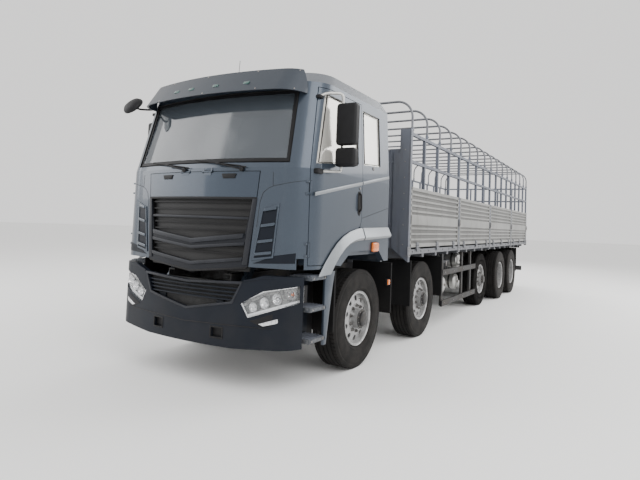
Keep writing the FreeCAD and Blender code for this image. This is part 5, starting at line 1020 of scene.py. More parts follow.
class STAKETRUCK_OT_tyres(bpy.types.Operator):
    """Tyres with grooves, shoulder blocks and moulded side walls"""
    bl_idname = "stake_truck.tyres"
    bl_label = "Tyres"

    def execute(self, context):
        sizes = context.scene.stake_truck.wheels
        half = (high("tyre_first_left").x - low("tyre_first_left").x) / 2
        form = tyre_form(sizes, half)
        for which in AXLES:
            for side, sign in SIDES:
                node = f"tyre_{which}_{side}"
                centre = middle(node)
                spread = (high(node).x - low(node).x) / 2 - half
                piece = Piece(f"tyre_tread_{which}_{side}")
                for place in {centre.x - spread, centre.x + spread}:
                    piece.add(form, "tyre_rubber", at(place, centre.y, centre.z))
                piece.settle(f"wheel_{which}_{side}", [node], wheel=centre)
        return {"FINISHED"}


HAND_HOLES = 10
HAND_HOLE_CIRCLE = 0.215


def oval(half_wide, half_tall, steps=28):
    return [(half_wide * math.cos(math.tau * step / steps), half_tall * math.sin(math.tau * step / steps))
            for step in range(steps)]


def wheel_nut(size):
    mesh = bmesh.new()
    parts = ((size * 1.35, size * 0.35, 20), (size, size * 1.3, 6), (size * 0.55, size * 2.0, 12))
    for radius, depth, sides in parts:
        made = bmesh.ops.create_cone(mesh, cap_ends=True, cap_tris=False, segments=sides, radius1=radius,
                                     radius2=radius * 0.94, depth=depth)["verts"]
        bmesh.ops.translate(mesh, vec=(0, 0, depth / 2), verts=made)
    return form_from(mesh)


class STAKETRUCK_OT_wheel_fittings(bpy.types.Operator):
    """Wheel nuts, hub caps, valves and bead rings"""
    bl_idname = "stake_truck.wheel_fittings"
    bl_label = "Wheel fittings"

    def execute(self, context):
        sizes = context.scene.stake_truck.wheels
        nut = wheel_nut(sizes.nut_size)
        hub = 0.110
        cap = lathe([(-0.012, hub * 0.98), (0.002, hub * 0.98), (0.008, hub * 0.90), (0.012, hub * 0.74),
                     (0.030, hub * 0.70), (0.038, hub * 0.60), (0.042, hub * 0.30), (0.042, 0)], 40)
        small_bolt = rod(0.0065, 0.012, 6, 0.001)
        bead = lathe([(0.0, 0.288), (0.006, 0.291), (0.010, 0.297), (0.006, 0.301), (-0.004, 0.301),
                      (-0.006, 0.291)], 72, closed=True)
        valve = rod(0.005, 0.075, 10, 0.001)
        # black rings round the hand holes paint the shade of larger oval holes on the silver disc
        hole_shade_ring = ring_plate(oval(0.032, 0.041), oval(0.0265, 0.0265), 0.002)
        for which in AXLES:
            twin = which in ("fourth", "fifth")
            for side, sign in SIDES:
                node = f"rim_{which}_{side}"
                centre = middle(f"tyre_{which}_{side}")
                outer = high(node).x if sign > 0 else -low(node).x
                hub_end = abs(centre.x) + 0.168
                flat, disc, lean = (0.024, 0.0875, 39.9) if twin else (0.100, 0.0840, -12.1)
                flat += abs(centre.x)
                disc += abs(centre.x)
                slant = turned(math.radians(lean), "Y") @ SIDEWAYS
                axle = at(0, centre.y, centre.z) @ (Matrix.Identity(4) if sign > 0 else turned(math.pi, "Z"))
                piece = Piece(f"wheel_fittings_{which}_{side}")
                for number in range(sizes.nut_count):
                    turn = axle @ turned(math.tau * number / sizes.nut_count, "X")
                    piece.add(nut, "hub_steel", turn @ at(flat, 0, sizes.nut_circle) @ SIDEWAYS)
                    piece.add(small_bolt, "bare_bolt", turn @ at(hub_end + 0.004, 0, hub * 0.84) @ SIDEWAYS)
                piece.add(cap, "hub_cap_and_hole_shade_black", axle @ at(hub_end, 0, 0))
                edge = outer - 0.002 if twin else abs(centre.x) + 0.120
                piece.add(bead, "wheel_silver", axle @ at(edge, 0, 0))
                # painted shade: a black ring round each hand hole
                for number in range(HAND_HOLES):
                    turn = axle @ turned(math.tau * number / HAND_HOLES, "X")
                    piece.add(hole_shade_ring, "hub_cap_and_hole_shade_black", turn @ at(disc, 0, HAND_HOLE_CIRCLE) @ slant)
                piece.add(valve, "bare_bolt", axle @ at(flat - 0.01, 0.066, 0.205) @ SIDEWAYS)
                piece.settle(f"wheel_{which}_{side}")
        return {"FINISHED"}


# the cab's front

GRILLE_SIDE = 1.44
GRILLE_POINT = 1.37


def v_bar(half_top, half_foot, top, point_top, tall, thickness):
    """A pointed bar across the front, drawn in front view."""
    outline = [(-half_top, top), (0, point_top), (half_top, top), (half_foot, top - tall), (0, point_top - tall),
               (-half_foot, top - tall)]
    return plate(outline, thickness, tall * 0.16, 0.11, 2)


class STAKETRUCK_OT_grille(bpy.types.Operator):
    """Frames and bars of the front panel's grilles"""
    bl_idname = "stake_truck.grille"
    bl_label = "Grille"

    def execute(self, context):
        depth = context.scene.stake_truck.front.trim_depth
        trim = Piece("grille_frames")
        for tall, top, point, half, proud in (
                (0.046, GRILLE_SIDE + 0.018, GRILLE_POINT + 0.018, 0.620, 0.018),
                (0.030, 1.378, 1.318, 0.630, 0.008), (0.034, 1.236, 1.165, 0.618, 0.012)):
            bar = v_bar(half, half - tall * 0.2, top, point, tall, depth + proud)
            trim.add(on_skin(bar, cab_skin, proud), "grey_plastic")
        side = plate([(0.690, 1.785), (0.735, 1.785), (0.668, 1.165), (0.612, 1.165), (0.640, 1.40)], depth, 0.004,
                     0.11)
        trim.add(on_skin(side, cab_skin, 0.009), "grey_plastic", both=True)
        lip = plate([(-0.735, 1.775), (0.735, 1.775), (0.728, 1.798), (-0.728, 1.798)], depth, 0.004, 0.11)
        trim.add(on_skin(lip, cab_skin, 0.006), "dark_plastic")
        middle_bar = plate([(-0.652, 1.588), (0.652, 1.588), (0.655, 1.611), (-0.655, 1.611)], 0.012, 0.003, 0.11)
        trim.add(on_skin(middle_bar, cab_skin, 0.001), "grey_plastic")
        foot = v_bar(0.672, 0.650, 1.150, 1.082, 0.020, depth)
        trim.add(on_skin(foot, cab_skin, 0.004), "dark_plastic")
        trim.settle("front_panel")
        mesh_piece = Piece("radiator_core")
        core = plate([(-0.66, 1.10), (0.66, 1.10), (0.70, 1.80), (-0.70, 1.80)], 0.006, 0.0, 0.11)
        mesh_piece.add(on_skin(core, cab_skin, -0.0455), "radiator_core")
        mesh_piece.settle("cab")
        return {"FINISHED"}


class STAKETRUCK_OT_corner_vents(bpy.types.Operator):
    """Dark vents with bright slats and the seams on the cab's front corners"""
    bl_idname = "stake_truck.corner_vents"
    bl_label = "Corner vents"

    def execute(self, context):
        vents = Piece("corner_vents")
        outline = [(0.790, 1.690), (0.960, 1.745), (0.925, 1.245), (0.712, 1.212)]
        inner = [(0.803, 1.672), (0.944, 1.716), (0.911, 1.262), (0.734, 1.236)]
        backing = plate(outline, 0.006, 0.001, 0.04)
        vents.add(on_skin(backing, cab_skin, 0.003), "bumper_paint", both=True)
        frame_ring = ring_plate(outline, inner, 0.013, 0.04, 0.002)
        vents.add(on_skin(frame_ring, cab_skin, 0.010), "cab_paint", both=True)
        for height, start, end in ((1.668, 0.815, 0.935), (1.520, 0.790, 0.925), (1.372, 0.765, 0.912),
                                   (1.258, 0.742, 0.905)):
            slat = plate([(start, height), (end, height + 0.022), (end + 0.004, height + 0.050),
                          (start + 0.006, height + 0.028)], 0.018, 0.004, 0.04)
            vents.add(on_skin(slat, cab_skin, 0.017), "cab_paint", both=True)
        wedge = plate([(0.940, 1.268), (1.125, 1.300), (1.122, 1.205), (0.720, 1.185)], 0.006, 0.0015, 0.04)
        vents.add(on_skin(wedge, cab_skin, 0.003), "bumper_paint", both=True)
        for points in (((0.742, 1.52), (0.762, 1.75), (0.790, 1.84), (0.840, 1.885), (0.905, 1.910), (1.165, 1.960)),
                       ((0.885, 1.905), (0.880, 2.035))):
            track = [Vector((x, cab_skin(x, z) + 0.0002, z)) for x, z in dense(points)]
            vents.add(pipe(track, 0.0022, 0.01, 1), "rubber_trim", both=True)
        vents.settle("cab")
        return {"FINISHED"}


def dense(points, pitch=0.03):
    """The same line with points close enough to follow a curved skin."""
    line = [points[0]]
    for start, end in zip(points, points[1:]):
        count = max(1, int(math.dist(start, end) / pitch))
        line += [(start[0] + (end[0] - start[0]) * step / count, start[1] + (end[1] - start[1]) * step / count)
                 for step in range(1, count + 1)]
    return line


class STAKETRUCK_OT_wipers(bpy.types.Operator):
    """Two wipers with arms, blades and covers at the windscreen's foot"""
    bl_idname = "stake_truck.wipers"
    bl_label = "Wipers"

    def execute(self, context):
        blade_half = context.scene.stake_truck.front.wiper_blade / 2
        wipers = Piece("wipers")
        for centre, pivot in ((-0.40, -0.16), (0.30, 0.56)):
            def skin_place(x, z, proud):
                return Vector((x, cab_skin(x, z) - proud, z))

            def blade_height(x):
                return 2.118 - (x - centre) * 0.12

            count = 12
            line = [skin_place(x, blade_height(x), 0.020)
                    for x in (centre + blade_half * (2 * step / count - 1) for step in range(count + 1))]
            wipers.add(pipe(line, 0.0075, 0.02, 1), "rubber_trim")
            spine = [point + Vector((0, -0.011, 0.004)) for point in line[1:-1]]
            wipers.add(pipe(spine, 0.0055, 0.02, 1), "dark_plastic")
            root = skin_place(pivot, 2.062, 0.022)
            grip = skin_place(centre, blade_height(centre), 0.036)
            knee = root.lerp(grip, 0.35) + Vector((0, -0.012, 0.0))
            wipers.add(pipe([root, knee, grip], 0.008, 0.05, 2), "dark_plastic")
            wipers.add(block((0.05, 0.022, 0.022), 0.006), "dark_plastic", at(*grip))
            wipers.add(rod(0.024, 0.030, 20, 0.005), "dark_plastic",
                       between(skin_place(pivot, 2.062, 0.0) + Vector((0, 0.004, 0)), root + Vector((0, -0.012, 0))))
        wipers.settle("cab")
        covers = Piece("wiper_covers")
        for start, end in ((-0.50, -0.34), (0.33, 0.50)):
            cover = plate([(start, 2.020), (end, 2.020), (end - 0.018, 1.975), (start + 0.018, 1.975)], 0.014, 0.004,
                          0.05)
            covers.add(on_skin(cover, cab_skin, 0.009), "dark_plastic")
        covers.settle("front_panel")
        return {"FINISHED"}


class STAKETRUCK_OT_roof(bpy.types.Operator):
    """Visor bolts, green spots that paint the visor's teal reflections, and the whip antenna"""
    bl_idname = "stake_truck.roof"
    bl_label = "Roof"

    def execute(self, context):
        roof = Piece("roof_fittings")
        visor_low, visor_high = low("sun_visor"), high("sun_visor")
        visor_nose = Nose(visor_high.x, 0.86, 0.10, 0.36)
        bolt = rod(0.009, 0.006, 12, 0.002)

        def visor_place(x, row):
            return Vector((x, visor_low.y + (1.42 - 1.26) * row + visor_nose.back(x),
                           visor_low.z + (visor_high.z - visor_low.z) * row))

        for row, shares in ((0.06, (-0.95, -0.62, 0.03, 0.62, 0.95)), (0.93, (-0.93, -0.55, -0.03, 0.55, 0.93))):
            for share in shares:
                spot = visor_place(visor_high.x * share, row)
                roof.add(bolt, "bare_bolt", between(spot + Vector((0, 0.003, 0)), spot + Vector((0, -0.01, 0.007))))
        # green blocks on the visor paint the teal reflections in it
        lens = block((0.072, 0.016, 0.034), 0.006, 3)
        for x in (-0.406, -0.179, 0.155, 0.524):
            roof.add(lens, "teal_reflection_spots", at(*visor_place(x, 0.38)) @ turned(math.radians(-34), "X"))
        base = Vector((0.09, FIRST_Y - 0.96, high("cab_shell").z - 0.004))
        roof.add(rod(0.018, 0.035, 16, 0.005, 0.010), "dark_plastic", at(*base))
        tip = base + Vector((0.012, 0.0, context.scene.stake_truck.front.antenna))
        roof.add(pipe([base, base.lerp(tip, 0.5), tip], 0.0028, 0.02, 1), "dark_plastic")
        roof.settle("cab")
        return {"FINISHED"}


SCREEN = [(-1.03, 2.125), (1.03, 2.125), (0.985, 2.855), (-0.985, 2.855)]


def side_skin(along, height):
    """Place along X of the cab's side at a height."""
    share = min(max((height - SCREEN_FOOT) / (ROOF_EDGE - SCREEN_FOOT), 0), 1)
    return CAB_HALF - 0.055 * share


def on_side(form, proud=0.0):
    """Lays a form that was drawn in side view, as (along, height, depth), on the cab's left side."""
    return shaped(form, lambda co: Vector((side_skin(co.x, co.y) - co.z + proud, co.x, co.y)))


def inset(outline, amount):
    """The outline drawn in towards its middle by about that much."""
    centre = Vector((sum(x for x, z in outline), sum(z for x, z in outline))) / len(outline)
    spots = []
    for x, z in outline:
        arm = Vector((x, z)) - centre
        spots.append((x - math.copysign(amount, arm.x), z - math.copysign(amount, arm.y)))
    return spots


class STAKETRUCK_OT_window_seals(bpy.types.Operator):
    """Rubber round the windscreen, the door glass and the sleeper's windows"""
    bl_idname = "stake_truck.window_seals"
    bl_label = "Window seals"

    def execute(self, context):
        seals = Piece("screen_seal")
        border = ring_plate(inset(SCREEN, -0.004), inset(SCREEN, 0.045), 0.004, 0.06)
        seals.add(on_skin(border, cab_skin, -0.0085), "dark_plastic")
        rim = ring_plate(inset(SCREEN, -0.012), inset(SCREEN, 0.010), 0.012, 0.06, 0.002)
        seals.add(on_skin(rim, cab_skin, 0.003), "rubber_trim")
        quarter = [(FIRST_Y - 0.165, 2.23), (FIRST_Y + 0.255, 2.257), (FIRST_Y + 0.255, 2.83),
                   (FIRST_Y - 0.165, 2.83)]
        frame_ring = ring_plate(inset(quarter, -0.016), inset(quarter, 0.014), 0.014, 0.0, 0.003)
        seals.add(on_side(frame_ring, 0.004), "rubber_trim", both=True)
        seals.settle("cab")
        door = [(FIRST_Y - 1.10, 2.13), (FIRST_Y - 0.29, 2.22), (FIRST_Y - 0.29, 2.83), (FIRST_Y - 0.925, 2.83)]
        for side, sign in SIDES:
            piece = Piece(f"door_seal_{side}")
            ring = on_side(ring_plate(inset(door, -0.010), inset(door, 0.014), 0.014, 0.0, 0.003), 0.003)
            piece.add(ring, "rubber_trim", Matrix() if sign > 0 else MIRROR)
            piece.settle(f"door_{side}")
        return {"FINISHED"}


CREASE_START = (-5.727, 1.832)
CREASE_RISE = 0.194


def crease(start, end):
    """The raised fold along the cab's side between two places along Y."""
    rise = [CREASE_START[1] + CREASE_RISE * (y - CREASE_START[0]) for y in (start, end)]
    outline = [(start, rise[0]), (end, rise[1]), (end, rise[1] - 0.034), (start, rise[0] - 0.034)]
    form = plate(outline, 0.012, 0.003)
    return on_side(form, 0.007)


DOOR_STRIP = (((-5.486, 1.085), (-5.380, 1.205), (-5.269, 1.308), (-5.160, 1.392), (-5.044, 1.455), (-4.910, 1.503),
               (-4.770, 1.532), (-4.655, 1.545)),
              ((-5.300, 1.105), (-5.222, 1.195), (-5.138, 1.270), (-5.040, 1.335), (-4.938, 1.378), (-4.830, 1.402),
               (-4.740, 1.412), (-4.655, 1.416)))
REAR_STRIP = (((-4.632, 1.546), (-4.438, 1.550), (-4.200, 1.556), (-3.985, 1.562)),
              ((-4.632, 1.417), (-4.430, 1.424), (-4.190, 1.434), (-3.960, 1.444)))


def wheel_strip(lines):
    """A proud strip over the front wheel: a broad face that leans upwards and a narrow one turned under."""
    outer, inner = ([Vector((0, y, z)) for y, z in line] for line in lines)
    rows = []
    for share, proud in ((0.0, 0.016), (0.10, 0.028), (0.80, 0.058), (1.0, 0.042)):
        rows.append([start.lerp(end, share) + Vector((CAB_HALF + proud, 0, 0)) for start, end in zip(outer, inner)])
    return strip_through(rows, -0.006)


class STAKETRUCK_OT_door_fittings(bpy.types.Operator):
    """Door handles, locks, the strips over the front wheels and the fold along the cab's side"""
    bl_idname = "stake_truck.door_fittings"
    bl_label = "Door fittings"

    def execute(self, context):
        door_front, door_rear = low("door_left").y, high("door_left").y
        for side, sign in SIDES:
            place = Matrix() if sign > 0 else MIRROR
            piece = Piece(f"door_fittings_{side}")
            piece.add(crease(door_front + 0.03, door_rear - 0.006), "strip_highlight_paint", place)
            piece.add(wheel_strip(DOOR_STRIP), "strip_highlight_paint", place)
            well = plate([(-4.738, 1.930), (-4.680, 1.936), (-4.668, 1.700), (-4.700, 1.668), (-4.738, 1.700)],
                         0.006, 0.0025)
            piece.add(on_side(well, 0.003), "rubber_trim", place)
            grip = pipe([(CAB_HALF - 0.004, -4.712, 1.915), (CAB_HALF + 0.026, -4.712, 1.900),
                         (CAB_HALF + 0.030, -4.706, 1.740), (CAB_HALF - 0.004, -4.700, 1.710)], 0.010, 0.03, 3)
            piece.add(grip, "dark_plastic", place)
            piece.add(rod(0.013, 0.008, 20, 0.002), "hub_steel", place @ at(CAB_HALF - 0.001, -4.703, 1.965)
                      @ SIDEWAYS)
            piece.settle(f"door_{side}")
        sides = Piece("cab_side_fittings")
        sides.add(crease(door_rear + 0.012, high("cab_shell").y - 0.008), "strip_highlight_paint", both=True)
        seam = [Vector((CAB_HALF + 0.0002, y, z)) for y, z in ((-4.630, 1.650), (-4.10, 1.760), (-3.962, 1.788))]
        sides.add(pipe(seam, 0.0024, 0.02, 1), "rubber_trim", both=True)
        sides.add(rod(0.020, 0.007, 24, 0.002), "hub_steel", at(side_skin(0, 2.214) - 0.001, -4.378, 2.214)
                  @ SIDEWAYS, both=True)
        sides.add(wheel_strip(REAR_STRIP), "strip_highlight_paint", both=True)
        flare = high("arch_flares").x
        sides.add(block((0.040, 0.150, 0.105), 0.018, 4), "lens_amber", at(flare + 0.010, -4.330, 1.335), both=True)
        sides.add(block((0.010, 0.165, 0.120), 0.004), "dark_plastic", at(flare, -4.330, 1.335), both=True)
        sides.settle("cab")
        return {"FINISHED"}


# mirrors

class STAKETRUCK_OT_mirrors(bpy.types.Operator):
    """Mirror heads with glass on bent tube arms"""
    bl_idname = "stake_truck.mirrors"
    bl_label = "Mirrors"

    def execute(self, context):
        width = 0.22
        inner = high("mirror_left").x - width
        heads = ((2.34, 2.75), (2.13, 2.316))
        head_y = -5.2375
        head_deep = 0.105
        for side, sign in SIDES:
            place = Matrix() if sign > 0 else MIRROR
            piece = Piece(f"mirror_heads_{side}")
            for foot, top in heads:
                tall = top - foot
                shell = block((width, head_deep, tall), 0.034, 5)
                shell = shaped(shell, lambda co: Vector((co.x, co.y * (1 - 0.25 * max(0, -co.y) / head_deep), co.z)))
                spot = at(inner + width / 2, head_y, (foot + top) / 2)
                piece.add(shell, "dark_plastic", place @ spot)
                glass = block((width - 0.036, 0.004, tall - 0.040), 0.0018, 1)
                piece.add(glass, "mirror_glass", place @ spot @ at(0, head_deep / 2 + 0.0005, 0))
                bezel = ring_plate(rectangle(width - 0.022, tall - 0.026), rectangle(width - 0.038, tall - 0.042),
                                   0.006, 0.0, 0.001)
                piece.add(bezel, "rubber_trim", place @ spot @ at(0, head_deep / 2 - 0.001, 0) @ FRONT_VIEW)
            stem_x = inner + 0.056
            upper = pipe([(1.125, -5.425, 2.785), (1.19, -5.37, 2.835), (stem_x, head_y - 0.01, 2.850),
                          (stem_x, head_y, 2.70)], 0.0145, 0.05, 3)
            lower = pipe([(1.225, -5.52, 2.060), (1.27, -5.36, 2.075), (stem_x, head_y, 2.085),
                          (stem_x, head_y, 2.15)], 0.0135, 0.04, 3)
            piece.add(upper, "tank_aluminium", place)
            piece.add(lower, "tank_aluminium", place)
            piece.add(rod(0.010, 0.06, 14), "dark_plastic", place @ at(stem_x, head_y, 2.30))
            piece.add(block((0.07, 0.10, 0.05), 0.014, 3), "dark_plastic", place @ at(1.225, -5.52, 2.060))
            piece.add(block((0.05, 0.07, 0.035), 0.010, 3), "dark_plastic", place @ at(1.150, -5.425, 2.790))
            piece.settle(f"door_{side}", [f"mirror_{side}"])
        round_piece = Piece("front_mirror_head")
        radius = 0.12
        head = at(-1.19, -5.725, 2.85) @ turned(math.radians(-38), "X")
        bowl = lathe([(0.066, 0), (0.062, radius * 0.45), (0.048, radius * 0.80), (0.024, radius * 0.97),
                      (0.008, radius), (0.0, radius * 0.97), (0.0, 0)], 48)
        round_piece.add(bowl, "dark_plastic", head @ at(0, 0.034, 0) @ turned(-math.pi / 2, "Z"))
        disc = rod(radius * 0.92, 0.004, 48, 0.001)
        round_piece.add(disc, "mirror_glass", head @ at(0, 0.0325, 0) @ turned(-math.pi / 2, "X"))
        arm = pipe([(-1.185, -5.715, 2.84), (-1.190, -5.640, 2.815), (-1.125, -5.530, 2.825), (-1.090, -5.466, 2.847)],
                   0.011, 0.06, 3)
        round_piece.add(arm, "dark_plastic")
        round_piece.add(block((0.05, 0.05, 0.03), 0.01, 3), "dark_plastic", at(-1.098, -5.486, 2.842))
        round_piece.settle("cab", ["front_mirror"])
        return {"FINISHED"}


def rectangle(width, height):
    return [(-width / 2, -height / 2), (width / 2, -height / 2), (width / 2, height / 2), (-width / 2, height / 2)]


# bumper and lamps

HEADLAMP = [(0.640, 0.815), (0.715, 0.690), (1.165, 0.845), (1.165, 1.005), (0.860, 0.945)]


class STAKETRUCK_OT_bumper(bpy.types.Operator):
    """Bumper lines, the lower grille's frame, tow covers and fog lamps"""
    bl_idname = "stake_truck.bumper"
    bl_label = "Bumper"

    def execute(self, context):
        trim = Piece("bumper_trim")
        outer = [(0, 0.985), (0.655, 1.017), (0.560, 0.808), (0, 0.706), (-0.560, 0.808), (-0.655, 1.017)]
        inner = [(0, 0.963), (0.628, 0.993), (0.540, 0.826), (0, 0.728), (-0.540, 0.826), (-0.628, 0.993)]
        frame_ring = ring_plate(outer, inner, 0.018, 0.11, 0.003)
        trim.add(on_skin(frame_ring, bumper_skin, 0.005), "grey_plastic")
        backing = plate([(-0.56, 0.72), (0.56, 0.72), (0.66, 1.00), (-0.66, 1.00)], 0.004, 0.0, 0.11)
        trim.add(on_skin(backing, bumper_skin, -0.052), "radiator_core")
        for side_share in (1, -1):
            line = [Vector((x * side_share, bumper_skin(x, z) - 0.001, z))
                    for x, z in dense(((0.0, 0.592), (0.22, 0.602), (0.733, 0.613), (1.15, 0.618)))]
            trim.add(pipe(line, 0.004, 0.02, 1), "dark_plastic")
        tow = ring_plate(rectangle(0.150, 0.110), rectangle(0.124, 0.084), 0.012, 0.05, 0.002)
        for sign in (1, -1):
            for form, proud in ((tow, 0.005), (plate(rectangle(0.146, 0.106), 0.004, 0.0, 0.05), -0.030)):
                moved = shaped(form.copy(), lambda co: Vector((co.x + 0.393 * sign, co.y + 0.527, co.z)))
                trim.add(on_skin(moved, bumper_skin, proud), "dark_plastic")
        pocket = [(0.745, 0.668), (0.870, 0.622), (1.040, 0.655), (1.125, 0.775), (1.080, 0.790)]
        trim.add(on_skin(plate(pocket, 0.006, 0.0015, 0.04), bumper_skin, 0.003), "dark_plastic", both=True)
        fog = plate([(0.835, 0.650), (0.885, 0.634), (1.010, 0.668), (1.055, 0.722), (0.985, 0.700)], 0.014, 0.004,
                    0.04)
        trim.add(on_skin(fog, bumper_skin, 0.011), "lamp_reflector", both=True)
        edge = plate([(0.665, 1.030), (0.855, 1.100 - 0.025), (1.205, 1.075), (1.205, 1.055), (0.860, 1.055),
                      (0.668, 1.012)], 0.010, 0.003, 0.04)
        trim.add(on_skin(edge, bumper_skin, 0.004), "bumper_paint", both=True)
        trim.settle("chassis")
        return {"FINISHED"}


class STAKETRUCK_OT_lamps(bpy.types.Operator):
    """Headlamps with reflectors behind a clear lens, and tail lamps"""
    bl_idname = "stake_truck.lamps"
    bl_label = "Lamps"

    def execute(self, context):
        deep = context.scene.stake_truck.front.lamp_depth
        lamps = Piece("head_and_tail_lamps")
        lens = on_skin(plate(inset(HEADLAMP, 0.002), 0.004, 0.0, 0.04), bumper_skin, -0.003)
        lamps.add(lens, "lens_clear", both=True)
        for outer, inner, finish in ((0.0005, 0.003, "dark_plastic"), (0.003, 0.012, "lamp_reflector")):
            wall = ring_plate(inset(HEADLAMP, outer), inset(HEADLAMP, inner), deep, 0.04)
            lamps.add(on_skin(wall, bumper_skin, -0.008), finish, both=True)
        back = on_skin(plate(inset(HEADLAMP, 0.001), 0.004, 0.0, 0.04), bumper_skin, -deep)
        lamps.add(back, "hub_steel", both=True)
        bowl = lathe([(0.0, 0.045), (-0.004, 0.049), (-0.004, 0.046), (0.010, 0.040), (0.024, 0.026),
                      (0.030, 0.012), (0.030, 0.0)], 40)
        bulb = rod(0.011, 0.022, 20, 0.005)
        for x, z, size in ((0.765, 0.790, 0.9), (0.875, 0.838, 1.0), (0.990, 0.880, 1.0), (1.095, 0.925, 0.8)):
            y = bumper_skin(x, z) + 0.016
            spot = at(x, y, z) @ turned(math.pi / 2, "Z") @ Matrix.Scale(size, 4)
            lamps.add(bowl, "lamp_reflector", spot, both=True)
            finish = "lens_amber" if x > 1.05 else "lamp_white"
            lamps.add(bulb, finish, at(x, y + 0.024, z) @ turned(math.pi / 2, "X"), both=True)
        strip = plate([(0.722, 0.704), (1.148, 0.852), (1.148, 0.874), (0.712, 0.722)], 0.012, 0.003, 0.04)
        lamps.add(on_skin(strip, bumper_skin, -0.010), "lamp_white", both=True)
        brow = plate([(0.668, 0.812), (0.866, 0.926), (1.148, 0.982), (1.148, 0.962), (0.872, 0.905), (0.680, 0.790)],
                     0.014, 0.003, 0.04)
        lamps.add(on_skin(brow, bumper_skin, -0.012), "hub_steel", both=True)
        lamps.add(block((0.030, 0.050, 0.065), 0.010, 3), "lens_amber", at(1.232, -3.862, 0.900), both=True)
        lamps.add(block((0.030, 0.060, 0.076), 0.006), "dark_plastic", at(1.216, -3.862, 0.900), both=True)
        rear = BODY_REAR - 0.0725
        tail_low, tail_high = 1.093, 1.213
        lamps.add(block((0.34, 0.030, 0.12), 0.006, 2), "dark_plastic", at(0.90, rear + 0.015, 1.153), both=True)
        for start, end, finish in ((0.742, 0.840, "lens_red"), (0.846, 0.944, "lens_amber"), (0.950, 0.998, "lamp_white"),
                                   (1.004, 1.058, "lens_red")):
            cell = block((end - start, 0.020, tail_high - tail_low - 0.022), 0.006, 3)
            lamps.add(cell, finish, at((start + end) / 2, rear + 0.036, 1.153), both=True)
        lamps.settle("chassis", ["lamps"])
        return {"FINISHED"}


# inside the cab

def cushion(size, crown, channels=(), channel_depth=0.008):
    """A padded block: rounded corners, sides pulled in between them, a crowned face along +Z and sewn channels."""
    mesh = bmesh.new()
    bmesh.ops.create_cube(mesh, size=2.0)
    bmesh.ops.subdivide_edges(mesh, edges=mesh.edges[:], cuts=15, use_grid_fill=True)
    for vert in mesh.verts:
        u, v, w = vert.co
        soft = [a * (1 - 0.34 * (b * b + c * c - b * b * c * c * 0.85) * 0.62)
                for a, b, c in ((u, v, w), (v, u, w), (w, u, v))]
        place = Vector(part * whole / 2 for part, whole in zip(soft, size))
        if w > 0:
            swell = (1 - u ** 4) * (1 - v ** 4)
            dip = sum(math.exp(-((v - channel) / 0.055) ** 2) for channel in channels)
            place.z += w * (crown * swell - channel_depth * min(dip, 1.0) * (1 - u ** 8))
        place.x -= math.copysign(0.010 * (1 - v * v), u) * abs(u)
        vert.co = place
    bmesh.ops.smooth_vert(mesh, verts=mesh.verts, factor=0.3, use_axis_x=True, use_axis_y=True, use_axis_z=True)
    return form_from(mesh)


def settle_pad(name, form, place):
    """Makes a padded piece of seat cloth with a smooth skin."""
    pad = Piece(name)
    pad.add(form, "seat_cloth", place)
    piece = pad.settle("cab", crease=80)
    smooth = piece.modifiers.new("soft skin", "SUBSURF")
    smooth.levels = smooth.render_levels = 1


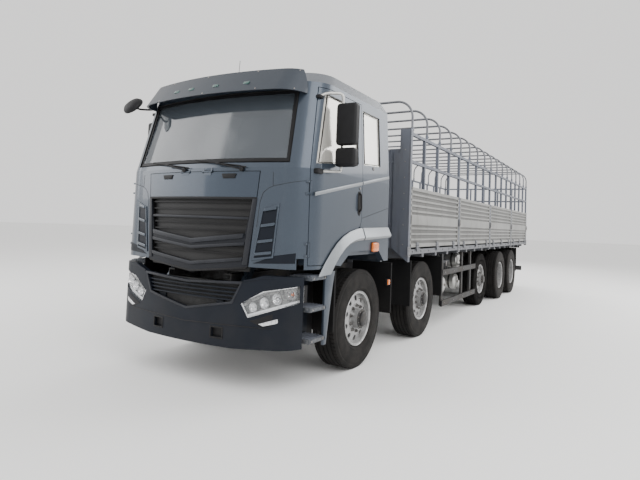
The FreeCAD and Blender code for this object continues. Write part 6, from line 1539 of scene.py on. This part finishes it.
class STAKETRUCK_OT_interior(bpy.types.Operator):
    """Dashboard, steering wheel, seats and bunk"""
    bl_idname = "stake_truck.interior"
    bl_label = "Interior"

    def execute(self, context):
        inside = Piece("cabin_fittings")
        dash = plate([(-1.02, 1.72), (1.02, 1.72), (1.04, 2.02), (0.98, 2.04), (-0.98, 2.04), (-1.04, 2.02)], 0.27,
                     0.028, 0.10, 3)
        inside.add(on_skin(dash, cab_skin, -0.075), "cabin_trim")
        inside.add(block((0.42, 0.20, 0.10), 0.035, 3), "cabin_trim", at(0.61, FIRST_Y - 1.165, 2.055))
        inside.add(block((0.34, 0.010, 0.066), 0.004), "lamp_white", at(0.61, FIRST_Y - 1.066, 2.060))
        inside.add(block((0.36, 0.10, 0.34), 0.03, 3), "cabin_trim", at(0.0, FIRST_Y - 1.00, 1.87))
        for x in (-0.88, -0.55, 0.06, 0.33):
            inside.add(block((0.14, 0.020, 0.055), 0.008), "dark_plastic", at(x, FIRST_Y - 1.068, 1.955))
        wheel_radius = 0.225
        tilt = at(0.61, FIRST_Y - 0.80, 2.07) @ turned(math.radians(-35), "X")
        rim = lathe([(0.016 * math.cos(math.tau * n / 12), wheel_radius + 0.016 * math.sin(math.tau * n / 12))
                     for n in range(12)], 56, closed=True)
        inside.add(rim, "rubber_trim", tilt @ SIDEWAYS)
        for angle in (0, 140, 220):
            spoke = block((0.034, wheel_radius * 0.94, 0.014), 0.005)
            inside.add(spoke, "rubber_trim",
                       tilt @ turned(math.radians(angle + 180), "Z") @ at(0, wheel_radius * 0.5, -0.006))
        inside.add(rod(0.070, 0.034, 32, 0.010, 0.055), "rubber_trim", tilt @ at(0, 0, -0.022))
        inside.add(rod(0.032, 0.30, 20, 0.004, 0.024), "dark_plastic", tilt @ at(0, 0, -0.31))
        inside.add(block((2.18, 0.395, 0.33), 0.02), "cabin_trim", at(0, FIRST_Y + 0.222, 1.47))
        for sign in (1, -1):
            for x, y, tall in ((0.40, -0.56, 0.36), (0.82, -0.56, 0.36), (0.40, -0.20, 0.36), (0.82, -0.20, 0.36)):
                inside.add(rod(0.018, tall, 12), "dark_plastic", at(x * sign, FIRST_Y + y, 1.302))
            inside.add(block((0.46, 0.44, 0.05), 0.015), "dark_plastic", at(0.61 * sign, FIRST_Y - 0.39, 1.665))
        inside.settle("cab", ["cab_interior"])
        base = cushion((0.50, 0.47, 0.125), 0.022, (-0.45, 0.0, 0.45))
        back = cushion((0.48, 0.62, 0.115), 0.020, (-0.6, -0.2, 0.2, 0.6))
        head = cushion((0.27, 0.17, 0.10), 0.012)
        for side, sign in SIDES:
            x = 0.61 * sign
            settle_pad(f"seat_cushion_{side}", base, at(x, FIRST_Y - 0.395, 1.745))
            lean = turned(math.radians(84), "X")
            settle_pad(f"seat_back_{side}", back, at(x, FIRST_Y - 0.187, 2.09) @ lean)
            settle_pad(f"head_rest_{side}", head, at(x, FIRST_Y - 0.180, 2.405) @ lean)
        mattress = cushion((2.16, 0.385, 0.16), 0.016, (-0.5, 0.0, 0.5), 0.006)
        settle_pad("bunk_mattress", mattress, at(0, FIRST_Y + 0.222, 1.735))
        return {"FINISHED"}


# under the cab and frame

class STAKETRUCK_OT_steps(bpy.types.Operator):
    """Serrated treads on the cab steps, with the housing behind them and the painted strip beside the wheel"""
    bl_idname = "stake_truck.steps"
    bl_label = "Steps"

    def execute(self, context):
        front, rear = low("cab_steps").y, high("cab_steps").y
        outer = high("cab_steps").x
        steps = Piece("step_treads")
        teeth = [(front + 0.012, -0.004)]
        count = 12
        pitch = (rear - front - 0.024) / count
        for number in range(count):
            start = front + 0.012 + pitch * number
            teeth += [(start + pitch * 0.15, 0.007), (start + pitch * 0.60, 0.007), (start + pitch * 0.75, 0.002)]
        teeth.append((rear - 0.012, -0.004))
        bar = plate(teeth, 0.007)
        for top in (1.090, 0.805, 0.520):
            for number in range(6):
                x = outer - 0.020 - number * 0.036
                steps.add(bar, "grey_steel", at(x, 0, top) @ SIDE_VIEW, both=True)
            edge = block((0.006, rear - front - 0.010, 0.032), 0.002)
            steps.add(edge, "step_steel", at(outer + 0.002, (front + rear) / 2, top - 0.020), both=True)
            for share in (0.15, 0.85):
                bolt = at(outer + 0.004, front + (rear - front) * share, top - 0.020) @ SIDEWAYS
                steps.add(rod(0.009, 0.006, 6, 0.001), "bare_bolt", bolt, both=True)
        steps.add(block((0.014, 0.43, 0.70), 0.003), "dark_plastic", at(0.988, -5.378, 0.775), both=True)
        for foot, top in ((0.520, 0.765), (0.805, 1.050)):
            riser = block((0.010, rear - front - 0.012, top - foot), 0.002)
            steps.add(riser, "bumper_paint", at(1.030, (front + rear) / 2, (foot + top) / 2), both=True)
            steps.add(block((0.026, 0.026, top - foot), 0.006), "grey_plastic",
                      at(1.065, front + 0.085, (foot + top) / 2), both=True)
        fender = plate([(-5.335, 1.120), (-5.160, 1.120), (-5.200, 0.950), (-5.245, 0.700), (-5.285, 0.430),
                        (-5.335, 0.430)], 0.030, 0.006)
        steps.add(fender, "cab_paint", at(1.210, 0, 0) @ SIDE_VIEW, both=True)
        # dark plate over the opening at the top of the step housing: painted shade
        steps.add(block((0.220, 0.150, 0.012), 0.003), "dark_plastic", at(1.100, -5.245, 1.112), both=True)
        steps.settle("chassis")
        return {"FINISHED"}


AIR_TANKS = ((-1.41, 0.61), (-1.10, 0.61), (-0.35, 0.61), (-0.21, 0.985))
TANK_START = 0.49
TANK_LENGTH = 0.56
TANK_RADIUS = 0.14


class STAKETRUCK_OT_tanks(bpy.types.Operator):
    """Air tanks with straps, the battery box and the fuel tank"""
    bl_idname = "stake_truck.tanks"
    bl_label = "Tanks"

    def execute(self, context):
        tanks = Piece("tanks_and_battery_box")
        dome = 0.042
        radius, reach = TANK_RADIUS, TANK_LENGTH
        shell = [(0.0, 0.0)] + [(dome * (1 - math.cos(angle)), radius * math.sin(angle) * 0.985)
                                for angle in (0.35, 0.7, 1.05, 1.35)]
        shell += [(dome, radius * 0.985), (dome + 0.002, radius)]
        profile = shell + [(reach - along, part) for along, part in reversed(shell)]
        body = lathe(profile, 56)
        strap = lathe([(0, radius - 0.002), (0, radius + 0.004), (0.032, radius + 0.004), (0.032, radius - 0.002)], 56,
                      closed=True)
        boss = rod(0.022, 0.020, 16, 0.003)
        for y, z in AIR_TANKS:
            spot = at(TANK_START, y, z)
            tanks.add(body, "tank_aluminium", spot)
            for share in (0.22, 0.74):
                tanks.add(strap, "frame_paint", spot @ at(reach * share, 0, 0))
            tanks.add(boss, "bare_bolt", spot @ at(reach - 0.006, 0, 0) @ SIDEWAYS)
            tanks.add(boss, "bare_bolt", spot @ at(reach * 0.48, 0, -radius - 0.014))
        tanks.add(block((0.12, 1.48, 0.24), 0.01), "frame_paint", at(0.49, -0.81, 0.70))
        tanks.add(block((0.12, 0.12, 0.24), 0.01), "frame_paint", at(0.49, -0.21, 0.87))
        tanks.add(block((0.605, 0.600, 0.165), 0.014, 3), "dark_plastic", at(0.735, -1.18, 0.9035))
        tanks.add(block((0.618, 0.618, 0.062), 0.016, 3), "grey_plastic", at(0.740, -1.18, 1.008))
        for y in (-1.39, -1.285, -1.18, -1.075, -0.97):
            tanks.add(block((0.50, 0.030, 0.006), 0.0025), "grey_plastic", at(0.740, y, 1.0365))
            tanks.add(block((0.006, 0.022, 0.14), 0.0025), "dark_plastic", at(1.0385, y, 0.90))
        for y in (-1.34, -1.02):
            tanks.add(block((0.014, 0.045, 0.090), 0.004), "bare_bolt", at(1.044, y, 0.975))
        tanks.add(block((0.50, 0.04, 0.012), 0.003), "frame_paint", at(0.68, -1.18, 0.822))
        self.fuel_tank(tanks)
        tanks.settle("chassis", ["tanks"])
        return {"FINISHED"}

    def fuel_tank(self, tanks):
        out, near, front, rear, foot, top = -1.07, -0.49, -1.46, 0.04, 0.43, 1.05
        centre = ((out + near) / 2, (front + rear) / 2, (foot + top) / 2)
        tanks.add(block((near - out, rear - front, top - foot), 0.075, 5), "tank_aluminium", at(*centre))
        for y in (front + 0.36, rear - 0.36):
            band = ring_plate(rounded_rectangle(near - out + 0.010, top - foot + 0.010, 0.080),
                              rounded_rectangle(near - out - 0.004, top - foot - 0.004, 0.074), 0.045)
            tanks.add(band, "frame_paint", at(centre[0], y, centre[2]) @ FRONT_VIEW)
            tanks.add(block((0.14, 0.07, 0.13), 0.01), "frame_paint", at(-0.49, y + 0.022, 0.82))
        for y in (front, rear):
            ring = ring_plate(rounded_rectangle(near - out - 0.13, top - foot - 0.13, 0.05),
                              rounded_rectangle(near - out - 0.15, top - foot - 0.15, 0.045), 0.006)
            tanks.add(ring, "tank_aluminium", at(centre[0], y - 0.003, centre[2]) @ FRONT_VIEW)
        neck = at(out + 0.16, front + 0.22, top - 0.012)
        tanks.add(rod(0.055, 0.032, 28, 0.003), "tank_aluminium", neck)
        tanks.add(rod(0.062, 0.030, 28, 0.008), "dark_plastic", neck @ at(0, 0, 0.028))
        tanks.add(block((0.10, 0.016, 0.014), 0.004), "dark_plastic", neck @ at(0, 0, 0.060))
        for x in (-0.92, -0.64):
            tanks.add(block((0.05, 0.9, 0.010), 0.003), "step_steel", at(x, centre[1] + 0.05, top + 0.004))


def rounded_rectangle(width, height, corner, steps=5):
    """Outline of a rectangle with round corners, about its middle."""
    points = []
    for quarter, (x, y) in enumerate(((1, 1), (-1, 1), (-1, -1), (1, -1))):
        for step in range(steps + 1):
            angle = math.pi / 2 * (quarter + step / steps)
            points.append((x * (width / 2 - corner) + corner * math.cos(angle),
                           y * (height / 2 - corner) + corner * math.sin(angle)))
    return points


SPRING_TRACK = 0.415
SPRING_WIDTH = 0.09
RAIL_BOTTOM = 0.76


def leaf(half, thick, rise, full):
    """One leaf across X from its middle on the origin, with its ends lifted."""
    strip = plate([(-half, 0), (half, 0), (half, thick), (-half, thick)], SPRING_WIDTH, 0.002, 0.08, 1)
    return shaped(strip, lambda co: Vector((co.x, co.y + rise * (co.x / full) ** 2, co.z)))


class STAKETRUCK_OT_springs(bpy.types.Operator):
    """Leaf springs with separate leaves, clamps and shackles"""
    bl_idname = "stake_truck.springs"
    bl_label = "Leaf springs"

    def execute(self, context):
        springs = Piece("spring_leaves")
        steered_seat = AXLE_HEIGHT - 0.03
        straight_seat = AXLE_HEIGHT + 0.072
        inner = SPRING_TRACK - SPRING_WIDTH / 2
        for y, seat, half, rise, count in ((AXLE_Y["first"], steered_seat, 0.80, 0.134, 5),
                                           (AXLE_Y["second"], steered_seat, 0.80, 0.134, 5),
                                           (AXLE_Y["third"], straight_seat, 0.54, 0.045, 4)):
            thick = 0.0155
            for number in range(count):
                reach = half * (0.30 + 0.70 * (number + 1) / count)
                form = leaf(reach, thick, rise, half)
                place = at(inner, y, seat + 0.003 + number * (thick + 0.0004)) @ SIDE_VIEW
                springs.add(form, "frame_paint", place, both=True)
            top = seat + count * 0.016
            self.clamp(springs, y, seat - 0.004, top)
            for end in (-1, 1):
                eye_y = y + end * half * 0.965
                eye_z = seat + rise * 0.93 + count * 0.016
                self.shackle(springs, eye_y, min(eye_z, RAIL_BOTTOM - 0.05))
        bogie = (AXLE_Y["fourth"] + AXLE_Y["fifth"]) / 2
        for number in range(6):
            reach = 0.747 * (1 - 0.125 * number)
            form = leaf(reach, 0.0175, 0.0, 1.0)
            springs.add(form, "frame_paint", at(inner, bogie, straight_seat + number * 0.0182) @ SIDE_VIEW, both=True)
        self.clamp(springs, bogie, straight_seat - 0.02, straight_seat + 0.115)
        hanger = block((SPRING_WIDTH, 0.13, 0.20), 0.02, 3)
        springs.add(hanger, "frame_paint", at(SPRING_TRACK, bogie, 0.628), both=True)
        springs.add(rod(0.062, 0.10, 28, 0.008), "frame_paint", at(inner - 0.002, bogie, 0.575) @ SIDEWAYS,
                    both=True)
        springs.settle("chassis", ["leaf_springs"])
        return {"FINISHED"}

    def clamp(self, springs, y, foot, top):
        for offset in (-0.055, 0.055):
            loop = pipe([(SPRING_TRACK - 0.053, y + offset, foot), (SPRING_TRACK - 0.053, y + offset, top + 0.012),
                         (SPRING_TRACK + 0.053, y + offset, top + 0.012), (SPRING_TRACK + 0.053, y + offset, foot)],
                        0.008, 0.018, 2)
            springs.add(loop, "bare_bolt", both=True)
        springs.add(block((0.085, 0.12, 0.016), 0.004), "frame_paint", at(SPRING_TRACK, y, top + 0.002), both=True)

    def shackle(self, springs, y, z):
        springs.add(rod(0.026, SPRING_WIDTH, 20, 0.003), "frame_paint",
                    at(SPRING_TRACK - SPRING_WIDTH / 2, y, z) @ SIDEWAYS, both=True)
        tall = RAIL_BOTTOM - z + 0.02
        for side in (-1, 1):
            cheek = block((0.012, 0.085, tall), 0.004)
            springs.add(cheek, "frame_paint", at(SPRING_TRACK + side * SPRING_WIDTH * 0.46, y, z - 0.02 + tall / 2),
                        both=True)
        springs.add(rod(0.010, SPRING_WIDTH + 0.018, 10, 0.002), "bare_bolt",
                    at(SPRING_TRACK - SPRING_WIDTH / 2 - 0.009, y, z) @ SIDEWAYS, both=True)


class STAKETRUCK_OT_running_gear(bpy.types.Operator):
    """Propeller shafts, brake chambers, air lines and the frame's bolts"""
    bl_idname = "stake_truck.running_gear"
    bl_label = "Running gear"

    def execute(self, context):
        gear = Piece("running_gear")
        shafts = [Vector((0, -1.75, 0.80)), Vector((0, 0.10, 0.74)), Vector((0, AXLE_Y["fourth"] - 0.30, 0.60))]
        shafts_more = [Vector((0, AXLE_Y["fourth"] + 0.26, 0.58)), Vector((0, AXLE_Y["fifth"] - 0.30, 0.57))]
        for start, end in list(zip(shafts, shafts[1:])) + [tuple(shafts_more)]:
            run = (end - start).length
            gear.add(rod(0.050, run, 28), "frame_paint", between(start, end))
            for spot, back in ((start, end), (end, start)):
                gear.add(rod(0.068, 0.06, 24, 0.008), "hub_steel", between(spot, back))
        bolt = rod(0.011, 0.012, 6, 0.002)
        for y in [BODY_FRONT + 0.14 + 0.2875 * number for number in range(31)]:
            for z in (0.80, 1.02):
                gear.add(bolt, "bare_bolt", at(0.430, y, z) @ SIDEWAYS, both=True)
        chamber = lathe([(0, 0.0), (0, 0.055), (0.012, 0.075), (0.055, 0.078), (0.060, 0.086), (0.074, 0.086),
                         (0.079, 0.078), (0.125, 0.075), (0.150, 0.050), (0.152, 0.0)], 32)
        for which in ("third", "fourth", "fifth"):
            y = AXLE_Y[which] - 0.17
            gear.add(chamber, "frame_paint", at(0.50, y, AXLE_HEIGHT + 0.02), both=True)
            gear.add(block((0.05, 0.16, 0.04), 0.01), "frame_paint", at(0.60, AXLE_Y[which] - 0.085, AXLE_HEIGHT + 0.02),
                     both=True)
        for drop, finish in ((0.0, "rubber_trim"), (0.022, "dark_plastic")):
            line = pipe([(0.350, -3.2, 0.93 - drop), (0.338, -1.2, 0.925 - drop), (0.338, 2.2, 0.93 - drop),
                         (0.345, 5.2, 0.92 - drop)], 0.0075, 0.1, 2)
            gear.add(line, finish, both=True)
        gear.settle("chassis")
        guard = Piece("side_guard_fittings")
        out = high("side_guards").x
        start, end = low("side_guards").y, high("side_guards").y
        for top in (0.90, 0.40):
            for y in (start + 0.14, start + 0.62, start + 1.2, start + 1.78):
                guard.add(rod(0.011, 0.008, 6, 0.002), "bare_bolt", at(out, y, top - 0.045) @ SIDEWAYS,
                          both=True)
            for y in (start + 0.004, end - 0.004):
                guard.add(block((0.041, 0.016, 0.096), 0.004), "dark_plastic", at(out - 0.0175, y, top - 0.045),
                          both=True)
        guard.settle("chassis")
        return {"FINISHED"}


# cargo body

def board_outline(sizes, outer, inner, foot, top):
    """Section of a ribbed board as (outward, height): tube on top, four ribs, a broad band and three ribs."""
    tall = top - foot
    valley = outer - math.copysign(sizes.rib_depth, outer)
    half = sizes.rib_height / 2
    points = [(inner, top), (outer, top), (outer, top - tall * 0.048), (valley, top - tall * 0.062)]
    for share in (0.115, 0.205, 0.295, 0.385, "band", 0.665, 0.755, 0.845):
        if share == "band":
            points += [(valley, top - tall * 0.432), (outer, top - tall * 0.452), (outer, top - tall * 0.600),
                       (valley, top - tall * 0.620)]
            continue
        centre = top - tall * share
        points += [(valley, centre + half), (outer, centre + half * 0.55), (outer, centre - half * 0.55),
                   (valley, centre - half)]
    return points + [(valley, foot + tall * 0.100), (outer, foot + tall * 0.082), (outer, foot), (inner, foot)]


HINGE_OUT = 0.0125
HINGE_DOWN = 0.015
HINGE_WIDTH = 0.09


def hinge_form():
    """A board's hinge about its pin, with outward along X and the pin along Y."""
    piece = bmesh.new()
    parts = [(block((0.018, HINGE_WIDTH, 0.090), 0.003), at(-0.009, 0, 0.066)),
             (block((0.014, HINGE_WIDTH * 0.98, 0.036), 0.003), at(0.0, 0, 0.018)),
             (rod(0.010, HINGE_WIDTH, 20, 0.001), at(0, HINGE_WIDTH / 2, 0) @ turned(math.pi / 2, "X"))]
    for y in (-0.024, 0.024):
        parts.append((rod(0.008, 0.005, 6, 0.001), at(0.0, y, 0.070) @ SIDEWAYS))
    for form, place in parts:
        form.transform(place)
        piece.from_mesh(form)
    return form_from(piece)


class STAKETRUCK_OT_boards(bpy.types.Operator):
    """Ribbed drop boards and tailgate with their hinges"""
    bl_idname = "stake_truck.boards"
    bl_label = "Boards"

    def execute(self, context):
        sizes = context.scene.stake_truck.body
        hinge = hinge_form()
        thick = 0.035
        hinge_z = DECK_TOP - 0.006 - HINGE_DOWN
        top = high("board_left_1").z
        foot = hinge_z + 0.021
        for number in range(1, 5):
            for side, sign in SIDES:
                node = f"board_{side}_{number}"
                start, end = low(node).y, high(node).y
                board = Piece(f"ribbed_board_{side}_{number}")
                outline = board_outline(sizes, BODY_HALF, BODY_HALF - thick, foot, top)
                mirror = Matrix() if sign > 0 else MIRROR
                sheet = plate(outline, end - start - 0.004)
                board.add(sheet, "board_steel", mirror @ at(0, start + 0.002, 0) @ FRONT_VIEW)
                for y in (start + 0.016, end - 0.016):
                    channel = block((thick, 0.032, top - foot), 0.004)
                    board.add(channel, "board_steel", mirror @ at(BODY_HALF - thick / 2, y, (top + foot) / 2))
                for share in (0.12, 0.5, 0.88):
                    spot = at(BODY_HALF + HINGE_OUT, start + (end - start) * share, hinge_z)
                    board.add(hinge, "rail_steel", mirror @ spot)
                board.settle(node, [node])
        start, end = low("tailgate").x, high("tailgate").x
        gate = Piece("ribbed_tailgate")
        outline = board_outline(sizes, BODY_REAR - HINGE_OUT - 0.010, BODY_REAR - HINGE_OUT - 0.010 - thick, foot, top)
        gate.add(plate(outline, end - start - 0.004), "board_steel", at(start + 0.002, 0, 0) @ SIDE_VIEW)
        for x in (start + 0.016, end - 0.016):
            gate.add(block((0.032, thick, top - foot), 0.004), "board_steel",
                     at(x, BODY_REAR - HINGE_OUT - 0.010 - thick / 2, (top + foot) / 2))
        for share in (-0.75, -0.25, 0.25, 0.75):
            spot = at(BODY_HALF * share, BODY_REAR - 0.010, hinge_z) @ turned(math.pi / 2, "Z")
            gate.add(hinge, "rail_steel", spot)
        gate.settle("tailgate", ["tailgate"])
        return {"FINISHED"}


class STAKETRUCK_OT_body_fittings(bpy.types.Operator):
    """Latches, post feet, tie holes, floor sheets, bow sockets and the headboard's seams"""
    bl_idname = "stake_truck.body_fittings"
    bl_label = "Body fittings"

    def execute(self, context):
        sizes = context.scene.stake_truck.body
        bay = (BODY_REAR - HINGE_OUT - 0.010 - BODY_FRONT) / 4
        fittings = Piece("post_fittings")
        for number in range(1, 5):
            y = BODY_FRONT + bay * number - (0.04 if number == 4 else 0)
            self.post_foot(fittings, y)
            latch_tall = sizes.latch_height
            fittings.add(block((0.008, 0.050, latch_tall), 0.003), "step_steel", at(BODY_HALF + 0.003, y, 1.66),
                         both=True)
            lever = pipe([(BODY_HALF + 0.010, y, 1.62), (BODY_HALF + 0.022, y, 1.65), (BODY_HALF + 0.022, y, 1.725)],
                         0.007, 0.02, 2)
            fittings.add(lever, "bare_bolt", both=True)
        self.post_foot(fittings, BODY_FRONT + 0.03)
        fittings.settle("chassis")
        rail = Piece("side_rail_fittings")
        y = BODY_FRONT + 0.16
        while y < BODY_REAR - 0.12:
            ring = lathe([(0, 0.012), (0, 0.019), (0.003, 0.019), (0.003, 0.012)], 20, closed=True)
            rail.add(ring, "rail_steel", at(BODY_HALF - 0.001, y, 1.247), both=True)
            rail.add(rod(0.013, 0.002, 20), "rubber_trim", at(BODY_HALF - 0.001, y, 1.247) @ SIDEWAYS,
                     both=True)
            y += sizes.hole_pitch
        flange = plate([(BODY_HALF - 0.004, 1.213), (BODY_HALF + 0.003, 1.213), (BODY_HALF + 0.003, 1.222),
                        (BODY_HALF - 0.004, 1.222)], BODY_REAR - BODY_FRONT - 0.10)
        rail.add(flange, "rail_steel", at(0, BODY_FRONT + 0.062, 0) @ FRONT_VIEW, both=True)
        rail.settle("chassis")
        self.floor_sheets(sizes)
        self.bow_sockets(bay)
        self.headboard()
        return {"FINISHED"}

    def post_foot(self, piece, y):
        """A cast foot that wraps the side rail under a post."""
        outline = [(-0.055, 1.315), (0.055, 1.315), (0.055, 1.225), (0.036, 1.178), (-0.036, 1.178), (-0.055, 1.225)]
        piece.add(plate(outline, 0.007, 0.002), "rail_steel",
                  at(BODY_HALF + 0.0065, y, 0) @ Matrix(((0, 0, -1, 0), (1, 0, 0, 0), (0, 1, 0, 0), (0, 0, 0, 1))), both=True)
        piece.add(block((0.06, 0.062, 0.030), 0.008), "rail_steel", at(BODY_HALF - 0.026, y, 1.193), both=True)
        for z in (1.205, 1.262, 1.296):
            piece.add(rod(0.009, 0.007, 6, 0.001), "bare_bolt", at(BODY_HALF + 0.006, y, z) @ SIDEWAYS,
                      both=True)

    def floor_sheets(self, sizes):
        sheets = Piece("floor_sheets")
        half = BODY_HALF - 0.066
        front, rear = BODY_FRONT + 0.066, BODY_REAR - 0.075
        count = 6
        pitch = (rear - front) / count
        for number in range(count):
            centre = front + pitch * (number + 0.5)
            sheets.add(block((half * 2, pitch - sizes.plank_gap, 0.003), 0.001, 1), "rail_steel",
                       at(0, centre, high("deck").z + 0.0012))
            for share in (-0.4, -0.2, 0, 0.2, 0.4):
                sheets.add(block((half * 1.96, 0.012, 0.004), 0.0015, 1), "rail_steel",
                           at(0, centre + pitch * share, high("deck").z + 0.003))
        sheets.settle("chassis")

    def bow_sockets(self, bay):
        sockets = Piece("bow_sockets")
        top = high("stake_frame").z
        places = [BODY_FRONT + 0.060 + 0.032 + bay / 4 * number for number in range(16)] + [high("bows").y - 0.016]
        sleeve = lathe([(0, 0.0165), (0, 0.021), (0.060, 0.021), (0.060, 0.0165)], 20, closed=True)
        for y in places:
            sockets.add(sleeve, "grey_steel", at(1.222, y, top + 0.002) @ turned(-math.pi / 2, "Y"), both=True)
            sockets.add(rod(0.006, 0.012, 6, 0.001), "bare_bolt", at(1.242, y, top + 0.034) @ SIDEWAYS,
                        both=True)
        sockets.settle("chassis")

    def headboard(self):
        board = Piece("headboard_seams")
        front = BODY_FRONT
        for z in (1.60, 2.02, 2.44):
            board.add(block((2.16, 0.012, 0.022), 0.004), "grey_steel", at(0, front + 0.016, z))
        for z in (1.34, 1.60, 1.81, 2.02, 2.23, 2.44, 2.60):
            for x in (0.14, 0.407, 0.67, 0.933, 1.17):
                board.add(rod(0.009, 0.006, 10, 0.002), "bare_bolt",
                          at(x, front + 0.001, z) @ turned(math.pi / 2, "X"), both=True)
        board.add(block((0.52, 0.006, 0.14), 0.002), "lens_clear", at(0, BODY_REAR - 0.08, 1.10))
        plate_frame = ring_plate(rectangle(0.52, 0.15), rectangle(0.49, 0.12), 0.010, 0.0, 0.002)
        board.add(plate_frame, "dark_plastic", at(0, BODY_REAR - 0.085, 1.10) @ FRONT_VIEW)
        board.settle("chassis")


OPERATORS = (
    STAKETRUCK_OT_stage, STAKETRUCK_OT_solids, STAKETRUCK_OT_tyres, STAKETRUCK_OT_wheel_fittings,
    STAKETRUCK_OT_grille, STAKETRUCK_OT_corner_vents, STAKETRUCK_OT_wipers, STAKETRUCK_OT_roof,
    STAKETRUCK_OT_window_seals, STAKETRUCK_OT_door_fittings, STAKETRUCK_OT_mirrors, STAKETRUCK_OT_bumper,
    STAKETRUCK_OT_lamps, STAKETRUCK_OT_interior, STAKETRUCK_OT_steps, STAKETRUCK_OT_tanks, STAKETRUCK_OT_springs,
    STAKETRUCK_OT_running_gear, STAKETRUCK_OT_boards, STAKETRUCK_OT_body_fittings,
)


class STAKETRUCK_PT_panel(bpy.types.Panel):
    """Sizes, colours and pieces of the stake truck"""
    bl_idname = "STAKETRUCK_PT_panel"
    bl_label = "Stake truck"
    bl_space_type = "VIEW_3D"
    bl_region_type = "UI"
    bl_category = "Stake truck"

    def draw(self, context):
        truck = context.scene.stake_truck
        for group in (truck.wheels, truck.body, truck.front, truck.colours):
            box = self.layout.box()
            for name in group.__annotations__:
                box.prop(group, name)
        for operator in OPERATORS:
            self.layout.operator(operator.bl_idname)


GROUPS = (TruckColours, TruckWheels, TruckBody, TruckFront, StakeTruck)


def register():
    for kind in GROUPS + OPERATORS + (STAKETRUCK_PT_panel,):
        bpy.utils.register_class(kind)
    bpy.types.Scene.stake_truck = bpy.props.PointerProperty(type=StakeTruck)


def unregister():
    del bpy.types.Scene.stake_truck
    for kind in reversed(GROUPS + OPERATORS + (STAKETRUCK_PT_panel,)):
        bpy.utils.unregister_class(kind)


def main():
    register()
    for operator in OPERATORS:
        group, name = operator.bl_idname.split(".")
        getattr(getattr(bpy.ops, group), name)()


if __name__ == "__main__":
    main()
